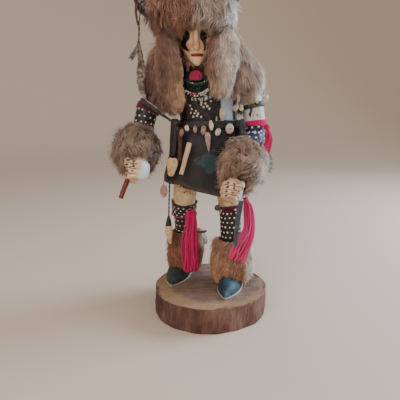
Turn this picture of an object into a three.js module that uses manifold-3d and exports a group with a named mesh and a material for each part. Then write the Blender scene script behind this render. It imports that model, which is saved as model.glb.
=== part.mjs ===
// Carved wooden kachina dancer, about 46 cm tall, standing on a slice of log.
// Millimetres. +Z is up, the figure's face looks along -Y, +X is the figure's own left side.
// The origin is the centre of the underside of the log slice.
// "right" and "left" in the names are the figure's own right and left.
import * as THREE from 'three';
import { mergeVertices } from 'three/addons/utils/BufferGeometryUtils.js';
import Module from 'manifold-3d';

const wasm = await Module();
wasm.setup();
const { Manifold, Mesh } = wasm;

// ---------------------------------------------------------------- driving sizes
const GAP = 0.35;            // clearance between two pieces that touch
const BASE_H = 36;           // thickness of the log slice
const BASE_RX = 81.5;        // half width of the slice
const BASE_RY = 78.5;        // half depth of the slice
const SOLE_Z = BASE_H + 0.3; // the soles stand on the sawn face
const HEM_SLOPE = -0.155;    // the kilt's hem runs lower towards the figure's left
const HEM_Z0 = 175.5;        // height of the hem on the centre line
const LEATHER = 1.6;         // thickness of the kilt's leather
const BELT_Z = [263.5, 273.5];
const HAT_TOP = 455;
const YARN_R = 1.3;

// ---------------------------------------------------------------- small maths
const V = (x, y, z) => new THREE.Vector3(x, y, z);
const lerp = (a, b, t) => a + (b - a) * t;

// Catmull-Rom through rows of numbers, `per` steps between two rows.
function spline(rows, per) {
  const out = [];
  const n = rows.length;
  for (let i = 0; i < n - 1; i++) {
    const p0 = rows[Math.max(i - 1, 0)], p1 = rows[i], p2 = rows[i + 1], p3 = rows[Math.min(i + 2, n - 1)];
    for (let k = 0; k < per; k++) {
      const t = k / per;
      out.push(p1.map((_, j) => 0.5 * ((2 * p1[j]) + (-p0[j] + p2[j]) * t
        + (2 * p0[j] - 5 * p1[j] + 4 * p2[j] - p3[j]) * t * t
        + (-p0[j] + 3 * p1[j] - 3 * p2[j] + p3[j]) * t * t * t)));
    }
  }
  out.push(rows[n - 1].slice());
  return out;
}

// ---------------------------------------------------------------- solids
function toSolid(geometry) {
  let g = geometry.clone();
  g.deleteAttribute('normal');
  g.deleteAttribute('uv');
  g = mergeVertices(g, 1e-4);
  // the faces are turned outwards if the rings ran the other way
  const p = g.attributes.position.array, t = g.index.array;
  let volume = 0;
  const a = V(0, 0, 0), b = V(0, 0, 0), c = V(0, 0, 0);
  for (let i = 0; i < t.length; i += 3) {
    a.fromArray(p, 3 * t[i]); b.fromArray(p, 3 * t[i + 1]); c.fromArray(p, 3 * t[i + 2]);
    volume += a.dot(b.cross(c));
  }
  if (volume < 0) for (let i = 0; i < t.length; i += 3) { const k = t[i]; t[i] = t[i + 1]; t[i + 1] = k; }
  const s = new Manifold(new Mesh({
    numProp: 3,
    vertProperties: new Float32Array(g.attributes.position.array),
    triVerts: new Uint32Array(g.index.array),
  }));
  return s;
}

function toGeometry(solid) {
  const m = solid.getMesh();
  const pos = new Float32Array(m.numVert * 3);
  for (let i = 0; i < m.numVert; i++) {
    for (let k = 0; k < 3; k++) pos[3 * i + k] = m.vertProperties[m.numProp * i + k];
  }
  const g = new THREE.BufferGeometry();
  g.setAttribute('position', new THREE.BufferAttribute(pos, 3));
  g.setIndex(new THREE.BufferAttribute(new Uint32Array(m.triVerts), 1));
  g.computeVertexNormals();
  return g;
}

// A closed skin over rings of points. Every ring has the same number of points.
function skin(rings) {
  const n = rings[0].length;
  const pos = [];
  for (const r of rings) for (const p of r) pos.push(p.x, p.y, p.z);
  const mid = (r) => r.reduce((s, p) => s.add(p), V(0, 0, 0)).multiplyScalar(1 / n);
  const a = pos.length / 3;
  const c0 = mid(rings[0]), c1 = mid(rings[rings.length - 1]);
  pos.push(c0.x, c0.y, c0.z, c1.x, c1.y, c1.z);
  const idx = [];
  for (let i = 0; i < rings.length - 1; i++) {
    for (let j = 0; j < n; j++) {
      const k = (j + 1) % n;
      const p = i * n + j, q = i * n + k, r = (i + 1) * n + j, s = (i + 1) * n + k;
      idx.push(p, q, r, q, s, r);
    }
  }
  const last = (rings.length - 1) * n;
  for (let j = 0; j < n; j++) {
    const k = (j + 1) % n;
    idx.push(a, k, j);
    idx.push(a + 1, last + j, last + k);
  }
  const g = new THREE.BufferGeometry();
  g.setAttribute('position', new THREE.Float32BufferAttribute(pos, 3));
  g.setIndex(idx);
  return g;
}

// A limb: rows of [x, y, z, a, b], a half-width along `ref`, b across it. The ends are domed.
function limb(rows, { sides = 14, per = 2, ref = V(1, 0, 0), grow = 0, power = 2, dome = 0.55, flat0 = false, flat1 = false } = {}) {
  const pts = spline(rows, per);
  const rings = [];
  const tangent = (i) => {
    const p = pts[Math.max(i - 1, 0)], q = pts[Math.min(i + 1, pts.length - 1)];
    return V(q[0] - p[0], q[1] - p[1], q[2] - p[2]).normalize();
  };
  const ring = (c, t, a, b) => {
    const u = ref.clone().addScaledVector(t, -ref.dot(t)).normalize();
    const v = t.clone().cross(u);
    const r = [];
    for (let j = 0; j < sides; j++) {
      const th = (2 * Math.PI * j) / sides;
      const cs = Math.cos(th), sn = Math.sin(th);
      const e = 2 / power;
      const x = Math.sign(cs) * Math.abs(cs) ** e * a, y = Math.sign(sn) * Math.abs(sn) ** e * b;
      r.push(c.clone().addScaledVector(u, x).addScaledVector(v, y));
    }
    return r;
  };
  pts.forEach((p, i) => {
    const t = tangent(i);
    const c = V(p[0], p[1], p[2]);
    const a = Math.max(p[3] + grow, 0.4), b = Math.max(p[4] + grow, 0.4);
    if (i === 0 && !flat0) {
      const h = Math.min(a, b) * dome;
      rings.push(ring(c.clone().addScaledVector(t, -h - grow), t, a * 0.35, b * 0.35));
      rings.push(ring(c.clone().addScaledVector(t, -h * 0.62 - grow * 0.6), t, a * 0.78, b * 0.78));
    }
    rings.push(ring(c, t, a, b));
    if (i === pts.length - 1 && !flat1) {
      const h = Math.min(a, b) * dome;
      rings.push(ring(c.clone().addScaledVector(t, h * 0.62 + grow * 0.6), t, a * 0.78, b * 0.78));
      rings.push(ring(c.clone().addScaledVector(t, h + grow), t, a * 0.35, b * 0.35));
    }
  });
  return toSolid(skin(rings));
}

// Level sections: rows of [z, cx, cy, rx, ry].
function stack(rows, { sides = 20, per = 1, grow = 0, power = 2, wave = 0, waves = 9 } = {}) {
  const pts = spline(rows, per);
  const rings = pts.map(([z, cx, cy, rx, ry], i) => {
    const r = [];
    const zz = z + (i === 0 ? -grow : i === pts.length - 1 ? grow : 0);
    for (let j = 0; j < sides; j++) {
      const th = (2 * Math.PI * j) / sides;
      const cs = Math.cos(th), sn = Math.sin(th), e = 2 / power;
      const w = 1 + wave * Math.sin(waves * th + i * 0.8);
      r.push(V(cx + Math.sign(cs) * Math.abs(cs) ** e * Math.max(rx + grow, 0.4) * w,
        cy + Math.sign(sn) * Math.abs(sn) ** e * Math.max(ry + grow, 0.4) * w, zz));
    }
    return r;
  });
  return toSolid(skin(rings));
}

// A flat strap along a path. `side` is the direction of its width.
function ribbon(rows, side, width, thick, per = 1) {
  const pts = spline(rows, per);
  const n = pts.length;
  const rings = pts.map((p, i) => {
    const a = pts[Math.max(i - 1, 0)], b = pts[Math.min(i + 1, n - 1)];
    const t = V(b[0] - a[0], b[1] - a[1], b[2] - a[2]).normalize();
    const s = side.clone().addScaledVector(t, -side.dot(t)).normalize();
    const o = t.clone().cross(s);
    const f = typeof width === 'function' ? width(i / (n - 1)) : width;
    const c = V(p[0], p[1], p[2]);
    return [[-1, -1], [1, -1], [1, 1], [-1, 1]].map(([u, v]) => c.clone().addScaledVector(s, (u * f) / 2).addScaledVector(o, (v * thick) / 2));
  });
  return toSolid(skin(rings));
}

// A round cord or tube along a path of points.
function tube(points, radius, sides = 8, steps = null) {
  const curve = new THREE.CatmullRomCurve3(points.map((p) => V(...p)), false, 'centripetal');
  const shape = new THREE.Shape();
  for (let i = 0; i < sides; i++) {
    const a = (2 * Math.PI * i) / sides;
    const x = radius * Math.cos(a), y = radius * Math.sin(a);
    if (i === 0) shape.moveTo(x, y); else shape.lineTo(x, y);
  }
  shape.closePath();
  const n = steps || Math.max(4, Math.round(curve.getLength() / (radius * 5)));
  return toSolid(new THREE.ExtrudeGeometry(shape, { steps: n, bevelEnabled: false, extrudePath: curve, curveSegments: 1 }));
}

function egg(c, r, { seg = 10, rows = 6, rot = [0, 0, 0] } = {}) {
  const g = new THREE.SphereGeometry(1, seg, rows);
  g.scale(...r);
  g.rotateX(rot[0]);
  g.rotateY(rot[1]);
  g.rotateZ(rot[2]);
  g.translate(...c);
  return toSolid(g);
}

function box(x0, x1, y0, y1, z0, z1, matrix = null) {
  const g = new THREE.BoxGeometry(x1 - x0, y1 - y0, z1 - z0);
  g.translate((x0 + x1) / 2, (y0 + y1) / 2, (z0 + z1) / 2);
  if (matrix) g.applyMatrix4(matrix);
  return toSolid(g);
}

// A slab of thickness w centred on point c, with normal n.
function slab(c, n, w, size = 300) {
  const q = new THREE.Quaternion().setFromUnitVectors(V(0, 0, 1), n.clone().normalize());
  const m = new THREE.Matrix4().compose(V(...c), q, V(1, 1, 1));
  return box(-size, size, -size, size, -w / 2, w / 2, m);
}

function join(list) {
  return list.reduce((a, b) => a.add(b));
}

function cut(solid, ...others) {
  return others.reduce((a, b) => a.subtract(b), solid);
}

// Only the largest body of a cut solid is kept, crumbs are dropped.
function whole(solid) {
  const parts = solid.decompose();
  if (parts.length < 2) return solid;
  return parts.sort((a, b) => b.volume() - a.volume())[0];
}

// ---------------------------------------------------------------- the carved figure
const TORSO = [
  [168, -5, 14, 26, 17], [178, -5, 14, 39, 23], [206, -5, 14, 44, 27], [240, -3.5, 12.5, 42, 25.5], [270, -3, 12, 39, 23.5], [286, -4, 12, 40, 24],
  [300, -6, 12, 45, 25], [313, -9, 12, 53, 25], [323, -11, 12, 53, 22.5], [331, -12, 11.5, 42, 18.5], [336, -13, 11, 28, 15],
];
const NECK = [[-13, 10, 326, 16, 15], [-16, 6, 340, 14, 14], [-19, 3, 356, 14, 15]];
const HEAD = [
  [339.5, -18.5, -19, 2.5, 2.5], [343, -18.8, -17, 6, 6.5], [348, -19, -9, 10.5, 14.5], [354, -19.3, -3, 15, 20], [362, -19.6, 0, 19, 23.5],
  [372, -20, 2, 22.5, 26], [384, -20.5, 3, 24, 27], [396, -21, 4, 23, 25.5], [405, -21.5, 5, 18, 20], [411, -22, 5, 9, 10],
];
const NOSE = [[-20, -26.5, 387, 3.2, 3.2], [-19.7, -28, 374, 3.8, 4.2], [-19.4, -28, 364, 4.6, 5.2], [-19.4, -25, 359.5, 3.8, 3.6]];
const UPPER_ARM_R = [[-56, 12, 316, 16, 16], [-71, 11, 307, 15, 15], [-84.5, 8, 290, 14.5, 14.5], [-90.5, 4, 270, 14, 14], [-92.5, 2, 258, 13.5, 13.5]];
const FOREARM_R = [[-92.5, 3, 257, 13, 13], [-94, -16, 240, 12.5, 12.5], [-95.5, -34, 224, 11, 11], [-96, -44, 215, 10, 10]];
const UPPER_ARM_L = [[38, 12, 318, 17, 17], [50, 12, 308, 15.5, 15.5], [57, 11, 290, 14.5, 14.5], [60, 8, 266, 14, 14], [60, 5, 250, 13.5, 13.5]];
const FOREARM_L = [[60, 4, 249, 13, 13], [50, -18, 230, 12.5, 12.5], [38, -42, 209, 11, 11], [31, -54, 198, 10, 10]];
const HAND_R = { size: 1.16, c: [-95.5, -51, 213], along: V(0.02, -0.5, -0.86), across: V(0.96, -0.1, 0.25) };
const HAND_L = { size: 1.04, c: [25.5, -62, 190.5], along: V(-0.25, -0.45, -0.85), across: V(0.97, -0.15, -0.18) };
const LEG_R = [[-27, 17, 205, 19, 19], [-34, 21, 188, 18, 18], [-37.5, 26, 165, 16.8, 16.8], [-38.5, 31, 140, 15.5, 15.5], [-38.5, 35, 112, 14.5, 14.5], [-40, 39, 82, 13, 13], [-42, 42, 56, 13.5, 13.5], [-42.5, 43, 48, 12.5, 12.5]];
const LEG_L = [[14, 12, 205, 19, 19], [22, 9, 188, 17.5, 17.5], [26, 7.5, 165, 16, 16], [28.5, 6, 140, 15.2, 15.2], [29.5, 5, 112, 14.5, 14.5], [31, 5, 82, 13, 13], [32, 6, 56, 13.5, 13.5], [32.5, 7, 48, 12.5, 12.5]];
// A shoe: heel and toe on the sawn face, then rows of [share of length, half width, height].
const SHOE = [[0, 5, 16], [0.06, 11, 24], [0.2, 15, 30], [0.4, 17.2, 28], [0.58, 17, 23], [0.74, 14, 18.5], [0.87, 8.8, 13.5], [0.96, 3.6, 8.5], [1, 1, 5.5]];
const SHOE_R = { heel: [-39.5, 66], toe: [-57, -11] };
const SHOE_L = { heel: [38.5, 31], toe: [19, -51] };

function shoe({ heel, toe }, grow = 0) {
  const d = V(toe[0] - heel[0], toe[1] - heel[1], 0);
  const len = d.length();
  d.normalize();
  const side = V(-d.y, d.x, 0);
  const rings = SHOE.map(([s, w, h], i) => {
    const ext = i === 0 ? -grow : i === SHOE.length - 1 ? grow : 0;
    const c = V(heel[0], heel[1], SOLE_Z).addScaledVector(d, s * len + ext);
    const ww = w + grow, hh = h + grow;
    const out = [];
    // the sole is flat, the upper is a low arch with a small welt where they meet
    const outline = [[-1, 0], [-1, 0.11], [-0.88, 0.4], [-0.58, 0.8], [0, 1], [0.58, 0.8], [0.88, 0.4], [1, 0.11], [1, 0]];
    for (const [u, v] of outline) out.push(c.clone().addScaledVector(side, u * ww).add(V(0, 0, v * hh - (v === 0 ? grow : 0))));
    return out;
  });
  return toSolid(skin(rings));
}

// A closed fist: one skin whose front swells into four finger ridges, and a thumb laid over them.
function fist({ size, c, along, across }, grow = 0) {
  const t = along.clone().normalize();
  const u = across.clone().addScaledVector(t, -across.dot(t)).normalize();
  const o = t.clone().cross(u).normalize();
  if (o.y > 0) o.negate();
  const at = (a, b, e) => V(...c).addScaledVector(t, a * size).addScaledVector(u, b * size).addScaledVector(o, e * size);
  const profile = [[-14, 6, 5, 0.9], [-11.5, 9.5, 7.5, 1], [-8.8, 11.6, 9.2, 0.86], [-6, 12.4, 9.8, 1.1], [-3.2, 12.6, 9.8, 0.9], [-0.6, 12.8, 9.8, 1.13], [2.2, 12.6, 9.6, 0.91],
    [4.8, 12.4, 9.4, 1.12], [7.4, 11.8, 9, 0.9], [10, 11, 8.4, 1.08], [12.6, 8.6, 6.6, 1], [14, 5, 4, 1]];
  const sides = 12;
  const rings = profile.map(([a, w, h, k], i) => Array.from({ length: sides }, (_, j) => {
    const th = (2 * Math.PI * j) / sides, cs = Math.cos(th), sn = Math.sin(th);
    const f = sn > 0.1 ? k : 1;
    const end = i === 0 ? -grow : i === profile.length - 1 ? grow : 0;
    return at(a + end / size, cs * (w + grow / size), sn * (h * f + grow / size));
  }));
  const row = (p, a, b) => [p.x, p.y, p.z, a, b];
  const thumb = limb([row(at(-10, 8, 3), 3.4 * size, 3.4 * size), row(at(-3.5, 8.4, 8.4), 3.5 * size, 3.5 * size), row(at(4, 4.4, 10.6), 2.6 * size, 2.6 * size)], { sides: 6, per: 1, ref: t, grow, flat0: true, flat1: true });
  return toSolid(skin(rings)).add(thumb);
}

// An arm is one run of sections from the shoulder through the bent elbow to the wrist.
function arm(upper, fore, grow) {
  return limb([...upper, ...fore.slice(1)], { sides: 10, per: 1, grow, flat0: true, flat1: true });
}
const leg = (rows, grow) => limb(rows, { sides: 12, per: 1, grow, flat0: true, flat1: true });

function figure(grow = 0) {
  const parts = [
    stack(TORSO, { sides: 20, grow, power: 2.25 }),
    limb(NECK, { sides: 12, per: 1, grow, flat0: true, flat1: true }),
    stack(HEAD, { sides: 16, grow, power: 2.1 }),
    limb(NOSE, { sides: 8, per: 1, grow, flat0: true, flat1: true }),
    arm(UPPER_ARM_R, FOREARM_R, grow),
    arm(UPPER_ARM_L, FOREARM_L, grow),
    fist(HAND_R, grow),
    fist(HAND_L, grow),
    leg(LEG_R, grow),
    leg(LEG_L, grow),
    shoe(SHOE_R, grow),
    shoe(SHOE_L, grow),
  ];
  return join(parts);
}

// ---------------------------------------------------------------- fur, leather and trim
const HAT = [
  [373, -21, 9, 43, 36], [380, -22.5, 8, 52.5, 43.5], [392, -24, 8, 58, 47.5], [410, -25, 8, 59.5, 48.5], [427, -25, 8, 54.5, 45.5],
  [441, -25, 8, 44, 37.5], [450, -25, 8, 30, 26], [HAT_TOP, -25, 8, 12, 11],
];
const FALL_R = [[-51, -19, 391, 12, 8], [-55, -24, 372, 17.5, 11], [-55, -27, 350, 20.5, 12], [-50, -29, 328, 19, 11], [-44, -28, 306, 14, 8.5], [-40, -26, 291, 7, 5.5]];
const FALL_L = [[10, -19, 391, 14, 8], [12, -24, 372, 18.5, 11], [13, -27, 350, 19.5, 12], [14, -29, 330, 18, 11], [15, -28, 312, 13.5, 8.5], [15, -26, 301, 7, 5.5]];
const CAPE = [
  [287, -12, 17, 66, 40], [294, -11, 17, 76, 45], [306, -10.5, 17, 79.5, 47], [324, -10.5, 17, 79.5, 46.5], [342, -11.5, 16, 74.5, 44], [358, -14, 14.5, 65, 39], [371, -18, 13, 49, 32.5],
];
const CUFF_R = [[-94, 2, 257, 19, 19], [-97, -8, 248, 27, 27], [-98.5, -20, 236, 28.5, 28.5], [-98.5, -32, 224, 27, 27], [-97.5, -40, 217, 18, 18]];
const CUFF_L = [[56, 0, 244, 18, 18], [50, -12, 234, 26.5, 26.5], [42, -26, 220, 28.5, 28.5], [35, -39, 208, 28, 28], [30.5, -49, 199.5, 19, 19]];
const BOOT_R = [[51, -39, 36, 20, 20], [57, -38, 36, 26.5, 25], [72, -37.5, 36, 29, 27], [90, -37, 35.5, 28.5, 26.5], [105, -37, 35, 25.5, 24], [112, -37.5, 35, 18.5, 18.5]];
const BOOT_L = [[44, 31, 2, 22, 20], [50, 31.5, 2, 29, 27], [66, 32, 3, 31.5, 29], [86, 32, 4, 31, 28.5], [101, 31, 5, 27, 25.5], [108, 30.5, 5, 19, 18.5]];
const KILT = [
  [273.2, -3, 12, 41.3, 25.8], [262, -3, 12, 43.2, 27.4], [245, -5, 12, 47.5, 30], [222, -8, 12, 52, 32.5], [198, -10.5, 12, 55.5, 34.5], [160, -12.5, 12, 58, 36.5],
];

function hemPlane(extra) {
  // everything below the slanted hem
  const a = Math.atan(HEM_SLOPE);
  const m = new THREE.Matrix4().makeRotationY(-a).setPosition(0, 0, HEM_Z0 + extra);
  return box(-200, 200, -200, 200, -200, 0, m);
}

function kilt(grow = 0, thick = LEATHER) {
  const rows = KILT.slice().reverse();
  const outer = stack(rows, { sides: 22, per: 1, grow, power: 2.2 });
  const inner = stack(rows.map(([z, x, y, a, b], i) => [z + (i === 0 ? -3 : i === rows.length - 1 ? 3 : 0), x, y, a - thick, b - thick]), { sides: 22, per: 1, grow: -grow, power: 2.2 });
  return outer.subtract(inner).subtract(hemPlane(-grow));
}

function shell(part, t0, t1) {
  return part(t1).subtract(part(t0));
}

const torsoOnly = (g) => join([stack(TORSO, { sides: 20, grow: g, power: 2.25 }), limb(NECK, { sides: 12, per: 1, grow: g, flat0: true, flat1: true })]);

const nodes = [];
const group = new THREE.Group();
function add(name, solid, color, rough = 0.8, metal = 0) {
  const mesh = new THREE.Mesh(toGeometry(solid), new THREE.MeshStandardMaterial({ color, roughness: rough, metalness: metal }));
  mesh.name = name;
  group.add(mesh);
  nodes.push(name);
  return solid;
}

// ---- the log slice: an out-of-round outline, bark side with shallow furrows
{
  const N = 36;
  const ring = (z, k) => {
    const r = [];
    for (let j = 0; j < N; j++) {
      const th = (2 * Math.PI * j) / N;
      let f = 1 + 0.012 * Math.sin(2 * th + 0.6) + 0.009 * Math.sin(3 * th + 2.1) + 0.006 * Math.sin(7 * th + z * 0.02) + 0.004 * Math.sin(17 * th + 1.3);
      // a chipped notch at the figure's right front
      const d = Math.atan2(Math.sin(th - 3.34), Math.cos(th - 3.34));
      if (z > 20) f -= 0.035 * Math.exp(-(d * d) / 0.006) * (z - 20) / 16;
      r.push(V(BASE_RX * f * k * Math.cos(th), BASE_RY * f * k * Math.sin(th), z));
    }
    return r;
  };
  add('base_log_slice', toSolid(skin([ring(0, 0.985), ring(1.5, 1), ring(20, 1.006), ring(34.6, 1), ring(BASE_H, 0.988)])), 0x8a5a44, 0.85);
}

const figureSolid = figure(0).subtract(box(-200, 200, -200, 200, -10, SOLE_Z));
add('figure_carved', figureSolid, 0xd8cbb8, 0.6);
const figureGrown = figure(GAP);

// ---- horns, right one carrying the thong
const HORN_R = [[-76, 4, 409, 9.2, 9.2], [-84, 3, 412, 8.6, 8.6], [-90, 2, 419, 7.4, 7.4], [-93.5, 1, 429, 5.8, 5.8], [-94.5, 1, 441, 4, 4], [-93, 1, 452, 2.2, 2.2], [-91, 1, 459, 0.9, 0.9]];
const HORN_L = [[22, 6, 427, 9.2, 9.2], [31, 5, 430, 8.6, 8.6], [37.5, 4, 437, 7.4, 7.4], [41, 3, 446, 5.8, 5.8], [42, 3, 456, 4, 4], [40.5, 3, 465, 2.2, 2.2], [38.5, 3, 471, 0.9, 0.9]];
const horn = (rows, grow) => limb(rows, { sides: 9, per: 1, ref: V(0, 1, 0), grow, flat0: true, flat1: true });
add('horn_right', horn(HORN_R, 0), 0x2a2024, 0.45);
add('horn_left', horn(HORN_L, 0), 0x2a2024, 0.45);

const headGrown = join([stack(HEAD, { sides: 16, grow: GAP, power: 2.1 }), limb(NOSE, { sides: 8, per: 1, grow: GAP, flat0: true, flat1: true })]);
const hatSolid = whole(cut(stack(HAT, { sides: 18 }), headGrown, horn(HORN_R, GAP), horn(HORN_L, GAP),
  stack([[360, -20, -40, 13, 30], [381.5, -20, -40, 17, 30]], { sides: 8 })));
add('hat_fur', hatSolid, 0x9a8272, 1);
const hatGrown = stack(HAT, { sides: 18, grow: GAP });

// ---- collar, beads and straps of the chest
const bib = (c) => slab(c, V(0, 0.36, 0.93), 15.5);
const neckRound = stack([[280, -17, 6, 19, 34], [360, -17, 6, 19, 34]], { sides: 20 });
const collarBand = whole(shell(torsoOnly, GAP, 2.3).intersect(bib([-17, -13, 314.5])).intersect(neckRound));
add('collar_beaded', collarBand, 0x16302f, 0.6);
const collarGrown = whole(shell(torsoOnly, 0, 2.3 + GAP).intersect(slab([-17, -13, 314.5], V(0, 0.36, 0.93), 16.3)));

// A string of beads along a curve, one closed skin that swells at every bead.
function beads(points, r, count, sides = 5) {
  const curve = new THREE.CatmullRomCurve3(points.map((p) => V(...p)));
  const rings = [];
  const put = (t, radius) => {
    const c = curve.getPointAt(t), d = curve.getTangentAt(t);
    const u = V(0, 0, 1).addScaledVector(d, -d.z).normalize(), v = d.clone().cross(u);
    rings.push(Array.from({ length: sides }, (_, k) => c.clone()
      .addScaledVector(u, radius * Math.cos((2 * Math.PI * k) / sides)).addScaledVector(v, radius * Math.sin((2 * Math.PI * k) / sides))));
  };
  const half = 0.5 / count;
  for (let i = 0; i < count; i++) {
    const t = (i + 0.5) / count;
    put(t - half, r * 0.45);
    put(t, r);
  }
  put(1, r * 0.45);
  return toSolid(skin(rings));
}
const feltFan = limb([[-20.5, -14.4, 336.5, 5.4, 1.2], [-20.5, -15.4, 333, 8.4, 1.2], [-20.5, -16.7, 328.6, 9.6, 1.2], [-20.5, -18, 324.4, 8.2, 1.2]], { sides: 10, per: 1, flat0: true, flat1: true });
add('collar_felt_fan', feltFan, 0xb01848, 0.95);
add('bead_string_green', whole(cut(beads([[-37.5, -11, 325], [-30, -17.2, 320.8], [-20, -19.4, 319], [-10, -18, 321], [-3.5, -12.5, 325.5]], 1.9, 13), figureGrown, collarGrown, feltFan)), 0x1f6a50, 0.4);
add('bead_string_white', whole(cut(beads([[-36, -14.5, 313.5], [-31, -17.8, 309], [-20, -19.6, 305.8], [-9, -18.6, 309], [-4, -15.5, 313.5]], 2.1, 11), figureGrown, collarGrown)), 0xe8e2dc, 0.4);
add('bead_string_lower', whole(cut(beads([[-25, -16.6, 300.6], [-15, -17.2, 300.2], [-6, -17.2, 302], [2, -16.4, 305]], 1.7, 9), figureGrown, collarGrown)), 0x4c8a70, 0.4);

const strapShell = shell(torsoOnly, GAP, 2);
const front = box(-90, 80, -60, 8, 275, 303.5);
const bandolier = whole(strapShell.intersect(slab([-16, -13, 288.5], V(0.665, 0, 0.747), 8.8)).intersect(box(-90, 80, -60, 60, 274.4, 322)).intersect(box(-45, 60, -60, 11, 270, 330)));
add('bandolier', cut(bandolier, collarGrown, beads([[-25, -16.6, 300.6], [-15, -17.2, 300.2], [-6, -17.2, 302], [2, -16.4, 305]], 2.1, 9)), 0x2c2a2c, 0.5);
const bandolierGrown = shell(torsoOnly, 0, 2 + GAP).intersect(slab([-16, -13, 288.5], V(0.665, 0, 0.747), 9.5)).intersect(box(-45.5, 60.5, -60, 11.5, 273, 323));
add('chest_strap_right', whole(cut(strapShell.intersect(box(-36, -29.6, -60, 0, 275, 299)), bandolierGrown)), 0x4a3138, 0.6);
add('chest_tie', whole(cut(strapShell.intersect(slab([9.2, -12, 290], V(0.985, 0, 0.17), 7.6)).intersect(box(-40, 60, -60, 0, 275, 304)), bandolierGrown)), 0x24242a, 0.6);
add('side_strap_left', whole(cut(strapShell.intersect(box(31, 36.5, -60, 2, 275, 298)), bandolierGrown)), 0x15181c, 0.6);

// ---- kilt and belt
add('kilt_leather', whole(cut(kilt(0), figureGrown)), 0x1c1a1e, 0.55);
const beltPart = (g) => stack(KILT.slice(0, 3).reverse(), { sides: 22, grow: g, power: 2.2 });
const belt = whole(shell(beltPart, GAP, 2.6).intersect(box(-90, 90, -60, 60, BELT_Z[0], BELT_Z[1])));
const beltTop = stack([[BELT_Z[0], -3, 12, 45.4, 29.8], [BELT_Z[1], -3, 12, 44.2, 28.6]], { sides: 22, power: 2.2 })
  .subtract(stack(KILT.slice(0, 3).reverse(), { sides: 22, grow: GAP, power: 2.2 }).intersect(box(-90, 90, -60, 60, 200, 273.9)))
  .subtract(torsoOnly(GAP));
const beltSolid = whole(cut(beltTop, strapShell.intersect(box(-90, 90, -60, 60, 270, 290))));
add('belt', beltSolid, 0x17161a, 0.5);

// ---- things hung from the belt
const kiltY = (x, z) => {
  // y of the kilt's front face at x, z
  let k = KILT[KILT.length - 1];
  for (let i = 0; i < KILT.length - 1; i++) {
    if (z <= KILT[i][0] && z >= KILT[i + 1][0]) {
      const f = (KILT[i][0] - z) / (KILT[i][0] - KILT[i + 1][0]);
      k = KILT[i].map((v, j) => lerp(v, KILT[i + 1][j], f));
    }
  }
  const u = Math.min(Math.abs((x - k[1]) / k[3]), 1);
  return k[2] - k[4] * (1 - u ** 2.2) ** (1 / 2.2);
};
const hang = (x, z, off) => [x, kiltY(x, z) - off, z];

const sheathRows = [[-49, -14.8, 262], [-50, -15.6, 252], [-51, -16.4, 240], [-52, -16.6, 228]];
add('sheath_strap', ribbon(sheathRows, V(0.9, -0.43, 0), 9.5, 2.4, 1), 0x141318, 0.5);
const strip2 = [[-40.5, -20.6, 262], [-41, -21.6, 250], [-41.6, -22.6, 236], [-42, -22.8, 222]];
add('sheath_thong_strip', ribbon(strip2, V(0.95, -0.3, 0), 6.2, 1.6, 1), 0x4e3a40, 0.7);
add('bone_pendant', egg([-54.5, -20.5, 214.5], [7.6, 2.6, 13.2], { seg: 12, rows: 8, rot: [0, 0.1, 0.4] }), 0xd9c6a2, 0.45);
add('flat_stick', ribbon([[-28.5, -29.4, 246], [-34, -29.4, 226], [-39.5, -29.4, 205.5]], V(1, 0, 0), 6.4, 2.2, 1), 0xd8cdb4, 0.7);
add('claw_pendant', limb([[-7, -24.9, 258, 5.4, 3.2], [-5.8, -25.2, 250, 4.6, 3], [-4.6, -25.4, 242, 3, 2.4], [-3.8, -25.2, 234, 1.2, 1.2]], { sides: 10, per: 1, flat0: true }), 0xcdb9a8, 0.5);
const shells = [
  ['belt_shell_1', [-39.2, -24.6, 258.6], [2.8, 2, 5], 0xa85a48],
  ['belt_shell_2', [-32.6, -24.4, 265.5], [3.4, 2.2, 3.8], 0xd8cdb0],
  ['belt_shell_4', [-11.5, -23.1, 266.6], [3.9, 2.4, 5.4], 0xb58a84],
  ['belt_shell_5', [0.2, -23.1, 266.6], [2.9, 2.4, 7.6], 0xd2c4bd],
  ['belt_shell_6', [8.4, -22.4, 259.6], [3.4, 2.2, 4.6], 0xc8c2c4],
  ['belt_cabochon', [21, -18.8, 265.8], [4.8, 2.6, 6.2], 0xb59aa4],
];
for (const [name, c, r, col] of shells) add(name, cut(egg(c, r, { seg: 7, rows: 4 }), beltPart(GAP), stack([[BELT_Z[0] - GAP, -3, 12, 45.4 + GAP, 29.8 + GAP], [BELT_Z[1] + GAP, -3, 12, 44.2 + GAP, 28.6 + GAP]], { sides: 22, power: 2.2 })), col, 0.4);
const chestShells = [
  ['chest_shell_right', [-39, -15.5, 290.5], [3, 2.2, 4.8], 0xc9805f],
  ['chest_shell_left', [13.6, -16.6, 281.6], [3.4, 2.4, 7.6], 0xd9b79a],
  ['side_shell_front', [31.6, -11.8, 290.2], [3.2, 2.4, 4.8], 0xd8ac8a],
  ['side_shell_back', [38.6, -8.2, 290.8], [3.2, 2.4, 4.8], 0xe0c2a8],
];
for (const [name, c, r, col] of chestShells) add(name, cut(egg(c, r, { seg: 7, rows: 4 }), torsoOnly(2 + GAP)), col, 0.4);

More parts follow.
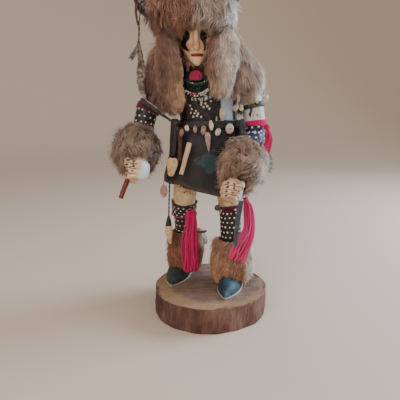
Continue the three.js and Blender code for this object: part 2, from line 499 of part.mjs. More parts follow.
// ---- arms
const ARM_STRAP = [[-92, -11.5, 300.6], [-80.2, -12.6, 292.3], [-69.8, -13.8, 284.8], [-52.8, -15.6, 273.8]];
add('arm_strap_right', ribbon(ARM_STRAP, V(0, 0.3, 1), (t) => lerp(6, 2.4, t), 1.6, 1), 0x1d1a1c, 0.5);
const armL = (g) => arm(UPPER_ARM_L, FOREARM_L, g);
const armR = (g) => arm(UPPER_ARM_R, FOREARM_R, g);
add('arm_band_left', whole(cut(shell(armL, GAP, 2.4).intersect(slab([55, 8, 293], V(-0.42, -0.1, 0.9), 7)).intersect(box(41.5, 90, -40, 60, 270, 320)), torsoOnly(GAP))), 0x2b3630, 0.6);
add('arm_shell_left', cut(egg([70.5, -4, 302.6], [3.6, 3, 4.6], { seg: 7, rows: 4 }), armL(2.4 + GAP)), 0xe6ded0, 0.4);
add('yarn_wrap_left', whole(cut(shell(armL, GAP, 3.2).intersect(slab([60, 7, 268], V(0, 0, 1), 7.4)), torsoOnly(GAP))), 0xb01848, 0.95);
add('yarn_wrap_right', whole(cut(shell(armR, GAP, 1.8).intersect(slab([-88, 8, 289], V(0.2, 0, 0.98), 7)), torsoOnly(GAP))), 0x9a1c3c, 0.95);
const TASSEL_A = [[74.5, -10.5, 263, 3, 3.4], [76.2, -11.5, 252, 5.4, 4.4], [74.6, -11.5, 240, 6.4, 4.8], [72, -11.5, 227, 4.4, 4]];
add('tassel_arm_left', limb(TASSEL_A, { sides: 10, per: 1 }), 0xc41850, 0.95);
add('feather_arm_left', limb([[79.4, -2, 226, 1.4, 3], [80.4, -2, 216, 1.6, 3.6], [79.4, -2, 206, 1, 1.6]], { sides: 6, per: 1 }), 0x6a7078, 0.8);

const cuff = (rows, g) => limb(rows, { sides: 12, per: 1, grow: g, dome: 0.3, flat0: true, flat1: true });
const tasselArmGrown = limb(TASSEL_A, { sides: 10, per: 1, grow: GAP });
add('cuff_fur_right', whole(cut(cuff(CUFF_R, 0), figureGrown)), 0x8a7468, 1);
add('cuff_fur_left', whole(cut(cuff(CUFF_L, 0), figureGrown, kilt(GAP, 12), tasselArmGrown,
  stack(KILT.slice().reverse(), { sides: 22, grow: GAP, power: 2.2 }))), 0x94806f, 1);

// ---- what the hands hold
add('stick_right_hand', whole(cut(limb([[-96, -50, 219, 2.8, 2.8], [-103.5, -57, 206, 3, 3], [-113, -65, 181.6, 2.9, 2.9]], { sides: 8, per: 1 }), figureGrown)), 0x6a2428, 0.6);
const STRIP = [[35.2, -73, 180], [34.4, -72.6, 172], [32.6, -70.8, 158], [31, -69.4, 144], [30, -68, 130], [30.2, -67.4, 119]];
add('hand_strap_left', ribbon(STRIP, V(1, 0, 0), (t) => lerp(6.2, 5, t), 1.2, 2), 0x49565e, 0.6);

// ---- legs
const legR = (g) => leg(LEG_R, g);
const legL = (g) => leg(LEG_L, g);
add('garter_right', whole(shell(legR, GAP, 3).intersect(slab([-38, 30, 144.5], V(0.03, 0, 1), 22))), 0x17141a, 0.6);
add('garter_left', whole(shell(legL, GAP, 2.4).intersect(slab([28, 6, 151.5], V(0, 0, 1), 6))), 0x5a2438, 0.8);
add('garter_bell_left', cut(egg([9.4, -9.6, 154.6], [4.2, 3.8, 4.6], { seg: 7, rows: 4 }), legL(2.4 + GAP)), 0x5a5a3c, 0.5);
const TASSEL_R = [[-27.5, 6.5, 143, 7.5, 4.4], [-27.6, 5.8, 128, 9.4, 5.4], [-28.6, 4.6, 104, 10.8, 6], [-28.8, 2.6, 80, 11.4, 6.4], [-28.4, 1, 62, 10.8, 5.6], [-28, 0.6, 56, 8, 4.4]];
const TASSEL_L = [[47.4, -11.5, 168, 3, 3], [52.4, -15, 153, 5.6, 4.6], [53.8, -20, 136, 6.8, 5.2], [50.5, -27, 121, 8.4, 5.6], [41.6, -31.4, 106, 12.4, 5.6], [34.6, -32.8, 93, 13, 5.2], [32.4, -32.4, 85, 11, 4.4]];
const tassel = (rows, g) => limb(rows, { sides: 10, per: 1, grow: g });
add('tassel_leg_right', cut(tassel(TASSEL_R, 0), legR(3 + GAP), shoe(SHOE_R, GAP)), 0xc81a58, 0.95);
add('tassel_leg_left', cut(tassel(TASSEL_L, 0), legL(2.4 + GAP)), 0xc81a58, 0.95);
add('bell_leg_right', limb([[-12.6, 2.6, 114.6, 3, 1.8], [-13.8, 2.4, 109.6, 3.4, 2], [-10.6, 2.2, 101.6, 3, 1.4]], { sides: 8, per: 1 }), 0x4a4c4a, 0.6);
const boot = (rows, g) => stack(rows, { sides: 14, grow: g });
add('boot_fur_right', whole(cut(boot(BOOT_R, 0), legR(GAP), shoe(SHOE_R, GAP), tassel(TASSEL_R, GAP), limb([[-12.6, 2.6, 114.6, 3, 1.8], [-13.8, 2.4, 109.6, 3.4, 2], [-10.6, 2.2, 101.6, 3, 1.4]], { sides: 8, per: 1, grow: GAP }))), 0x9a6038, 1);
add('boot_fur_left', whole(cut(boot(BOOT_L, 0), legL(GAP), shoe(SHOE_L, GAP), tassel(TASSEL_L, GAP))), 0x9c643c, 1);

// ---- the thong from under the kilt, with its cap and cone
const KTHONG = [[-57.2, -1, 188], [-57.8, -1.6, 176], [-58.4, -2.6, 160], [-58.8, -3.4, 147], [-59, -3.8, 141.4]];
add('kilt_thong', tube(KTHONG, 1.1, 8, 8), 0x1b1816, 0.7);
add('thong_cap', limb([[-59.1, -4, 140.6, 1.6, 1.6], [-59.3, -4.2, 134, 3.2, 3.2], [-59.4, -4.4, 127, 4.2, 4.2]], { sides: 10, per: 1, flat0: true, flat1: true }), 0x1d1a16, 0.7);
add('cone_pendant', limb([[-59.4, -4.4, 126.6, 5.2, 4.6], [-59, -4.6, 117, 4.9, 4.4], [-58.2, -4.8, 108, 3.2, 3], [-57.6, -5, 101, 1.2, 1.2]], { sides: 12, per: 1, flat0: true }), 0xd9b98e, 0.6);
add('hem_shell', egg([-67.2, -1.6, 176.5], [3.4, 2.4, 8.4], { seg: 7, rows: 4 }), 0xc98a78, 0.5);

// ---- thong and feathers hung from the right horn
const HTHONG = [[-92.8, -7.6, 414.6], [-94, -9, 408], [-93.6, -9.2, 399], [-91.6, -9.2, 390], [-91.8, -9.2, 380], [-92.4, -9.2, 370], [-92.8, -9.2, 352], [-93, -9.2, 341]];
add('horn_thong', tube(HTHONG, 1.25, 8, 14), 0x3a2418, 0.8);
add('feather_upper', cut(limb([[-93, -14, 370, 1.6, 1.4], [-95.5, -14.6, 358, 5, 1.6], [-96.4, -14.8, 347, 5.4, 1.6], [-94, -14.6, 338, 2, 1.2]], { sides: 8, per: 1, power: 2 }), tube(HTHONG, 1.25 + GAP, 8, 14)), 0x5a4a40, 0.85);
add('feather_lower', limb([[-92.6, -9.4, 338.8, 1.6, 1.4], [-93.4, -9.6, 328, 5.2, 1.7], [-92.8, -9.8, 317, 4.4, 1.6], [-89.4, -9.8, 307, 1.2, 1]], { sides: 8, per: 1 }), 0x33241c, 0.85);

// ---- hair falls beside the mask, then the cape behind them
const falls = (rows, g) => limb(rows, { sides: 10, per: 1, grow: g, dome: 0.4 });
const chestTrimGrown = join([collarGrown, bandolierGrown, torsoOnly(2.6)]);
const beadKeep = join([
  beads([[-37.5, -11, 325], [-30, -17.2, 320.8], [-20, -19.4, 319], [-10, -18, 321], [-3.5, -12.5, 325.5]], 2.3, 13),
  beads([[-36, -14.5, 313.5], [-31, -17.8, 309], [-20, -19.6, 305.8], [-9, -18.6, 309], [-4, -15.5, 313.5]], 2.5, 11),
  beads([[-25, -16.6, 300.6], [-15, -17.2, 300.2], [-6, -17.2, 302], [2, -16.4, 305]], 2.1, 9),
  box(-31, -10.5, -22, -8, 323, 338),
]);
const shellKeep = join(chestShells.map(([, c, r]) => egg(c, r.map((v) => v + GAP), { seg: 7, rows: 4 })));
add('hair_fall_right', whole(cut(falls(FALL_R, 0), headGrown, hatGrown, chestTrimGrown, beadKeep, shellKeep)), 0x9a7458, 1);
add('hair_fall_left', whole(cut(falls(FALL_L, 0), headGrown, hatGrown, chestTrimGrown, beadKeep, shellKeep)), 0xa8988c, 1);
const opening = stack([[280, -12, -32, 34, 36], [330, -13, -30, 30, 34], [368, -18, -24, 26, 26]], { sides: 12 });
const cavity = stack([[280, -10, 14, 55, 29], [300, -10, 13, 56.5, 31], [312, -10, 13, 59.5, 31], [325, -11, 13, 60.5, 31], [337, -13.5, 12, 49, 28], [350, -18, 8, 30, 32], [380, -20, 6, 30, 34]], { sides: 14 });
// the cape's hem climbs to a point over the right arm
const capeHem = box(-140, 60, -90, 120, -60, 0, new THREE.Matrix4().makeRotationY(Math.atan(0.72)).setPosition(-64, 0, 291));
add('cape_fur', whole(cut(stack(CAPE, { sides: 20 }), capeHem, cavity, hatGrown, falls(FALL_R, GAP), falls(FALL_L, GAP), opening,
  armL(2.4 + GAP), armR(1.8 + GAP),
  ribbon(ARM_STRAP, V(0, 0.3, 1), (t) => lerp(7, 3.4, t), 2.4, 1), shellKeep)), 0x8c6a50, 1);

export default group;
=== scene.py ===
"""Looks of the carved dancer. Shapes are built in millimetres in the CAD frame and written in metres."""
import math

import bpy
import numpy as np
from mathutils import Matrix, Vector, kdtree
from mathutils.bvhtree import BVHTree


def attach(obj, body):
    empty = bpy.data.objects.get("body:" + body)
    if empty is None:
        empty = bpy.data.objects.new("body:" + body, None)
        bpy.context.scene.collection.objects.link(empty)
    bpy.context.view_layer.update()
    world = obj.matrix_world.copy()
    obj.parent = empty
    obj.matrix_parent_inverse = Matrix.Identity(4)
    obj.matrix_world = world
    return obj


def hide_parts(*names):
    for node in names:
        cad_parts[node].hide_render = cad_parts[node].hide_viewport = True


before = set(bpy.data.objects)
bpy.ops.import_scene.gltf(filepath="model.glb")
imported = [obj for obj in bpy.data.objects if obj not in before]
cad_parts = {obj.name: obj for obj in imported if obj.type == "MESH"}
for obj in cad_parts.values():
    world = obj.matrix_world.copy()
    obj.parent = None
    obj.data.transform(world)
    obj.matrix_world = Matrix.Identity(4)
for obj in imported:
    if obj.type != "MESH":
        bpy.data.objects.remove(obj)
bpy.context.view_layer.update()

MM = 0.001
scene = bpy.context.scene

# ---------------------------------------------------------------- camera
cam_data = bpy.data.cameras.new("camera")
cam_data.lens = 35.46
cam_data.sensor_width = 36
cam_data.clip_start = 0.01
cam = bpy.data.objects.new("camera", cam_data)
cam.location = (-0.01494, -0.53998, 0.29164)
cam.rotation_euler = (math.radians(76.6512), 0, 0)
scene.collection.objects.link(cam)
scene.camera = cam


# ---------------------------------------------------------------- numbers
def arr(x):
    return np.array(x, float)


def unit(v):
    v = arr(v)
    return v / np.maximum(np.linalg.norm(v, axis=-1, keepdims=True), 1e-12)


def lerp(a, b, t):
    return a + (b - a) * t


def sstep(x, a, b):
    t = np.clip((x - a) / (b - a), 0, 1)
    return t * t * (3 - 2 * t)


def spline(rows, per):
    rows = arr(rows)
    n = len(rows)
    out = []
    for i in range(n - 1):
        p0, p1, p2, p3 = rows[max(i - 1, 0)], rows[i], rows[i + 1], rows[min(i + 2, n - 1)]
        for k in range(per):
            t = k / per
            out.append(0.5 * (2 * p1 + (p2 - p0) * t + (2 * p0 - 5 * p1 + 4 * p2 - p3) * t * t + (3 * p1 - p0 - 3 * p2 + p3) * t ** 3))
    out.append(rows[-1])
    return arr(out)


def even(points, n):
    """n points spaced evenly along a smooth line through the given ones."""
    p = spline(points, 12)
    d = np.concatenate([[0], np.cumsum(np.linalg.norm(np.diff(p[:, :3], axis=0), axis=1))])
    s = np.linspace(0, d[-1], n)
    return np.stack([np.interp(s, d, p[:, k]) for k in range(p.shape[1])], 1)


def run(p):
    """Distance along a line of points."""
    return np.concatenate([[0], np.cumsum(np.linalg.norm(np.diff(p[:, :3], axis=0), axis=1))])


def vnoise(p, size, seed=0):
    """Smooth noise from -1 to 1 at points in mm."""
    p = arr(p) / size + 31.7 * (seed + 1) + np.array([0.37, 0.11, 0.73]) * seed
    i = np.floor(p).astype(np.int64)
    f = p - i
    f = f * f * (3 - 2 * f)

    def h(ix, iy, iz):
        n = (ix * 73856093) ^ (iy * 19349663) ^ (iz * 83492791)
        n = (n ^ (n >> 13)) & 0x7FFFFFFF
        n = (n * 1274126177) & 0x7FFFFFFF
        return ((n ^ (n >> 16)) & 0xFFFF) / 32767.5 - 1

    out = 0
    for a in (0, 1):
        for b in (0, 1):
            for c in (0, 1):
                w = (f[:, 0] if a else 1 - f[:, 0]) * (f[:, 1] if b else 1 - f[:, 1]) * (f[:, 2] if c else 1 - f[:, 2])
                out = out + w * h(i[:, 0] + a, i[:, 1] + b, i[:, 2] + c)
    return out


def fbm(p, size, seed=0, octaves=3):
    out, k = 0, 1.0
    for o in range(octaves):
        out = out + k * vnoise(p, size / 2 ** o, seed + 5 * o)
        k *= 0.5
    return out / 1.75


def lin(r, g, b):
    """A display colour, 0 to 255, as linear light."""
    c = arr([r, g, b]) / 255
    return np.where(c <= 0.04045, c / 12.92, ((c + 0.055) / 1.055) ** 2.4)


def rgba(r, g, b):
    return (*[float(x) for x in lin(r, g, b)], 1.0)


# ---------------------------------------------------------------- meshes, in mm
def mesh(v, q=None, t=None, uvq=None, uvt=None, **a):
    m = dict(v=arr(v).reshape(-1, 3), q=np.zeros((0, 4), int) if q is None else np.asarray(q, int).reshape(-1, 4),
             t=np.zeros((0, 3), int) if t is None else np.asarray(t, int).reshape(-1, 3))
    m["uvq"] = np.zeros((len(m["q"]), 4, 2)) if uvq is None else arr(uvq)
    m["uvt"] = np.zeros((len(m["t"]), 3, 2)) if uvt is None else arr(uvt)
    m["a"] = a
    return m


def cat(parts):
    parts = [p for p in parts if p is not None]
    names = {}
    for p in parts:
        for k, x in p["a"].items():
            names[k] = arr(x).shape[1:]
    off, out = 0, dict(v=[], q=[], t=[], uvq=[], uvt=[])
    att = {k: [] for k in names}
    for p in parts:
        out["v"].append(p["v"]); out["q"].append(p["q"] + off); out["t"].append(p["t"] + off)
        out["uvq"].append(p["uvq"]); out["uvt"].append(p["uvt"])
        for k, s in names.items():
            att[k].append(arr(p["a"][k]) if k in p["a"] else np.zeros((len(p["v"]), *s)))
        off += len(p["v"])
    m = {k: np.concatenate(x) for k, x in out.items()}
    m["a"] = {k: np.concatenate(x) for k, x in att.items()}
    return m


def paint(m, **a):
    """Gives a mesh the same value of an attribute all over."""
    for k, x in a.items():
        m["a"][k] = np.tile(arr(x), (len(m["v"]), 1)) if np.ndim(x) else np.full(len(m["v"]), float(x))
    return m


def tri_of(m):
    q = m["q"]
    return np.concatenate([q[:, [0, 1, 2]], q[:, [0, 2, 3]], m["t"]])


def outward(m):
    t = tri_of(m)
    a, b, c = m["v"][t[:, 0]], m["v"][t[:, 1]], m["v"][t[:, 2]]
    if np.einsum("ij,ij->", a, np.cross(b, c)) < 0:
        m["q"], m["t"] = m["q"][:, ::-1], m["t"][:, ::-1]
        m["uvq"], m["uvt"] = m["uvq"][:, ::-1], m["uvt"][:, ::-1]
    return m


def normals(m):
    t = tri_of(m)
    v = m["v"]
    f = np.cross(v[t[:, 1]] - v[t[:, 0]], v[t[:, 2]] - v[t[:, 0]])
    n = np.zeros_like(v)
    for k in range(3):
        np.add.at(n, t[:, k], f)
    return unit(n)


def rings(r, caps=True, length=None, **a):
    """Rings of points (m, n, 3) as a closed skin. UV: turn, and length in mm along."""
    r = arr(r)
    m, n = r.shape[:2]
    j = np.arange(n)
    k = (j + 1) % n
    i = np.arange(m - 1)[:, None]
    q = np.stack([i * n + j, i * n + k, (i + 1) * n + k, (i + 1) * n + j], -1).reshape(-1, 4)
    s = run(r.mean(1)) if length is None else arr(length)
    u0, u1 = np.broadcast_to(j / n, (m - 1, n)), np.broadcast_to((j + 1) / n, (m - 1, n))
    s0, s1 = np.broadcast_to(s[:-1, None], (m - 1, n)), np.broadcast_to(s[1:, None], (m - 1, n))
    uvq = np.stack([np.stack([u0, s0], -1), np.stack([u1, s0], -1), np.stack([u1, s1], -1), np.stack([u0, s1], -1)], 2).reshape(-1, 4, 2)
    v = r.reshape(-1, 3)
    t, uvt = None, None
    if caps:
        v = np.concatenate([v, r[0].mean(0)[None], r[-1].mean(0)[None]])
        c, last = m * n, (m - 1) * n
        t = np.concatenate([np.stack([np.full(n, c), k, j], 1), np.stack([np.full(n, c + 1), last + j, last + k], 1)])
        one = np.stack([j / n, np.full(n, s[0])], 1), np.stack([(j + 1) / n, np.full(n, s[0])], 1)
        two = np.stack([j / n, np.full(n, s[-1])], 1), np.stack([(j + 1) / n, np.full(n, s[-1])], 1)
        uvt = np.concatenate([np.stack([(one[0] + one[1]) / 2, one[1], one[0]], 1), np.stack([(two[0] + two[1]) / 2, two[0], two[1]], 1)])
        a = {key: np.concatenate([np.broadcast_to(arr(x)[:, None] if np.ndim(x) == 1 else arr(x), (m, n)).reshape(-1), [arr(x).reshape(m, -1)[0].mean(), arr(x).reshape(m, -1)[-1].mean()]]) for key, x in a.items()}
    else:
        a = {key: np.broadcast_to(arr(x)[:, None] if np.ndim(x) == 1 else arr(x), (m, n)).reshape(-1) for key, x in a.items()}
    return outward(mesh(v, q, t, uvq, uvt, **a))


def tangents(p):
    t = np.empty_like(p)
    t[1:-1] = p[2:] - p[:-2]
    t[0], t[-1] = p[1] - p[0], p[-1] - p[-2]
    return unit(t)


class Limb:
    """A run of oval sections [x, y, z, a, b]; at(s, th, off) is a point on it, s from 0 to 1."""

    def __init__(self, rows, ref=(1, 0, 0), per=10, power=2.0):
        self.p = spline(rows, per)
        self.power = power
        self.t = tangents(self.p[:, :3])
        ref = arr(ref)
        self.u = unit(ref - self.t * (self.t @ ref)[:, None])
        self.v = np.cross(self.t, self.u)
        self.s = run(self.p)
        self.length = self.s[-1]

    def _get(self, data, s):
        x = np.asarray(s, float) * (len(self.p) - 1)
        i = np.clip(np.floor(x).astype(int), 0, len(self.p) - 2)
        f = (x - i)[..., None]
        return data[i] * (1 - f) + data[i + 1] * f

    def at(self, s, th, off=0.0):
        s, th = np.broadcast_arrays(np.asarray(s, float), np.asarray(th, float))
        p, u, v = self._get(self.p, s), self._get(self.u, s), self._get(self.v, s)
        e = 2 / self.power
        cs, sn = np.cos(th), np.sin(th)
        off = np.asarray(off, float)
        x = np.sign(cs) * np.abs(cs) ** e * (p[..., 3] + off)
        y = np.sign(sn) * np.abs(sn) ** e * (p[..., 4] + off)
        return p[..., :3] + u * x[..., None] + v * y[..., None]

    def normal(self, s, th):
        return unit(self.at(s, th, 1.0) - self.at(s, th, 0.0))

    def where(self, axis, value):
        """s at which the centre line passes a value of one coordinate."""
        x = self.p[:, axis]
        i = int(np.argmin(np.abs(x - value)))
        return i / (len(self.p) - 1)

    def skin(self, sides=48, dome0=0.0, dome1=0.0, steps=None, off=None, **a):
        n = len(self.p)
        s = np.linspace(0, 1, steps or n)
        th = np.linspace(0, 2 * math.pi, sides, endpoint=False)
        r = self.at(s[:, None], th[None])
        if off is not None:
            r = self.at(s[:, None], th[None], off(s[:, None], th[None]))
        length = np.interp(s, np.linspace(0, 1, n), self.s)
        if dome0:
            c = r[0].mean(0)
            extra = [c + (r[0] - c) * k - self.t[0] * dome0 * h for k, h in ((0.3, 1), (0.62, 0.8), (0.87, 0.45))]
            r = np.concatenate([extra, r])
            length = np.concatenate([np.array([-1, -0.8, -0.45]) * dome0, length])
        if dome1:
            c = r[-1].mean(0)
            extra = [c + (r[-1] - c) * k + self.t[-1] * dome1 * h for k, h in ((0.87, 0.45), (0.62, 0.8), (0.3, 1))]
            r = np.concatenate([r, extra])
            length = np.concatenate([length, length[-1] + np.array([0.45, 0.8, 1]) * dome1])
        return rings(r, length=length, **a)


def stack_rings(rows, sides=64, per=8, grow=0.0, power=2.0, smooth=True):
    p = spline(rows, per) if smooth else arr(rows)
    th = np.linspace(0, 2 * math.pi, sides, endpoint=False)
    cs, sn, e = np.cos(th), np.sin(th), 2 / power
    x = p[:, 1:2] + np.sign(cs) * np.abs(cs) ** e * (p[:, 3:4] + grow)
    y = p[:, 2:3] + np.sign(sn) * np.abs(sn) ** e * (p[:, 4:5] + grow)
    z = np.broadcast_to(p[:, 0:1], x.shape)
    return np.stack([x, y, z], -1)


def oval(c, r, seg=20, rows=14, rot=None):
    ph = np.linspace(0.08, math.pi - 0.08, rows)
    th = np.linspace(0, 2 * math.pi, seg, endpoint=False)
    u = np.stack([np.sin(ph)[:, None] * np.cos(th), np.sin(ph)[:, None] * np.sin(th), np.broadcast_to(np.cos(ph)[:, None], (rows, seg))], -1)
    m = rings(u, length=ph)
    m["v"] = m["v"] * arr(r)
    if rot is not None:
        m["v"] = m["v"] @ turn(*rot).T
    m["v"] = m["v"] + arr(c)
    return m


def turn(x=0, y=0, z=0):
    cx, sx, cy, sy, cz, sz = math.cos(x), math.sin(x), math.cos(y), math.sin(y), math.cos(z), math.sin(z)
    return arr([[cz, -sz, 0], [sz, cz, 0], [0, 0, 1]]) @ arr([[cy, 0, sy], [0, 1, 0], [-sy, 0, cy]]) @ arr([[1, 0, 0], [0, cx, -sx], [0, sx, cx]])


def tube(points, r, sides=8, steps=None, ends=True, wob=None):
    """A round strand through points; r is a radius or a function of 0 to 1."""
    p = arr(points)
    n = steps or max(6, int(run(spline(p, 8))[-1] / 2.5))
    p = even(p, n)
    t = tangents(p)
    ref = arr([0, 0, 1]) if abs(t[0][2]) < 0.9 else arr([1, 0, 0])
    u = np.empty_like(p)
    u[0] = unit(ref - t[0] * (t[0] @ ref))
    for i in range(1, n):
        w = u[i - 1] - t[i] * (t[i] @ u[i - 1])
        u[i] = unit(w)
    v = np.cross(t, u)
    s = np.linspace(0, 1, n)
    rad = np.array([r(x) for x in s]) if callable(r) else np.full(n, float(r))
    th = np.linspace(0, 2 * math.pi, sides, endpoint=False)
    ring = p[:, None] + rad[:, None, None] * (np.cos(th)[None, :, None] * u[:, None] + np.sin(th)[None, :, None] * v[:, None])
    length = run(p)
    if ends:
        a = p[0] + (ring[0] - p[0]) * 0.6 - t[0] * rad[0] * 0.6
        b = p[-1] + (ring[-1] - p[-1]) * 0.6 + t[-1] * rad[-1] * 0.6
        ring = np.concatenate([a[None], ring, b[None]])
        length = np.concatenate([[-0.6 * rad[0]], length, [length[-1] + 0.6 * rad[-1]]])
    return rings(ring, length=length)


def strap(points, side, width, thick, steps=None, across=7, bow=0.0, round_=0.35):
    """A flat strip of leather with rounded edges. side is the direction of its width, one vector or one per point."""
    p = even(points, steps or max(8, int(run(spline(points, 8))[-1] / 2.0)))
    n = len(p)
    t = tangents(p)
    side = np.broadcast_to(arr(side), (n, 3)) if np.ndim(side) == 1 else even(side, n)
    s = unit(side - t * np.einsum("ij,ij->i", side, t)[:, None])
    o = np.cross(t, s)
    f = np.linspace(0, 1, n)
    w = np.array([width(x) for x in f]) if callable(width) else np.full(n, float(width))
    return flat_section(p, s, o, w, thick, across, bow, round_)


def flat_section(p, s, o, w, thick, across=7, bow=0.0, round_=0.35):
    x = np.linspace(-1, 1, across)
    y = np.where(np.abs(x) > 0.99, 0.5 * (1 - round_ * 1.6), 0.5) * thick
    sec = np.concatenate([np.stack([x, y], 1), np.stack([x[::-1], -y], 1)])
    ring = p[:, None] + (s * w[:, None] / 2)[:, None] * sec[None, :, :1] + o[:, None] * (sec[None, :, 1:] + bow * (1 - sec[None, :, :1] ** 2))
    edge = np.broadcast_to(np.abs(sec[:, 0]) ** 6, ring.shape[:2])
    return rings(ring, length=run(p), edge=edge)


class Surface:
    """Points of a piece can be laid on a mesh."""

    def __init__(self, m):
        t = tri_of(m)
        self.tree = BVHTree.FromPolygons([Vector(x) for x in m["v"]], [tuple(int(k) for k in x) for x in t])
        self.n = normals(m)
        self.v, self.t = m["v"], t

    def near(self, pts):
        shape = np.shape(pts)
        co, no = [], []
        for p in arr(pts).reshape(-1, 3):
            c, n, i, _ = self.tree.find_nearest(Vector(p))
            a, b, d = (self.v[k] for k in self.t[i])
            c = arr(c)
            area = np.array([np.linalg.norm(np.cross(b - c, d - c)), np.linalg.norm(np.cross(d - c, a - c)), np.linalg.norm(np.cross(a - c, b - c))])
            area = area / max(area.sum(), 1e-12)
            co.append(c)
            no.append(area @ self.n[self.t[i]])
        return arr(co).reshape(shape), unit(arr(no)).reshape(shape)

    def ray(self, o, d):
        c, n, i, _ = self.tree.ray_cast(Vector(o), Vector(d))
        return (None, None) if c is None else (arr(c), arr(n))


def laid(surface, points, side, width, thick, steps=None, across=9, lift=0.05, follow=1.0, crown=0.0):
    """A strap that lies on a surface along guide points, its section following the surface."""
    p = even(points, steps or max(8, int(run(spline(points, 8))[-1] / 1.8)))
    n = len(p)
    t = tangents(p)
    sd = unit(arr(side) - t * (t @ arr(side))[:, None])
    f = np.linspace(0, 1, n)
    w = np.array([width(x) for x in f]) if callable(width) else np.full(n, float(width))
    x = np.linspace(-1, 1, across)
    grid = p[:, None] + sd[:, None] * (w[:, None] / 2 * x)[..., None]
    co, no = surface.near(grid)
    if follow < 1:
        mid = co[:, across // 2:across // 2 + 1]
        flat = mid + sd[:, None] * (w[:, None] / 2 * x)[..., None]
        co = co * follow + flat * (1 - follow)
        no = unit(no * follow + no[:, across // 2:across // 2 + 1] * (1 - follow))
    h = thick * np.where(np.abs(x) > 0.99, 0.72, 1.0) + crown * (1 - x * x)
    top = co + no * (lift + h)[None, :, None]
    low = (co + no * lift)[:, ::-1]
    ring = np.concatenate([top, low], 1)
    edge = np.broadcast_to(np.concatenate([np.abs(x) ** 6, np.abs(x) ** 6]), ring.shape[:2])
    return rings(ring, length=run(p), edge=edge)


def remesh(m, voxel, smooth=4, factor=0.5):
    """One closed skin round overlapping solids."""
    me = as_mesh("tmp", m)
    ob = bpy.data.objects.new("tmp", me)
    scene.collection.objects.link(ob)
    r = ob.modifiers.new("r", "REMESH")
    r.mode = "VOXEL"
    r.voxel_size = voxel * MM
    if smooth:
        s = ob.modifiers.new("s", "SMOOTH")
        s.factor, s.iterations = factor, smooth
    got = bpy.data.meshes.new_from_object(ob.evaluated_get(bpy.context.evaluated_depsgraph_get()))
    out = read(got)
    bpy.data.objects.remove(ob)
    bpy.data.meshes.remove(me)
    bpy.data.meshes.remove(got)
    return out


def read(me, matrix=None):
    v = np.empty(len(me.vertices) * 3)
    me.vertices.foreach_get("co", v)
    v = v.reshape(-1, 3)
    if matrix is not None:
        mt = arr(matrix)
        v = v @ mt[:3, :3].T + mt[:3, 3]
    start = np.empty(len(me.polygons), int); total = np.empty(len(me.polygons), int)
    me.polygons.foreach_get("loop_start", start); me.polygons.foreach_get("loop_total", total)
    loop = np.empty(len(me.loops), int); me.loops.foreach_get("vertex_index", loop)
    q = loop[start[total == 4][:, None] + np.arange(4)]
    t = loop[start[total == 3][:, None] + np.arange(3)]
    return mesh(v / MM, q, t)


def cad(node):
    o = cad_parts[node]
    return read(o.data, o.matrix_world)


def as_mesh(name, m, smooth=True, uv="strand"):
    me = bpy.data.meshes.new(name)
    q, t = m["q"], m["t"]
    loops = np.concatenate([q.ravel(), t.ravel()]).astype(np.int32)
    start = np.concatenate([np.arange(len(q)) * 4, 4 * len(q) + np.arange(len(t)) * 3]).astype(np.int32)
    me.vertices.add(len(m["v"]))
    me.vertices.foreach_set("co", (m["v"] * MM).astype(np.float32).ravel())
    me.loops.add(len(loops))
    me.loops.foreach_set("vertex_index", loops)
    me.polygons.add(len(start))
    me.polygons.foreach_set("loop_start", start)
    me.update(calc_edges=True)
    me.polygons.foreach_set("use_smooth", np.full(len(start), smooth))
    if m["uvq"].size or m["uvt"].size:
        layer = me.uv_layers.new(name=uv)
        layer.uv.foreach_set("vector", np.concatenate([m["uvq"].reshape(-1, 2), m["uvt"].reshape(-1, 2)]).astype(np.float32).ravel())
    for k, x in m["a"].items():
        x = arr(x)
        if x.ndim == 2:
            a = me.attributes.new(k, "FLOAT_COLOR", "POINT")
            a.data.foreach_set("color", np.concatenate([x, np.ones((len(x), 1))], 1).astype(np.float32).ravel())
        else:
            a = me.attributes.new(k, "FLOAT", "POINT")
            a.data.foreach_set("value", x.astype(np.float32))
    return me


made = []


def piece(name, m, mat, replaces=(), smooth=True, uv="strand", sharp=None):
    me = as_mesh(name, m, smooth, uv)
    me.validate()
    if sharp:
        me.set_sharp_from_angle(angle=math.radians(sharp))
    ob = bpy.data.objects.new(name, me)
    scene.collection.objects.link(ob)
    me.materials.append(mat)
    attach(ob, "root")
    if replaces:
        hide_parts(*replaces)
    made.append((name, int(len(m["q"]) * 2 + len(m["t"]))))
    return ob


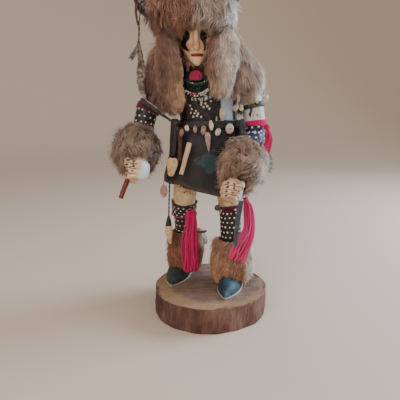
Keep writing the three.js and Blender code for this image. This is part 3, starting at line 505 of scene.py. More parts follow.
# ---------------------------------------------------------------- materials
class Mat:
    """A Principled material with helpers for its nodes. Positions are in mm."""

    def __init__(self, name, **sockets):
        self.m = bpy.data.materials.new(name)
        self.m.use_nodes = True
        self.t = self.m.node_tree
        self.t.nodes.clear()
        self.out = self.t.nodes.new("ShaderNodeOutputMaterial")
        self.b = self.t.nodes.new("ShaderNodeBsdfPrincipled")
        self.t.links.new(self.b.outputs[0], self.out.inputs[0])
        for k, x in sockets.items():
            self.b.inputs[k.replace("_", " ")].default_value = x
        self._pos = None

    def node(self, kind, ins=None, **props):
        n = self.t.nodes.new("ShaderNode" + kind)
        for k, x in props.items():
            setattr(n, k, x)
        for k, x in (ins or {}).items():
            self.put(n.inputs[k], x)
        return n

    def put(self, socket, x):
        if isinstance(x, bpy.types.NodeSocket):
            self.t.links.new(x, socket)
        elif x is not None:
            socket.default_value = x

    @property
    def pos(self):
        if self._pos is None:
            c = self.node("TexCoord")
            self._pos = self.node("VectorMath", {0: c.outputs["Object"], 3: 1000.0}, operation="SCALE").outputs[0]
        return self._pos

    def uv(self, name="strand"):
        return self.node("UVMap", uv_map=name).outputs[0]

    def attr(self, name, color=False):
        n = self.node("Attribute", attribute_name=name)
        return n.outputs["Color" if color else "Fac"]

    def noise(self, size, detail=3.0, vec=None, rough=0.55, warp=0.0, color=False):
        n = self.node("TexNoise", {"Vector": vec or self.pos, "Scale": 1.0 / size, "Detail": detail, "Roughness": rough, "Distortion": warp})
        return n.outputs["Color" if color else 0]

    def voronoi(self, size, vec=None, feature="F1", out=0, rand=1.0):
        n = self.node("TexVoronoi", {"Vector": vec or self.pos, "Scale": 1.0 / size, "Randomness": rand}, feature=feature)
        return n.outputs[out]

    def math(self, op, a, b=0.0, c=None, clamp=False):
        n = self.node("Math", {0: a, 1: b}, operation=op, use_clamp=clamp)
        if c is not None:
            self.put(n.inputs[2], c)
        return n.outputs[0]

    def xyz(self, vec):
        n = self.node("SeparateXYZ", {0: vec})
        return n.outputs[0], n.outputs[1], n.outputs[2]

    def vec(self, x=0.0, y=0.0, z=0.0):
        return self.node("CombineXYZ", {0: x, 1: y, 2: z}).outputs[0]

    def scale(self, v, s):
        return self.node("VectorMath", {0: v, 1: s}, operation="MULTIPLY").outputs[0]

    def ramp(self, fac, stops, mode="LINEAR"):
        n = self.node("ValToRGB", {0: fac})
        e = n.color_ramp.elements
        n.color_ramp.interpolation = mode
        while len(e) > len(stops):
            e.remove(e[-1])
        while len(e) < len(stops):
            e.new(1.0)
        for k, (p, c) in zip(e, stops):
            k.position = p
            k.color = c if np.ndim(c) else (c, c, c, 1)
        return n.outputs[0]

    def mix(self, fac, a, b, mode="MIX"):
        n = self.node("Mix", data_type="RGBA", blend_type=mode)
        self.put(n.inputs[0], fac)
        self.put(n.inputs[6], a)
        self.put(n.inputs[7], b)
        return n.outputs[2]

    def map(self, x, a, b, c=0.0, d=1.0, smooth=False):
        n = self.node("MapRange", {0: x, 1: a, 2: b, 3: c, 4: d}, interpolation_type="SMOOTHSTEP" if smooth else "LINEAR")
        return n.outputs[0]

    def bump(self, height, mm=0.3, strength=0.6, normal=None):
        n = self.node("Bump", {"Height": height, "Distance": mm * MM, "Strength": strength})
        if normal is not None:
            self.put(n.inputs["Normal"], normal)
        return n.outputs[0]

    def done(self, color=None, rough=None, normal=None, metal=None):
        if color is not None:
            self.put(self.b.inputs["Base Color"], color)
        if rough is not None:
            self.put(self.b.inputs["Roughness"], rough)
        if normal is not None:
            self.put(self.b.inputs["Normal"], normal)
        return self.m


def m_fur(name, root, mid, tip, mottle=0.25):
    """Hair: a tone along each hair, a shade per hair and soft mottling, over the tone stored on the piece."""
    k = Mat(name, Roughness=0.62)
    k.b.inputs["Specular IOR Level"].default_value = 0.28
    k.b.inputs["Sheen Weight"].default_value = 0.25
    k.b.inputs["Sheen Roughness"].default_value = 0.5
    k.b.inputs["Sheen Tint"].default_value = (1.0, 0.93, 0.85, 1)
    along, rnd, tone = k.attr("along"), k.attr("rnd"), k.attr("tone", True)
    band = k.ramp(along, [(0.0, root), (0.35, mid), (0.72, tip), (1.0, tuple(0.86 * x for x in tip[:3]) + (1,))])
    patch = k.map(k.noise(9.0, 3.0), 0.3, 0.7, 1 - mottle, 1 + mottle)
    shade = k.math("MULTIPLY", patch, k.map(rnd, 0.0, 1.0, 0.74, 1.26))
    c = k.mix(1.0, tone, band, "MULTIPLY")
    c = k.mix(1.0, c, k.node("CombineColor", {0: shade, 1: shade, 2: k.math("MULTIPLY", shade, k.map(rnd, 0, 1, 1.04, 0.94))}).outputs[0], "MULTIPLY")
    return k.done(c)


def m_hide(name):
    """The skin under the hair: the same tone, darker, with a fine hairy streak."""
    k = Mat(name, Roughness=0.9)
    p = k.scale(k.pos, (1.0, 1.0, 0.22))
    n = k.noise(1.1, 4.0, p)
    c = k.mix(1.0, k.attr("tone", True), k.ramp(n, [(0.3, 0.30), (0.7, 0.72)]), "MULTIPLY")
    return k.done(c, normal=k.bump(n, 0.8, 0.8))


def m_leather(name, dark, light, rough=0.5, grain=0.9, sheen=0.0):
    """Worn leather: pores, creases and paler rubbed edges."""
    k = Mat(name)
    cell = k.voronoi(grain, feature="DISTANCE_TO_EDGE")
    crease = k.noise(7.0, 5.0, rough=0.65, warp=0.8)
    wear = k.map(k.math("ADD", k.math("MULTIPLY", k.attr("edge"), 0.55), k.map(crease, 0.52, 0.78)), 0.15, 1.1)
    c = k.mix(wear, dark, light)
    c = k.mix(k.map(k.noise(1.6, 3.0), 0.45, 0.75, 0.0, 0.5), c, light)
    r = k.map(k.noise(5.0, 3.0), 0.3, 0.7, rough - 0.1, rough + 0.14)
    h = k.math("ADD", k.math("MULTIPLY", k.map(cell, 0.0, 0.22), 0.45), k.math("MULTIPLY", crease, 0.9))
    k.b.inputs["Sheen Weight"].default_value = sheen
    return k.done(c, r, k.bump(h, 0.32, 0.6))


def m_yarn(name, dark, light):
    """Two-ply yarn: twist grooves along the strand and loose fluff."""
    k = Mat(name, Roughness=0.85)
    k.b.inputs["Sheen Weight"].default_value = 0.5
    k.b.inputs["Sheen Roughness"].default_value = 0.4
    k.b.inputs["Sheen Tint"].default_value = (1.0, 0.35, 0.5, 1)
    u, v, _ = k.xyz(k.uv())
    ply = k.math("SINE", k.math("MULTIPLY", k.math("ADD", k.math("MULTIPLY", u, 2.0), k.math("DIVIDE", v, 2.3)), 2 * math.pi))
    f = k.noise(0.5, 3.0)
    h = k.math("ADD", k.math("MULTIPLY", ply, 0.5), k.math("MULTIPLY", f, 0.7))
    # colour follows the twist: painted shade in the grooves between the plies, mixed with the fluff's own variation
    c = k.mix(k.map(h, -0.35, 0.95), dark, light)
    c = k.mix(k.map(k.attr("rnd"), 0, 1, 0.0, 0.35), c, dark)
    return k.done(c, normal=k.bump(h, 0.45, 0.85))


def m_shell(name):
    """Polished shell: growth bands and a warm stain, over the tone stored on the piece."""
    k = Mat(name)
    k.b.inputs["Coat Weight"].default_value = 0.35
    k.b.inputs["Coat Roughness"].default_value = 0.25
    w = k.noise(3.5, 4.0, warp=1.2)
    x, y, z = k.xyz(k.pos)
    band = k.math("SINE", k.math("MULTIPLY", k.math("ADD", z, k.math("MULTIPLY", w, 4.0)), 3.4))
    c = k.mix(k.map(band, -1, 1, 0.0, 0.32), k.attr("tone", True), rgba(226, 208, 192))
    c = k.mix(k.map(w, 0.45, 0.72, 0.0, 0.75), c, rgba(116, 78, 66))
    return k.done(c, k.map(w, 0.3, 0.7, 0.26, 0.5), k.bump(k.math("ADD", band, k.math("MULTIPLY", w, 2.0)), 0.12, 0.5))


def m_beads(name, rough=0.22):
    """Glass seed beads, each with its own tone."""
    k = Mat(name)
    k.b.inputs["Coat Weight"].default_value = 0.5
    n = k.noise(1.3, 3.0)
    c = k.mix(k.map(n, 0.35, 0.75, 0.0, 0.45), k.attr("tone", True), k.mix(1.0, k.attr("tone", True), (0.5, 0.5, 0.5, 1), "MULTIPLY"))
    return k.done(c, k.map(k.noise(4.0), 0.3, 0.7, rough, rough + 0.25), k.bump(n, 0.1, 0.4))


def m_dots(name="paint_dot", tones_=((150, 140, 132), (228, 220, 208), (244, 238, 228))):
    """Raised dots of chalk-white paint, thumbed and a little grey."""
    k = Mat(name, Roughness=0.55)
    n = k.noise(0.9, 4.0)
    c = k.ramp(n, [(f, rgba(*t)) for f, t in zip((0.25, 0.5, 0.8), tones_)])
    return k.done(c, normal=k.bump(n, 0.2, 0.6))


def m_body(name, base="white"):
    """Painted cottonwood. Painted areas come from distances in mm stored on the piece, positive inside."""
    k = Mat(name)
    grain = k.noise(2.2, 5.0, k.scale(k.pos, (1.0, 1.0, 0.12)), rough=0.6)
    stain = k.noise(16.0, 4.0, rough=0.6, warp=0.6)
    fine = k.noise(0.8, 3.0)
    # the white and arm stops are tinted blue-grey: painted cool window light on the white paint
    stops = [(0.28, rgba(172, 130, 100)), (0.5, rgba(218, 184, 152)), (0.75, rgba(238, 216, 192))] if base == "hand" else [(0.28, rgba(184, 134, 104)), (0.5, rgba(226, 182, 148)), (0.75, rgba(238, 202, 172))] if base == "face" else [(0.28, rgba(150, 174, 212)), (0.5, rgba(190, 214, 246)), (0.75, rgba(216, 236, 255))] if base == "white" else [(0.28, rgba(172, 160, 152)), (0.5, rgba(204, 201, 202)), (0.75, rgba(224, 228, 236))] if base == "arm" else [(0.28, rgba(172, 134, 92)), (0.5, rgba(220, 192, 150)), (0.75, rgba(236, 216, 184))]
    cream = k.ramp(stain, stops)
    cream = k.mix(k.map(grain, 0.52, 0.78, 0.0, 0.55), cream, rgba(168, 128, 92) if base not in ("white", "arm") else rgba(150, 132, 120))
    if base == "leg":
        spots = k.voronoi(5.4, k.node("VectorMath", {0: k.pos, 1: k.scale(k.noise(6.0, 2.0, color=True), (5.0, 5.0, 5.0))}, operation="ADD").outputs[0])
        cream = k.mix(k.math("MULTIPLY", k.map(spots, 0.2, 0.38, 1.0, 0.0, True), k.map(k.noise(9.0, 2.0), 0.42, 0.55)), cream, rgba(116, 70, 40))
    wob = k.math("MULTIPLY", k.math("SUBTRACT", k.noise(2.6, 4.0), 0.5), 1.3)

    def area(attr, edge=0.16):
        return k.map(k.math("ADD", k.attr(attr), wob), -edge, edge)

    worn = k.map(k.math("ADD", k.noise(3.0, 5.0, rough=0.7), k.math("MULTIPLY", k.noise(14.0), 0.3)), 0.76, 0.84, 0.0, 0.8)
    black = k.mix(k.map(fine, 0.4, 0.7), rgba(20, 16, 20), rgba(46, 38, 42))
    black = k.mix(worn, black, rgba(104, 84, 70))
    slate = k.mix(k.map(stain, 0.35, 0.65), rgba(20, 27, 48), rgba(42, 58, 92))
    brown = k.mix(fine, rgba(58, 28, 20), rgba(98, 56, 40))
    red = k.mix(k.map(fine, 0.35, 0.7), rgba(112, 16, 10), rgba(156, 36, 22))
    c = cream
    names = {"white": ["p_black", "p_red", "p_brown"], "face": ["p_black", "p_red", "p_brown"], "leg": ["p_black"], "arm": ["p_black", "p_slate", "p_brown"], "hand": ["p_pale", "p_brown"]}[base]
    # the pale blue-white tone on the fists is a painted highlight from the window side
    tones = {"p_black": black, "p_red": red, "p_brown": brown, "p_slate": slate, "p_pale": k.mix(fine, rgba(196, 206, 216), rgba(226, 232, 238))}
    for n in names:
        c = k.mix(area(n, {"p_brown": 0.3, "p_pale": 2.6}.get(n, 0.16)), c, tones[n])
    r = k.map(stain, 0.3, 0.7, 0.42, 0.62)
    h = k.math("ADD", k.math("MULTIPLY", grain, 0.9), k.math("MULTIPLY", fine, 0.5))
    return k.done(c, r, k.bump(h, 0.22, 0.5))


def m_bark():
    """The side of the slice: torn bark and sapwood in upright patches, placed by noise."""
    k = Mat("bark")
    p = k.pos
    patch = k.noise(26.0, 3.0, k.scale(p, (1.0, 1.0, 0.35)), rough=0.55)
    tone = k.ramp(patch, [(0.34, rgba(72, 46, 44)), (0.46, rgba(100, 68, 60)), (0.56, rgba(122, 84, 72)), (0.7, rgba(138, 110, 98))])
    streak = k.noise(3.2, 6.0, k.scale(p, (1.0, 1.0, 0.16)), rough=0.68)
    flake = k.noise(8.0, 5.0, k.scale(p, (1.0, 1.0, 0.42)), rough=0.7, warp=0.9)
    c = k.mix(k.map(streak, 0.42, 0.7, 0.0, 0.85), tone, k.mix(0.5, tone, rgba(50, 28, 24), "MULTIPLY"))
    c = k.mix(k.map(flake, 0.55, 0.7, 0.0, 0.55), c, rgba(160, 122, 102))
    c = k.mix(k.map(flake, 0.4, 0.28, 0.0, 0.8), c, rgba(56, 32, 28))
    # cracks and the notch are painted darker by their depth: painted shade
    c = k.mix(k.map(k.attr("deep"), 0.2, 1.0), c, rgba(40, 24, 20))
    h = k.math("ADD", k.math("MULTIPLY", streak, 1.1), flake)
    return k.done(c, k.map(streak, 0.3, 0.7, 0.62, 0.88), k.bump(h, 1.6, 0.8))


def m_sawn():
    """The sawn face: rings off the centre, saw marks across them and grey weathering."""
    k = Mat("sawn_face")
    p = k.pos
    x, y, z = k.xyz(p)
    warp = k.math("MULTIPLY", k.math("SUBTRACT", k.noise(34.0, 3.0), 0.5), 16.0)
    dx, dy = k.math("SUBTRACT", x, 9.0), k.math("SUBTRACT", y, 12.0)
    r = k.math("ADD", k.math("SQRT", k.math("ADD", k.math("MULTIPLY", dx, dx), k.math("MULTIPLY", dy, dy))), warp)
    ring = k.math("SINE", k.math("MULTIPLY", k.math("ADD", r, k.math("MULTIPLY", k.noise(60.0, 1.0, k.vec(r, 0.0, 0.0)), 6.0)), 2.35))
    saw = k.noise(2.4, 4.0, k.scale(p, (0.08, 1.0, 0.1)), rough=0.6)
    blot = k.noise(22.0, 5.0, rough=0.6)
    c = k.ramp(blot, [(0.3, rgba(88, 70, 64)), (0.5, rgba(120, 99, 90)), (0.72, rgba(146, 126, 114))])
    c = k.mix(k.map(ring, 0.2, 1.0, 0.0, 0.34), c, rgba(98, 70, 50))
    c = k.mix(k.map(saw, 0.5, 0.75, 0.0, 0.4), c, rgba(190, 164, 132))
    c = k.mix(k.map(r, 66.0, 76.0, 0.0, 0.55), c, rgba(176, 142, 104))
    # the crack is painted darker by its depth: painted shade
    c = k.mix(k.map(k.attr("deep"), 0.15, 0.9), c, rgba(48, 30, 24))
    h = k.math("ADD", k.math("MULTIPLY", ring, 0.18), saw)
    return k.done(c, k.map(blot, 0.3, 0.7, 0.55, 0.8), k.bump(h, 0.35, 0.55))


def m_horn():
    k = Mat("horn")
    u, v, _ = k.xyz(k.uv())
    s = k.noise(2.0, 5.0, k.scale(k.uv(), (14.0, 0.12, 1.0)), rough=0.65)
    ring = k.math("SINE", k.math("MULTIPLY", k.math("ADD", v, k.math("MULTIPLY", k.noise(8.0), 5.0)), 1.3))
    c = k.ramp(s, [(0.3, rgba(20, 13, 14)), (0.55, rgba(58, 34, 38)), (0.8, rgba(112, 78, 74))])
    c = k.mix(k.map(ring, 0.3, 1.0, 0.0, 0.3), c, rgba(24, 16, 16))
    k.b.inputs["Coat Weight"].default_value = 0.3
    return k.done(c, k.map(s, 0.3, 0.7, 0.28, 0.5), k.bump(k.math("ADD", s, k.math("MULTIPLY", ring, 0.3)), 0.4, 0.6))


def m_felt(name, dark, light):
    k = Mat(name, Roughness=0.95)
    k.b.inputs["Sheen Weight"].default_value = 0.6
    k.b.inputs["Sheen Tint"].default_value = (1.0, 0.5, 0.6, 1)
    n = k.noise(0.7, 5.0, rough=0.7)
    fold = k.noise(5.0, 3.0, k.scale(k.pos, (1.6, 1.0, 0.4)))
    c = k.mix(k.map(n, 0.3, 0.75), dark, light)
    # darker where the fold noise is high: painted shade in the folds
    c = k.mix(k.map(fold, 0.5, 0.75, 0.0, 0.6), c, dark)
    return k.done(c, normal=k.bump(k.math("ADD", n, fold), 0.5, 0.8))


def m_feather(name, dark, light):
    """Barbs slant off the shaft; the vane is barred."""
    k = Mat(name, Roughness=0.7)
    k.b.inputs["Sheen Weight"].default_value = 0.3
    u, v, _ = k.xyz(k.uv())
    x, y, z = k.xyz(k.pos)
    side = k.attr("side")
    barb = k.math("SINE", k.math("MULTIPLY", k.math("ADD", z, k.math("MULTIPLY", k.math("ABSOLUTE", side), 5.0)), 9.0))
    bar = k.noise(7.0, 3.0, k.scale(k.pos, (0.5, 0.5, 1.4)))
    c = k.mix(k.map(bar, 0.42, 0.6), dark, light)
    c = k.mix(k.map(barb, 0.0, 1.0, 0.0, 0.35), c, dark)
    return k.done(c, normal=k.bump(barb, 0.25, 0.7))


def m_bone(name, light, dark):
    k = Mat(name)
    n = k.noise(3.0, 5.0, k.scale(k.pos, (1.0, 1.0, 0.35)), rough=0.65)
    pit = k.voronoi(1.5)
    c = k.mix(k.map(n, 0.4, 0.75), light, dark)
    c = k.mix(k.map(pit, 0.12, 0.0, 0.0, 0.7), c, dark)
    # the drilled eye and the groove are painted darker by depth: painted shade in the hollows
    c = k.mix(k.map(k.attr("deep"), 0.1, 0.9), c, rgba(60, 38, 26))
    k.b.inputs["Coat Weight"].default_value = 0.15
    return k.done(c, k.map(n, 0.3, 0.7, 0.35, 0.55), k.bump(k.math("SUBTRACT", n, k.math("MULTIPLY", k.map(pit, 0.15, 0.0), 0.6)), 0.3, 0.6))


def m_wood(name, light, dark, rough=0.6):
    k = Mat(name)
    g = k.noise(1.5, 5.0, k.scale(k.pos, (1.0, 1.0, 0.1)), rough=0.65)
    b = k.noise(7.0, 3.0)
    c = k.mix(k.map(g, 0.38, 0.72), light, dark)
    c = k.mix(k.map(b, 0.55, 0.75, 0.0, 0.4), c, dark)
    return k.done(c, k.map(g, 0.3, 0.7, rough - 0.1, rough + 0.15), k.bump(g, 0.35, 0.6))


def m_metal(name, dark, light):
    k = Mat(name, Metallic=0.75)
    n = k.noise(2.0, 5.0, rough=0.7)
    c = k.mix(k.map(n, 0.35, 0.7), dark, light)
    return k.done(c, k.map(n, 0.3, 0.7, 0.35, 0.7), k.bump(n, 0.15, 0.6))


def m_shoe(name, dark, light, sheen_col):
    """Dyed leather shoe: soft creases whose troughs are painted darker as shade, broad patches of painted sheen, and a
    pale sole edge.
    """
    k = Mat(name)
    crease = k.noise(6.0, 5.0, k.scale(k.pos, (0.6, 1.3, 1.0)), rough=0.62, warp=0.5)
    cell = k.voronoi(0.8, feature="DISTANCE_TO_EDGE")
    c = k.mix(k.map(crease, 0.35, 0.72), dark, light)
    # broad noise patches of painted sheen over the leather
    c = k.mix(k.map(k.noise(11.0, 2.0), 0.45, 0.65, 0.0, 0.75), c, sheen_col)
    c = k.mix(k.map(k.attr("sole"), 0.45, 0.55), c, k.mix(k.noise(2.0, 4.0), rgba(214, 206, 196), rgba(176, 166, 152)))
    k.b.inputs["Coat Weight"].default_value = 0.1
    k.b.inputs["Coat Roughness"].default_value = 0.5
    h = k.math("ADD", crease, k.math("MULTIPLY", k.map(cell, 0.0, 0.2), 0.4))
    return k.done(c, k.map(crease, 0.3, 0.7, 0.48, 0.66), k.bump(h, 0.4, 0.6))


def m_kilt():
    """The kilt: near-black leather flecked with grey dust, with painted shade and painted sheen following its creases,
    a faded teal patch of paint and a few dark dots on it.
    """
    k = Mat("kilt_leather_m")
    crease = k.noise(12.0, 6.0, k.scale(k.pos, (1.0, 1.0, 0.7)), rough=0.62, warp=0.9)
    fine = k.noise(1.2, 4.0)
    cell = k.voronoi(1.0, feature="DISTANCE_TO_EDGE")
    # colour follows the crease relief: painted shade in the troughs, painted sheen on the crests
    c = k.ramp(crease, [(0.3, rgba(9, 8, 14)), (0.52, rgba(19, 15, 22)), (0.72, rgba(46, 38, 44))])
    c = k.mix(k.map(fine, 0.55, 0.8, 0.0, 0.5), c, rgba(54, 47, 53))
    c = k.mix(k.map(k.attr("edge"), 0.1, 1.0, 0.0, 0.6), c, rgba(88, 70, 58))
    wob = k.math("MULTIPLY", k.math("SUBTRACT", k.noise(4.0, 4.0), 0.5), 5.0)
    teal = k.mix(k.map(fine, 0.35, 0.7), rgba(24, 56, 66), rgba(40, 84, 92))
    c = k.mix(k.math("MULTIPLY", k.map(k.math("ADD", k.attr("p_teal"), wob), -1.2, 1.2), k.map(crease, 0.25, 0.6, 0.95, 0.6)), c, teal)
    c = k.mix(k.map(k.attr("p_line"), -0.4, 0.4, 0.0, 0.55), c, rgba(120, 116, 108))
    c = k.mix(k.map(k.attr("p_mark"), -0.4, 0.4), c, rgba(12, 10, 14))
    k.b.inputs["Coat Weight"].default_value = 0.12
    k.b.inputs["Coat Roughness"].default_value = 0.45
    h = k.math("ADD", k.math("MULTIPLY", crease, 1.4), k.math("MULTIPLY", k.map(cell, 0.0, 0.2), 0.3))
    return k.done(c, k.map(crease, 0.3, 0.7, 0.42, 0.62), k.bump(h, 0.7, 0.6))


LEATHER_BLACK = m_leather("leather_black_m", rgba(22, 19, 24), rgba(78, 68, 66), 0.45)
LEATHER_BROWN = m_leather("leather_brown_m", rgba(52, 32, 30), rgba(124, 88, 70), 0.55)
LEATHER_SLATE = m_leather("leather_slate_m", rgba(54, 64, 74), rgba(112, 124, 132), 0.5)
LEATHER_OLIVE = m_leather("leather_olive_m", rgba(30, 44, 40), rgba(88, 100, 78), 0.5)
LEATHER_DARKBLUE = m_leather("leather_blue_m", rgba(20, 26, 38), rgba(70, 82, 98), 0.42)
CORD_BROWN = m_leather("cord_brown_m", rgba(70, 48, 40), rgba(138, 108, 90), 0.7, 0.6)
YARN = m_yarn("yarn_crimson_m", rgba(150, 2, 58), rgba(244, 30, 124))
# a brighter copy of the crimson yarn for the tassel on the window side: painted light
YARN_PAINTED_LIT = m_yarn("yarn_pink_m", rgba(196, 8, 84), rgba(255, 96, 170))
YARN_DARK = m_yarn("yarn_wine_m", rgba(60, 12, 32), rgba(120, 34, 62))
FELT = m_felt("felt_crimson_m", rgba(128, 16, 58), rgba(206, 44, 110))
SHELL = m_shell("shell_m")
BEADS = m_beads("beads_m")
DOTS = m_dots()
# a blue-white copy of the dot paint for the arm on the window side: painted cool light
DOTS_PAINTED_COOL_LIGHT = m_dots("paint_dot_cool", ((160, 172, 190), (222, 234, 250), (240, 246, 255)))
HORN = m_horn()
BONE = m_bone("bone_m", rgba(222, 190, 150), rgba(160, 110, 70))
WOOD_PALE = m_wood("wood_pale_m", rgba(226, 194, 164), rgba(172, 130, 104))
WOOD_RED = m_wood("wood_red_m", rgba(128, 40, 38), rgba(58, 16, 18), 0.5)
METAL_OLIVE = m_metal("bell_m", rgba(48, 48, 34), rgba(126, 122, 88))
FEATHER_BROWN = m_feather("feather_brown_m", rgba(78, 60, 50), rgba(150, 128, 110))
FEATHER_GREY = m_feather("feather_grey_m", rgba(104, 88, 78), rgba(206, 192, 182))
FEATHER_BLUE = m_feather("feather_blue_m", rgba(160, 174, 190), rgba(232, 240, 248))
HIDE = m_hide("hide_m")


# ---------------------------------------------------------------- the figure's own tables, mm, as in the CAD
SOLE_Z = 36.3
TORSO = [
    [177.5, -5, 14, 26, 16], [182, -5, 14, 38, 22], [206, -5, 14, 44, 27], [240, -3.5, 12.5, 42, 25.5], [270, -3, 12, 39, 23.5], [286, -4, 12, 40, 24],
    [300, -6, 12, 45, 25], [313, -9, 12, 53, 25], [323, -11, 12, 53, 22.5], [331, -12, 11.5, 42, 18.5], [336, -13, 11, 28, 15],
]
NECK = [[-13, 10, 326, 16, 15], [-16, 6, 340, 14, 14], [-19, 3, 356, 14, 15]]
HEAD = [
    [339.5, -18.5, -19, 2.5, 2.5], [343, -18.8, -17, 6, 6.5], [348, -19, -9, 10.5, 14.5], [354, -19.3, -3, 15, 20], [362, -19.6, 0, 19, 23.5],
    [372, -20, 2, 22.5, 26], [384, -20.5, 3, 24, 27], [396, -21, 4, 23, 25.5], [405, -21.5, 5, 18, 20], [411, -22, 5, 9, 10],
]
ARM_R = [[-56, 12, 316, 16, 16], [-71, 11, 307, 15, 15], [-84.5, 8, 290, 14.5, 14.5], [-90.5, 4, 270, 14, 14], [-92.5, 2, 258, 13.5, 13.5],
         [-94, -16, 240, 12.5, 12.5], [-95.5, -34, 224, 11, 11], [-96, -44, 215, 10, 10]]
ARM_L = [[38, 12, 318, 17, 17], [50, 12, 308, 15.5, 15.5], [57, 11, 290, 14.5, 14.5], [60, 8, 266, 14, 14], [60, 5, 250, 13.5, 13.5],
         [50, -18, 230, 12.5, 12.5], [38, -42, 209, 11, 11], [31, -54, 198, 10, 10]]
LEG_R = [[-27, 17, 205, 19, 19], [-34, 21, 188, 18, 18], [-37.5, 26, 165, 16.8, 16.8], [-38.5, 31, 140, 15.5, 15.5], [-38.5, 35, 112, 14.5, 14.5], [-40, 39, 82, 13, 13], [-42, 42, 56, 13.5, 13.5], [-42.5, 43, 48, 12.5, 12.5]]
LEG_L = [[14, 12, 205, 19, 19], [22, 9, 188, 17.5, 17.5], [26, 7.5, 165, 16, 16], [28.5, 6, 140, 15.2, 15.2], [29.5, 5, 112, 14.5, 14.5], [31, 5, 82, 13, 13], [32, 6, 56, 13.5, 13.5], [32.5, 7, 48, 12.5, 12.5]]
KILT = [
    [273.2, -3, 12, 41.3, 25.8], [262, -3, 12, 43.2, 27.4], [245, -5, 12, 47.5, 30], [222, -8, 12, 52, 32.5], [198, -10.5, 12, 55.5, 34.5], [160, -12.5, 12, 58, 36.5],
]
arm_r, arm_l, leg_r, leg_l = Limb(ARM_R), Limb(ARM_L), Limb(LEG_R), Limb(LEG_L)

# ---------------------------------------------------------------- cords first
# thong hung from the right horn: a slip knot, two plies down to the feathers
HTHONG = [[-92.8, -7.6, 414.6], [-94, -9, 408], [-93.6, -9.2, 399], [-91.6, -9.2, 390], [-91.8, -9.2, 380], [-92.4, -9.2, 370], [-92.8, -9.2, 352], [-93, -9.2, 341]]
ht = even(HTHONG, 30)
ht_t = tangents(ht)
ht_n = unit(np.cross(ht_t, arr([0, 1, 0])))
ht_b = np.cross(ht_t, ht_n)
s = np.linspace(0, 1, len(ht))


def ply(phase, spread):
    tw = 2 * math.pi * 5.2 * s + phase
    w = spread(s)[:, None]
    return ht + w * (np.cos(tw)[:, None] * ht_n + 0.75 * np.sin(tw)[:, None] * ht_b)


horn_thong = cat([tube(ply(a, lambda x: 0.55 + 0 * x), 0.72, 8, 90) for a in (0.0, math.pi)])
paint(horn_thong, edge=0.2)
# the loop that goes round the horn stands as two open strands above the twist
loop_a = tube([[-93.2, -8.4, 391], [-94.6, -8.6, 399], [-95.8, -7.6, 408], [-95.2, -6.6, 414], [-91.6, -7, 417], [-88.8, -7, 413], [-89.6, -8, 406], [-90.6, -8.6, 398], [-91.2, -8.6, 391]], 0.7, 8, 60)
paint(loop_a, edge=0.25)
thong_loop = piece("horn_thong_loop", loop_a, CORD_BROWN)
cord_a = piece("horn_thong_cord", horn_thong, CORD_BROWN, ["horn_thong"])
ht_len = float(run(ht)[-1]) * MM
# thong from under the kilt
KTHONG = [[-57.2, -1, 188], [-57.8, -1.6, 176], [-58.4, -2.6, 160], [-58.8, -3.4, 147], [-59, -3.8, 141.4]]
kt = even(KTHONG, 24)
kt_t = tangents(kt)
kt_n = unit(np.cross(kt_t, arr([0, 1, 0])))
kt_b = np.cross(kt_t, kt_n)
kts = np.linspace(0, 1, len(kt))
plies = []
for a in (0.0, math.pi):
    tw = 2 * math.pi * 4.0 * kts + a
    plies.append(tube(kt + 0.48 * (np.cos(tw)[:, None] * kt_n + np.sin(tw)[:, None] * kt_b), 0.66, 8, 60))
kilt_thong = paint(cat(plies), edge=0.1)
cord_b = piece("kilt_thong_cord", kilt_thong, LEATHER_BLACK, ["kilt_thong"])
kt_len = float(run(kt)[-1]) * MM
# leather strip held in the left hand
STRIP = [[35.2, -73, 180], [34.4, -72.6, 172], [32.6, -70.8, 158], [31, -69.4, 144], [30, -68, 130], [30.2, -67.4, 119]]
st = even(STRIP, 28)
strip = strap(st, [1, 0.05, 0], lambda f: lerp(6.2, 5.0, f) - (1.5 * sstep(f, 0.93, 1.0)), 1.25, 60, 9, bow=-0.5)
strip["v"] += np.stack([0.35 * vnoise(strip["v"], 14, 3), 0.5 * vnoise(strip["v"], 11, 4), np.zeros(len(strip["v"]))], 1)
cord_c = piece("hand_strap_cord", strip, LEATHER_SLATE, ["hand_strap_left"])
st_len = float(run(st)[-1]) * MM

# ---------------------------------------------------------------- torso and neck
def torso_mesh():
    r = stack_rings(TORSO, 104, 7, 0, 2.25)
    r[..., 0] = r[..., 0]
    m = rings(r)
    m["v"] += normals(m) * (0.35 * vnoise(m["v"], 11, 2) + 0.12 * vnoise(m["v"], 3.2, 5))[:, None]
    return m


torso = torso_mesh()
neck = Limb(NECK, per=8).skin(48)
x, y, z = torso["v"].T
# the bib is black left of the tie; the side towards the figure's left stays white
torso["a"]["p_black"] = np.where(z < 232, 5, np.minimum(8.5 - x + 0.17 * (z - 290), 200) + np.where(y > 14, 60, 0))
for k in ("p_red", "p_brown"):
    torso["a"][k] = np.full(len(x), -5.0)
# the neck is painted dark brown all round: painted shade under the head
neck["a"] = {"p_black": np.full(len(neck["v"]), -5.0), "p_red": np.full(len(neck["v"]), -5.0), "p_brown": np.full(len(neck["v"]), 5.0)}
M_BODY = m_body("painted_wood_m", "white")
M_FACE = m_body("painted_face_m", "face")
M_ARM = m_body("painted_arm_m", "arm")
M_LEG = m_body("painted_leg_m", "leg")
M_HAND = m_body("painted_hand_m", "hand")
piece("figure_torso", cat([torso, neck]), M_BODY, ["figure_carved"])
torso_s = Surface(torso)

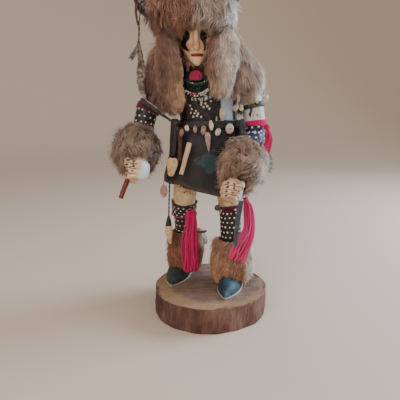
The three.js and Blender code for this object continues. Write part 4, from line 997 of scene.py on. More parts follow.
# ---------------------------------------------------------------- head: one carved block, long nose, painted eyes
NOSE = [[-20.2, -23.9, 391, 2.4, 2.6], [-20, -25.6, 386, 2.9, 3.1], [-19.8, -26.3, 376, 3.2, 3.7], [-19.5, -26.3, 368, 3.7, 4.2], [-19.4, -25.6, 363.8, 4.1, 4.0], [-19.4, -24.0, 360.8, 3.6, 3.0]]
head = cat([rings(stack_rings(HEAD, 96, 8, 0, 2.1)), Limb(NOSE, per=6).skin(28, 1.0, 1.6)])
head["v"] = np.array(head["v"])
mouth = oval([-18.8, -19.6, 354.1], [8.6, 5.0, 2.5], 32, 18)
mouth["v"][:, 2] = 354.3 + (mouth["v"][:, 2] - 354.3) * np.clip(1 - ((mouth["v"][:, 0] + 19.0) / 7.6) ** 2, 0.08, 1) ** 0.6
head = cat([head, mouth])
head = remesh(head, 1.08, 3)
head["v"][:, 2] += 1.9 * sstep(350 - head["v"][:, 2], 0, 9)
hx, hy, hz = head["v"].T
front = hy < -6


def in_oval(cx, cz, rx, rz, rot=0.0):
    """Distance in mm, positive inside an oval in the front plane."""
    c, s_ = math.cos(rot), math.sin(rot)
    a, b = (hx - cx) * c + (hz - cz) * s_, -(hx - cx) * s_ + (hz - cz) * c
    k = np.sqrt((a / rx) ** 2 + (b / rz) ** 2)
    return (1 - k) * min(rx, rz)


def stroke(points, w):
    """Distance in mm, positive inside a brush stroke through points x, z, half width."""
    p = spline(points, 14)
    d = np.full(len(hx), -99.0)
    for a in p:
        d = np.maximum(d, a[2] - np.hypot(hx - a[0], hz - a[1]))
    return d


eye_a = np.maximum(in_oval(-34.2, 376.2, 6.6, 6.8, 0.1), stroke([[-32.0, 374, 3.4], [-36.0, 368.2, 3.2], [-33.6, 362.6, 2.0], [-29.2, 358.8, 0.7]], 0))
eye_b = np.maximum(in_oval(-10.4, 376.2, 4.6, 6.2, -0.1), stroke([[-11.6, 374.5, 2.6], [-8.6, 368.9, 2.7], [-7.4, 362.4, 1.8], [-9.6, 359.6, 0.7]], 0))
head["a"]["p_black"] = np.where(front, np.maximum(eye_a, eye_b), -5)
mouth_d = 1 - ((np.abs(hx + 18.7) / 7.7) ** 4 + (np.abs(hz - 353.9) / 2.0) ** 4) ** 0.25
head["a"]["p_red"] = np.where(front, mouth_d * 2.4, -5)
# knife work: sockets sink a little, cheeks and brow are left proud, a cut parts the lips
sink = sstep(head["a"]["p_black"], -2.5, 1.5) * 0.9
cut_ = np.exp(-((hz - 354.3 - 0.15 * np.cos((hx + 19) * 0.4)) / 0.42) ** 2) * (np.abs(hx + 19) < 6.4) * front
crease = np.where(front, np.exp(-((hz - 357.2) / 0.8) ** 2) * np.exp(-((hx + 19.2) / 5) ** 2), 0)
hn = normals(head)
head["v"] += hn * (-sink - 0.75 * cut_ - 0.3 * crease + 0.16 * vnoise(head["v"], 6, 3) + 0.07 * vnoise(head["v"], 2, 8))[:, None]
line = stroke([[-13.9, 388, 0.45], [-13.7, 384, 0.4], [-13.8, 380, 0.3]], 0)
# a faint brown line down the left side of the nose: painted shade of the nose
nose_shade_line = np.where(front, np.exp(-((hx + 24.2) / 0.6) ** 2) * sstep(hz, 360, 364) * (1 - sstep(hz, 383, 388)), 0)
head["a"]["p_brown"] = np.where(front, np.maximum(-1.0 + 0.9 * nose_shade_line, stroke([[-23.6, 383, 0.1], [-23.4, 372, 0.2], [-23.8, 362, 0.1]], 0) - 0.05), -5)
piece("figure_head", head, M_FACE, ["figure_carved"])

# ---------------------------------------------------------------- arms and legs
def limb_piece(name, limb, mat, fields, sides=40, steps=70, wob=0.25):
    m = limb.skin(sides, 4, 3, steps)
    v = m["v"]
    m["v"] = v + normals(m) * (wob * vnoise(v, 9, 4) + 0.1 * vnoise(v, 2.6, 6))[:, None]
    for k, f in fields.items():
        m["a"][k] = f(v)
    piece(name, m, mat, ["figure_carved"])
    return m


def none(v):
    return np.full(len(v), -5.0)


limb_piece("figure_arm_right", arm_r, M_ARM, {"p_black": lambda v: np.full(len(v), 5.0), "p_slate": none, "p_brown": none})


def streaks(v):
    """Two black brush marks down the front of the white upper arm."""
    d = np.full(len(v), -5.0)
    for (x0, z0, x1, z1, w) in [(53.2, 289.5, 52.4, 278.2, 1.6), (57.8, 285.6, 56.0, 276.6, 0.9), (50.0, 281.6, 55.4, 275.8, 1.0), (61.0, 281.5, 61.4, 278.5, 0.8)]:
        a, b = arr([x0, z0]), arr([x1, z1])
        p = v[:, [0, 2]]
        f = np.clip(((p - a) @ (b - a)) / ((b - a) @ (b - a)), 0, 1)
        d = np.maximum(d, w * (1 - 0.5 * f) - np.linalg.norm(p - a - f[:, None] * (b - a), axis=1))
    return np.where(v[:, 1] < 6, d, -5)


limb_piece("figure_arm_left", arm_l, M_ARM, {"p_black": lambda v: np.maximum(streaks(v), 267 - v[:, 2]), "p_slate": lambda v: 266 - v[:, 2] - 2 + 3 * vnoise(v, 8, 9), "p_brown": none})
limb_piece("figure_leg_right", leg_r, M_LEG, {"p_black": lambda v: 146 - v[:, 2]})
limb_piece("figure_leg_left", leg_l, M_LEG, {"p_black": lambda v: 152 - v[:, 2]})

# ---------------------------------------------------------------- fists
def fist(size, c, along, across, plain=99):
    c = arr(c)
    t = unit(arr(along))
    u = unit(arr(across) - t * (arr(across) @ t))
    o = unit(np.cross(t, u))
    if o[1] > 0:
        o = -o

    def at(a, b, e):
        return c + t * a * size + u * b * size + o * e * size

    def seg(rows, sides=18, per=8):
        p = [[*at(a, b, e), r * size, r2 * size] for a, b, e, r, r2 in rows]
        return Limb(p, ref=t, per=per).skin(sides, 2.2, 2.2)

    parts = [seg([(-14, 0, 0, 6.2, 5.2), (-10, 0, 0, 9.6, 7.6), (-4, 0, -0.6, 12.2, 8.6), (3, 0, -0.8, 12.0, 8.4), (9, 0, -0.8, 10.8, 7.6), (12.6, 0, -0.4, 7.6, 5.6)], 28)]
    parts[0] = Limb([[*at(a, b, e), r * size, r2 * size] for a, b, e, r, r2 in [(-14, 0, 0, 6.4, 5.4), (-10, 0, 0, 9.8, 7.6), (-4, 0, -0.6, 12.2, 8.8), (3, 0, -0.8, 12.0, 8.6), (9, 0, -0.8, 10.8, 7.8), (12.6, 0, -0.4, 7.8, 5.8)]], ref=u, per=8).skin(36, 2.4, 2.4)
    for k, (a, w) in enumerate([(-4.6, 0.94), (0.9, 1.0), (6.3, 0.96), (11.2, 0.82)]):
        r = 2.95 * w
        parts.append(seg([(a - 0.6, -11.4 * w, -2, r, r), (a - 0.3, -11.9 * w, 3.2, r, r), (a, -8.4 * w, 7.9, r, r), (a + 0.2, -2.0, 9.6, r, r), (a + 0.3, 4.4, 8.6, r * 0.96, r * 0.96), (a + 0.2, 8.2 * w, 5.4, r * 0.8, r * 0.8)]))
    parts.append(seg([(-11, 8.6, 1.5, 3.6, 3.6), (-7.2, 9.6, 6.4, 3.7, 3.7), (-2.4, 8.4, 9.9, 3.5, 3.5), (2.6, 5.2, 11.4, 3.0, 3.0), (5.0, 3.4, 11.2, 2.3, 2.3)]))
    m = remesh(cat(parts), 0.78, 3)
    rel = (m["v"] - c) / size
    a, b, e = rel @ t, rel @ u, rel @ o
    crease = np.full(len(a), -5.0)
    for k in (-1.9, 3.6, 8.8):
        wob = k + 0.25 * np.sin(b * 0.9)
        crease = np.maximum(crease, np.where((e > 2.2) & (np.abs(b) < 11.5) & (b > -plain), 0.42 - np.abs(a - wob), -5))
    for cc, bb, rr in [(-4.6, -6.8, 1.4), (0.9, -6.4, 1.5), (6.3, -6.2, 1.4), (11.2, -5.4, 1.2), (-4.6, 0.4, 1.1), (0.9, 1.4, 1.3), (6.3, 1.0, 1.1)]:
        bb = bb if plain > 90 else -bb * 0.9 + 1.4
        crease = np.maximum(crease, np.where(e > 3, rr - np.hypot(a - cc, (b - bb) * 0.75), -5))
    thumb = np.where((e > 8), 0.4 - np.abs(np.hypot(a + 1.5, (b - 6.2)) - 5.2), -5)
    m["a"]["p_brown"] = np.maximum(crease, thumb) * size
    return m


hand_r = fist(1.19, [-93.6, -51, 214.6], [-0.16, -0.5, -0.85], [-0.95, 0.1, -0.05], 3.4)
hand_l = fist(1.04, [25.5, -62, 190.5], [-0.25, -0.45, -0.85], [0.97, -0.15, -0.18])
# the side of each fist towards the window light is given a blue-white painted highlight
hand_r["a"]["p_pale"] = (hand_r["v"][:, 0] + 89.5) - 0.34 * (hand_r["v"][:, 2] - 212) + 1.6 * vnoise(hand_r["v"], 9, 4)
hand_l["a"]["p_pale"] = np.minimum((hand_l["v"][:, 0] - 35.0) - 0.5 * (hand_l["v"][:, 2] - 190), 190 - hand_l["v"][:, 2]) + 1.2 * vnoise(hand_l["v"], 7, 4)


def relax(m, w, n):
    """Evens out relief where w is 1; w is a weight for each vertex."""
    v, e = m["v"], np.concatenate([m["q"][:, [a, (a + 1) % 4]] for a in range(4)])
    cnt = np.maximum(np.bincount(e.ravel(), minlength=len(v)), 1)[:, None]
    for _ in range(n):
        t = np.stack([np.bincount(e[:, 0], v[e[:, 1], a], len(v)) + np.bincount(e[:, 1], v[e[:, 0], a], len(v)) for a in range(3)], 1)
        v = v + w[:, None] * (t / cnt - v) * 0.8
    m["v"] = v


relax(hand_r, sstep(hand_r["a"]["p_pale"], -3, 4), 44)
piece("figure_hand_right", hand_r, M_HAND, ["figure_carved"])
piece("figure_hand_left", hand_l, M_HAND, ["figure_carved"])

# ---------------------------------------------------------------- shoes
SHOE = [[0, 5, 16], [0.06, 11, 24], [0.2, 15, 30], [0.4, 17.2, 28], [0.58, 17, 23], [0.74, 14, 18.5], [0.87, 8.8, 13.5], [0.96, 3.6, 8.5], [1, 1, 5.5]]


def shoe(heel, toe):
    heel, toe = arr([*heel, SOLE_Z]), arr([*toe, SOLE_Z])
    d = toe - heel
    ln = np.linalg.norm(d)
    d = d / ln
    side = arr([-d[1], d[0], 0])
    p = spline(SHOE, 9)
    p[:, 0] = np.clip(p[:, 0], 0, 1)
    th = np.linspace(0, math.pi, 33)
    out, sole = [], []
    for s_, w, h in p:
        c = heel + d * s_ * ln
        w, h = max(w, 0.8), max(h, 4.2)
        prof = [(-1.03, 0.0), (-1.03, 1.9), (-1.0, 2.4)]
        top = [(-math.cos(a) * (0.985 - 0.10 * math.sin(a) ** 2), 2.6 + (h - 2.6) * math.sin(a) ** 0.92) for a in th]
        prof += top + [(1.0, 2.4), (1.03, 1.9), (1.03, 0.0)]
        out.append([c + side * u * w + arr([0, 0, v]) for u, v in prof])
    m = rings(out)
    n = len(out[0])
    solef = np.zeros(n)
    solef[:3] = 1
    solef[-3:] = 1
    m["a"]["sole"] = np.concatenate([np.tile(solef, len(out)), [1, 1]])
    nn = normals(m)
    up = (m["v"][:, 2] > SOLE_Z + 3.5)
    m["v"] += nn * (up * (0.4 * vnoise(m["v"] * [1, 1.2, 1], 9, 12) + 0.2 * vnoise(m["v"], 4, 3)))[:, None]
    return m


shoe_r = shoe([-39.5, 66], [-57, -11])
shoe_l = shoe([38.5, 31], [19, -51])
piece("shoe_right", shoe_r, m_shoe("shoe_green_m", rgba(20, 26, 26), rgba(52, 66, 62), rgba(30, 58, 58)), ["figure_carved"])
piece("shoe_left", shoe_l, m_shoe("shoe_teal_m", rgba(20, 34, 48), rgba(48, 84, 104), rgba(38, 96, 116)), ["figure_carved"])


# ---------------------------------------------------------------- raised dots
def dome(c, n, r, h):
    n = unit(n)
    a = unit(np.cross(n, arr([0.3, 0.2, 0.93])))
    b = np.cross(n, a)
    th = np.linspace(0, 2 * math.pi, 9, endpoint=False)
    ring = []
    for k, e in ((1.0, -0.25), (0.95, 0.3 * h), (0.5, h)):
        ring.append(c + n * e + r * k * (np.cos(th)[:, None] * a + np.sin(th)[:, None] * b))
    return rings(ring)


def limb_dots(limb, rows, th0, around, r, seed, keep=None, jitter=0.10):
    """Rows of dots round a limb; every second row is set over by half a step."""
    g = np.random.default_rng(seed)
    out = []
    for i, s_ in enumerate(rows):
        for j in range(around):
            th = th0 + 2 * math.pi * (j + 0.5 * (i % 2)) / around + g.normal(0, jitter * 0.6 * 2 * math.pi / around)
            ss = s_ + g.normal(0, jitter * 2.2 / limb.length)
            p, n = limb.at(ss, th), limb.normal(ss, th)
            if keep is None or keep(p):
                out.append(dome(p, n, r * g.uniform(0.82, 1.15), 0.55))
    return cat(out)


def rows_between(limb, a, b, step):
    k = max(2, int(round(abs(b - a) * limb.length / step)))
    return np.linspace(a, b, k)


sA = arm_r.where(2, 284)
sB = arm_r.where(2, 262)
dots = [limb_dots(arm_r, rows_between(arm_r, sA, sB, 5.2), 0.2, 12, 1.35, 3)]
sA, sB = arm_l.where(2, 263.4), arm_l.where(2, 242)
piece("painted_dots_arm_left", limb_dots(arm_l, rows_between(arm_l, sA, sB, 5.6), 0.1, 10, 1.6, 4), DOTS_PAINTED_COOL_LIGHT)
dots.append(limb_dots(leg_l, rows_between(leg_l, leg_l.where(2, 145), leg_l.where(2, 104), 5.2), 0.25, 15, 1.45, 5))
dots.append(limb_dots(leg_r, rows_between(leg_r, leg_r.where(2, 129), leg_r.where(2, 104), 5.3), 0.1, 15, 1.4, 6))
g = np.random.default_rng(11)
CHEST = [(-22.6, 301.2), (-15.6, 301.2), (-8.5, 300.2), (-0.8, 298.5), (-20.1, 297.0), (-13.0, 296.8), (-7.9, 295.4), (-13.7, 293.6), (-5.3, 292.0), (-10.4, 290.6), (-2.6, 288.8),
         (-27.8, 292.9), (-25.9, 288.5), (-20.1, 286.0), (-22.1, 283.0), (-17.5, 282.4), (-18.8, 279.6), (-27.0, 283.6), (-23.6, 278.6), (-13.4, 278.4)]
for cx, cz in CHEST:
    c, n = torso_s.ray([cx, -60, cz], [0, 1, 0])
    dots.append(dome(c, n, 1.65 * g.uniform(0.9, 1.1), 0.6))
for k in range(26):
    cx, cz = -34 + 9.2 * (k % 9) + 4.6 * ((k // 9) % 2), 296 - 7.0 * (k // 9)
    c, n = torso_s.ray([cx, 90, cz], [0, -1, 0])
    if c is not None:
        dots.append(dome(c, n, 1.15 * g.uniform(0.85, 1.12), 0.6))
piece("painted_dots", cat(dots), DOTS)


# ---------------------------------------------------------------- fur
def sample(m, count, weight, g):
    """Random points on a mesh, more where weight says, with smooth normals."""
    t = tri_of(m)
    v, n = m["v"], normals(m)
    a, b, c = v[t[:, 0]], v[t[:, 1]], v[t[:, 2]]
    size = np.linalg.norm(np.cross(b - a, c - a), axis=1)
    mid = (a + b + c) / 3
    fn = unit(np.cross(b - a, c - a))
    size = size * np.maximum(weight(mid, fn), 0)
    cum = np.cumsum(size)
    pick = np.searchsorted(cum, (np.arange(count) + g.random(count)) / count * cum[-1]).clip(0, len(t) - 1)
    g.shuffle(pick)
    r1, r2 = np.sqrt(g.random(count)), g.random(count)
    w = np.stack([1 - r1, r1 * (1 - r2), r1 * r2], 1)
    p = (v[t[pick]] * w[..., None]).sum(1)
    return p, unit((n[t[pick]] * w[..., None]).sum(1))


def fur(name, base, count, length, comb, lift, tone, width=0.5, seed=1, weight=None, clump=9, hold=0.55, bend=0.5, swirl=0.5, droop=0.15, stray=0.04, sink=1.2):
    """Hairs on a mesh: each a closed three-sided blade, bent once, drawn into locks."""
    g = np.random.default_rng(seed)
    p, n = sample(base, count, weight or (lambda a, b: np.ones(len(a))), g)
    c = comb(p, n)
    c = unit(c - n * np.einsum("ij,ij->i", c, n)[:, None] + 1e-6)
    ang = swirl * 1.5 * vnoise(p, 17, seed) + swirl * 0.8 * vnoise(p, 7, seed + 1) + g.normal(0, 0.2, count)
    side = np.cross(n, c)
    c = c * np.cos(ang)[:, None] + side * np.sin(ang)[:, None]
    up = lift(p) if callable(lift) else np.full(count, float(lift))
    up = up + 0.22 * vnoise(p, 11, seed + 2) + g.normal(0, 0.13, count)
    far = g.random(count) < stray
    up = up + far * g.uniform(0.2, 0.6, count)
    guides = g.choice(count, max(4, count // clump), replace=False)
    kd = kdtree.KDTree(len(guides))
    for i, k in enumerate(guides):
        kd.insert(p[k], i)
    kd.balance()
    lock = np.array([kd.find(x)[1] for x in p])
    near = guides[lock]
    lock_r = g.random(len(guides))[lock]
    ln = length(p) * g.uniform(0.72, 1.18, count) * (1 + 0.16 * vnoise(p, 13, seed + 3)) * (0.84 + 0.34 * lock_r)
    d0 = n * np.sin(up)[:, None] + c * np.cos(up)[:, None]
    d1 = unit(n * np.sin(up - bend)[:, None] + c * np.cos(up - bend)[:, None] + arr([0, 0, -droop]))
    p1 = p + d0 * (ln * 0.46)[:, None]
    p2 = p1 + d1 * (ln * 0.56)[:, None]
    # locks: hairs lean to the nearest guide hair
    h = (hold * g.uniform(0.55, 1.0, count) * (~far))[:, None]
    p2 = p2 + (p2[near] - p2) * h
    p1 = p1 + (p1[near] - p1) * h * 0.42
    p0 = p - n * sink
    t0, t1 = unit(p1 - p0), unit(p2 - p1)

    def ring(c0, t, r):
        s_ = unit(np.cross(t, n) + 1e-6)
        u_ = np.cross(s_, t)
        return [c0 + r[:, None] * (math.cos(a) * u_ + math.sin(a) * s_) for a in (0.0, 2.094, 4.189)]

    w = width * g.uniform(0.75, 1.2, count)
    r0, r1 = ring(p0, t0, w * 0.5), ring(p1, unit(t0 + t1), w * 0.52)
    v = np.stack([*r0, *r1, p2], 1)
    k = (np.arange(count) * 7)[:, None]
    q = np.stack([k + [0, 1, 4, 3], k + [1, 2, 5, 4], k + [2, 0, 3, 5]], 1).reshape(-1, 4)
    t = np.stack([k + [3, 4, 6], k + [4, 5, 6], k + [5, 3, 6], k + [0, 2, 1]], 1).reshape(-1, 3)
    # each hair has its own cell of the piece's map
    cols = int(math.ceil(math.sqrt(count * 3.2)))
    lines = int(math.ceil(count / cols))
    ci, cj = np.arange(count) % cols, np.arange(count) // cols
    lu = arr([0.5, 0.14, 0.86, 0.5, 0.14, 0.86, 0.5])
    lv = arr([0.12, 0.12, 0.12, 0.5, 0.5, 0.5, 0.92])
    uu = (ci[:, None] + lu) / cols
    vv = (cj[:, None] + lv) / lines
    uv = np.stack([uu, vv], -1)
    uvq = uv[:, [[0, 1, 4, 3], [1, 2, 5, 4], [2, 0, 3, 5]]].reshape(-1, 4, 2)
    uvt = uv[:, [[3, 4, 6], [4, 5, 6], [5, 3, 6], [0, 2, 1]]].reshape(-1, 3, 2)
    uvt = uvt.reshape(count, 4, 3, 2).copy()
    uvt[:, 3, 0] = np.stack([(ci + 0.5) / cols, (cj + 0.02) / lines], -1)
    uvt = uvt.reshape(-1, 3, 2)
    tn = tone(p + 2.2 * g.normal(0, 1, (count, 3)), g.random(count)) * (0.76 + 0.5 * g.random(len(guides))[lock])[:, None]
    m = mesh(v.reshape(-1, 3), q, t, uvq, uvt, along=np.tile([0.0, 0, 0, 0.46, 0.46, 0.46, 1.0], count), rnd=np.repeat(g.random(count), 7), tone=np.repeat(tn, 7, axis=0))
    blend_n = np.stack([*[x - p0 for x in r0], *[x - p1 for x in r1], u0(t1, n) * 0.3], 1)
    blend_n = unit(unit(blend_n) + 0.45 * n[:, None])
    m["n"] = blend_n.reshape(-1, 3)
    return m


def u0(t, n):
    s_ = unit(np.cross(t, n) + 1e-6)
    return np.cross(s_, t)


def fur_piece(name, m, mat, replaces=()):
    ob = piece(name, m, mat, replaces, uv="OFBake")
    ob.data.normals_split_custom_set_from_vertices([tuple(x) for x in m["n"]])
    return ob


def down(p, n):
    return np.tile(arr([0, 0, -1.0]), (len(p), 1))


def tones(stops):
    return [lin(*c) for c in stops]


RED_BROWN, TAN, DARK, GREY, WHITE, BLONDE, UMBER, RUSSET, RUST_DARK = tones([(152, 114, 100), (204, 174, 148), (94, 70, 64), (178, 166, 160), (240, 238, 234), (224, 200, 168), (134, 106, 92), (192, 136, 106), (140, 90, 72)])


def blend(fields):
    """Mixes tones by weights; fields is a list of (weight, tone)."""
    w = np.stack(np.broadcast_arrays(*[np.maximum(f, 1e-4) for f, _ in fields]), 1)
    w = w / w.sum(1, keepdims=True)
    return w @ np.stack([t for _, t in fields])


def bump2(p, cx, cz, rx, rz, k=1.0):
    return k * np.exp(-(((p[:, 0] - cx) / rx) ** 2 + ((p[:, 2] - cz) / rz) ** 2))


def hat_tone(p, rnd):
    x, y, z = p.T
    frontw = sstep(-y, -20, 10)
    n1, n2 = fbm(p, 22, 3), fbm(p, 9, 7)
    right = sstep(x + 3 * n2, -24, -19)
    grey = frontw * (bump2(p, -10, 402, 12, 22, 2.6)) * right
    # the whitish hair towards the window edge (x above 8) is a painted highlight
    white = frontw * bump2(p, -9, 407, 4.5, 11, 2.4) * right + sstep(x, 8, 26) * (1.2 + n1) * 2.6
    # the dark patch at x -80 beside the right horn's base is painted shade under the horn
    dark = 0.75 * sstep(n1, 0.05, 0.45) + bump2(p, -80, 405, 14, 12, 1.6) + frontw * bump2(p, 14, 412, 12, 9, 1.0)
    red = 0.9 + 0.5 * sstep(n2, 0, 0.5) * (1 - right)
    tan = 0.5 * sstep(n2, 0.1, 0.6) + 0.5 * right
    return blend([(red * (1 - 0.72 * right), RED_BROWN), (grey, GREY), (white, WHITE), (dark, DARK), (tan, TAN), (0.55 * right, UMBER), (0.9 * right, GREY)])


def fall_r_tone(p, rnd):
    x, y, z = p.T
    n1, n2 = fbm(p, 18, 4), fbm(p * [1, 1, 0.5], 8, 8)
    inner = bump2(p, -40, 325, 9, 60, 1.8) + bump2(p, -47, 312, 14, 22, 0.9)
    return blend([(0.95 + 0.3 * n1, RED_BROWN), (inner + 0.5 * sstep(n2, 0.1, 0.5), TAN), (0.75 * sstep(n1, 0.1, 0.5) + bump2(p, -62, 330, 9, 22, 0.7) + bump2(p, -60, 376, 12, 14, 0.5), DARK), (bump2(p, -45, 372, 10, 16, 1.0), GREY * 0.72), (bump2(p, -40, 300, 10, 12, 0.8), BLONDE)])


def fall_l_tone(p, rnd):
    x, y, z = p.T
    n1, n2 = fbm(p, 16, 5), fbm(p * [1, 1, 0.4], 6, 9)
    # the pale streak and the grey outer edge are painted highlight from the window side
    pale = np.exp(-((x - 18.5 - 0.02 * (z - 340)) / 8.0) ** 2) * sstep(z, 285, 300) * 5.0
    edge = sstep(x, 24, 29) * 3.0
    return blend([(1.25 + 0.3 * n1, RED_BROWN * 1.02), (pale * (0.8 + 0.6 * n2), WHITE * 0.92), (edge, GREY * 1.1), (0.6 * sstep(n1, 0.1, 0.5), DARK), (bump2(p, 10, 316, 10, 16, 1.8), BLONDE), (1.3 * sstep(326 - z, 0, 22) * sstep(x, 6, 16), WHITE * 0.95), (0.4, UMBER)])


def cape_tone(p, rnd):
    x, y, z = p.T
    n1, n2 = fbm(p, 24, 6), fbm(p, 9, 10)
    # rim: white hair along the window edge, a painted rim highlight
    rim = sstep(x, 56, 66) * (0.6 + sstep(z, 280, 330)) * 3.0
    greyish = sstep(x, 22, 34) * 1.3 + bump2(p, 48, 340, 18, 26, 1.2) + 0.3 * sstep(n2, 0.1, 0.5)
    tan = bump2(p, 46, 305, 18, 16, 1.4) + 0.5 * sstep(n2, 0.2, 0.6)
    dark = 0.8 * sstep(n1, 0.1, 0.5) + bump2(p, -72, 330, 12, 16, 1.1) + bump2(p, -84, 303, 10, 6, 3.0) + bump2(p, 40, 322, 10, 9, 0.8)
    return blend([(1.0, RED_BROWN * 0.95), (greyish, GREY * 1.06), (rim, WHITE), (tan, TAN), (dark, DARK), (0.4, UMBER)])


def cuff_r_tone(p, rnd):
    x, y, z = p.T
    n1, n2 = fbm(p, 14, 7), fbm(p, 6, 11)
    low = sstep(238 - z, 0, 24)
    return blend([(0.7, UMBER * 1.18), (1.1 + 0.6 * n2, GREY * 0.9), (0.5 + 0.9 * sstep(n1, 0.1, 0.5) + low * 0.5 + 1.3 * sstep(-x, 106, 120), DARK), (0.9 + 0.5 * sstep(n2, 0.1, 0.4), TAN * 0.95), (0.5 * low, RED_BROWN)])


def cuff_l_tone(p, rnd):
    x, y, z = p.T
    n1, n2 = fbm(p, 14, 8), fbm(p, 6, 12)
    # rim: white hair on the window side, a painted rim highlight
    rim = sstep(x - 0.25 * (z - 220), 53, 62) * 2.6
    return blend([(1.0, UMBER * 1.15), (0.45 + 0.5 * n2 + 0.4 * sstep(z, 225, 245), GREY * 0.88), (0.3 + 0.7 * sstep(n1, 0.15, 0.5), DARK), (1.1 + 0.4 * sstep(n2, 0.1, 0.4), TAN * 0.95), (bump2(p, 30, 208, 10, 12, 2.0) + 0.3, RED_BROWN * 1.15), (rim, WHITE)])


def boot_r_tone(p, rnd):
    x, y, z = p.T
    n1, n2 = fbm(p, 12, 9), fbm(p, 5, 13)
    return blend([(1.2, RUSSET * 0.9), (0.5 + 0.9 * sstep(n1, 0.1, 0.5), RUST_DARK), (sstep(x, -22, -12) * 2.2, TAN * 1.05), (0.3 + 0.3 * n2, RED_BROWN), (bump2(p, -55, 98, 10, 14, 0.7), DARK)])


def boot_l_tone(p, rnd):
    x, y, z = p.T
    n1, n2 = fbm(p, 12, 10), fbm(p, 5, 14)
    low = sstep(78 - z, 0, 20)
    # the blue-white hair where x is above 46 is a painted highlight from the window
    return blend([(1.0 + low, RUSSET * 1.06), (0.25 + 0.6 * sstep(n1, 0.15, 0.5) + 0.5 * low * sstep(n2, 0, 0.5), RUST_DARK), (sstep(z, 80, 100) * 1.2, UMBER * 1.25), (sstep(x, 46, 54) * 9.0, np.minimum(WHITE * [1.02, 1.08, 1.12], 1.0)), (0.8, TAN)])


BANDS = {
    "soft": ((0.42, 0.38, 0.36, 1), (0.86, 0.84, 0.82, 1), (1.16, 1.14, 1.1, 1)),
    "dark": ((0.36, 0.32, 0.30, 1), (1.0, 0.98, 0.95, 1), (0.92, 0.88, 0.84, 1)),
}
FUR_SOFT = m_fur("fur_soft_m", *BANDS["soft"])
FUR_TICK = m_fur("fur_ticked_m", *BANDS["dark"])


def skin_of(node, voxel=2.4, smooth=7, push=-3.0, tone=None):
    m = remesh(cad(node), voxel, smooth)
    m["v"] = m["v"] + normals(m) * push
    m["v"] += normals(m) * (0.6 * vnoise(m["v"], 8, 5))[:, None]
    if tone is not None:
        m["a"]["tone"] = tone(m["v"], None)
    return m


def out_of(cx, cy, k=-0.1):
    def w(p, n):
        r = unit(np.stack([p[:, 0] - cx, p[:, 1] - cy, np.zeros(len(p))], 1))
        return (np.einsum("ij,ij->i", r, n) > k).astype(float)
    return w


Q = 1.0
# hat
hat = skin_of("hat_fur", 3.6, 7, -3.4, hat_tone)
hat["v"][:, 0] -= 5.0 * sstep(hat["v"][:, 0], -2, 20)
hat["v"][:, 0] += 7.5 * sstep(-hat["v"][:, 0], 46, 66) * (1 - sstep(hat["v"][:, 2], 392, 418))


def hat_comb(p, n):
    r = p - arr([-25, 8, 0])
    r[:, 2] = 0
    return unit(unit(r) * 0.5 + arr([0, 0, -0.9]))


def hat_w(p, n):
    inside = (np.hypot((p[:, 0] + 21) / 26, (p[:, 1] - 3) / 28.5) < 1) & (p[:, 2] < 410)
    return np.where(inside, 0, 1) * np.where(n[:, 2] < -0.8, 0.5, 1) * np.where(p[:, 1] > 20, 0.8, 1.1)


hat_m = fur("hat", hat, int(12500 * Q), lambda p: np.where(p[:, 2] < 392, 16.0, 19.0) - 6.0 * ((np.abs(p[:, 0] + 23) < 27) & (p[:, 1] < -14) & (p[:, 2] < 394)) - 6.5 * sstep(p[:, 0], 14, 28) + 3.0 * ((np.abs(p[:, 0] + 22) > 30) & (p[:, 2] < 390)), hat_comb, lambda p: 0.62 - 0.32 * (p[:, 2] < 392), hat_tone, 0.62, 21, hat_w, clump=10, swirl=0.8)
piece("hat_skin", hat, HIDE, ["hat_fur"])
fur_piece("hat_hair", hat_m, FUR_SOFT, ["hat_fur"])

# the two falls beside the face
def squeeze(m, sign, x0, keep, z0, cut):
    """Draws the side next to the face back by up to keep mm, and the tip up by cut mm."""
    x, y, z = m["v"].T
    kk = np.interp(z, *keep)
    m["v"][:, 0] -= sign * kk * sstep(sign * (x - x0), 0, 12)
    m["v"][:, 2] += cut * sstep(z0 - z, 0, 40)
    return m


fr, fl = skin_of("hair_fall_right", 2.8, 6, -2.6, fall_r_tone), skin_of("hair_fall_left", 2.8, 6, -2.6, fall_l_tone)
fr = squeeze(fr, 1, -56, ([300, 318, 336, 350, 362, 380], [3.5, 3.5, 1.0, 1.5, 5.0, 8.0]), 290, 0.0)
fr = squeeze(fr, -1, -62, ([290, 320, 345, 362, 390], [1.5, 3.0, 5.5, 6.5, 5.0]), 290, 0.0)
fl = squeeze(fl, -1, 14, ([300, 330], [0.0, 0.5]), 322, 18.0)
fl["v"][:, 0] -= 3.4 * sstep(352 - fl["v"][:, 2], 0, 34)


def fall_len(sign, x0, tip):
    def f(p):
        inner = sstep(sign * (p[:, 0] - x0), 0, 9) * sstep(p[:, 2], 312, 326)
        tip_in = sstep(p[:, 0], -50, -44) * sstep(304 - p[:, 2], 0, 8) * (sign > 0)
        return 17.0 - 11.0 * tip_in - 11.5 * inner - 7.5 * (1 - sstep(p[:, 2], tip, tip + 26))
    return f


def fall_w(sign, x0):
    def f(p, n):
        inner = (sign * n[:, 0] > 0.35) & (p[:, 2] > 322)
        return np.where(n[:, 1] > 0.7, 0.35, 1.0) * np.where(inner, 0.55, 1.0)
    return f


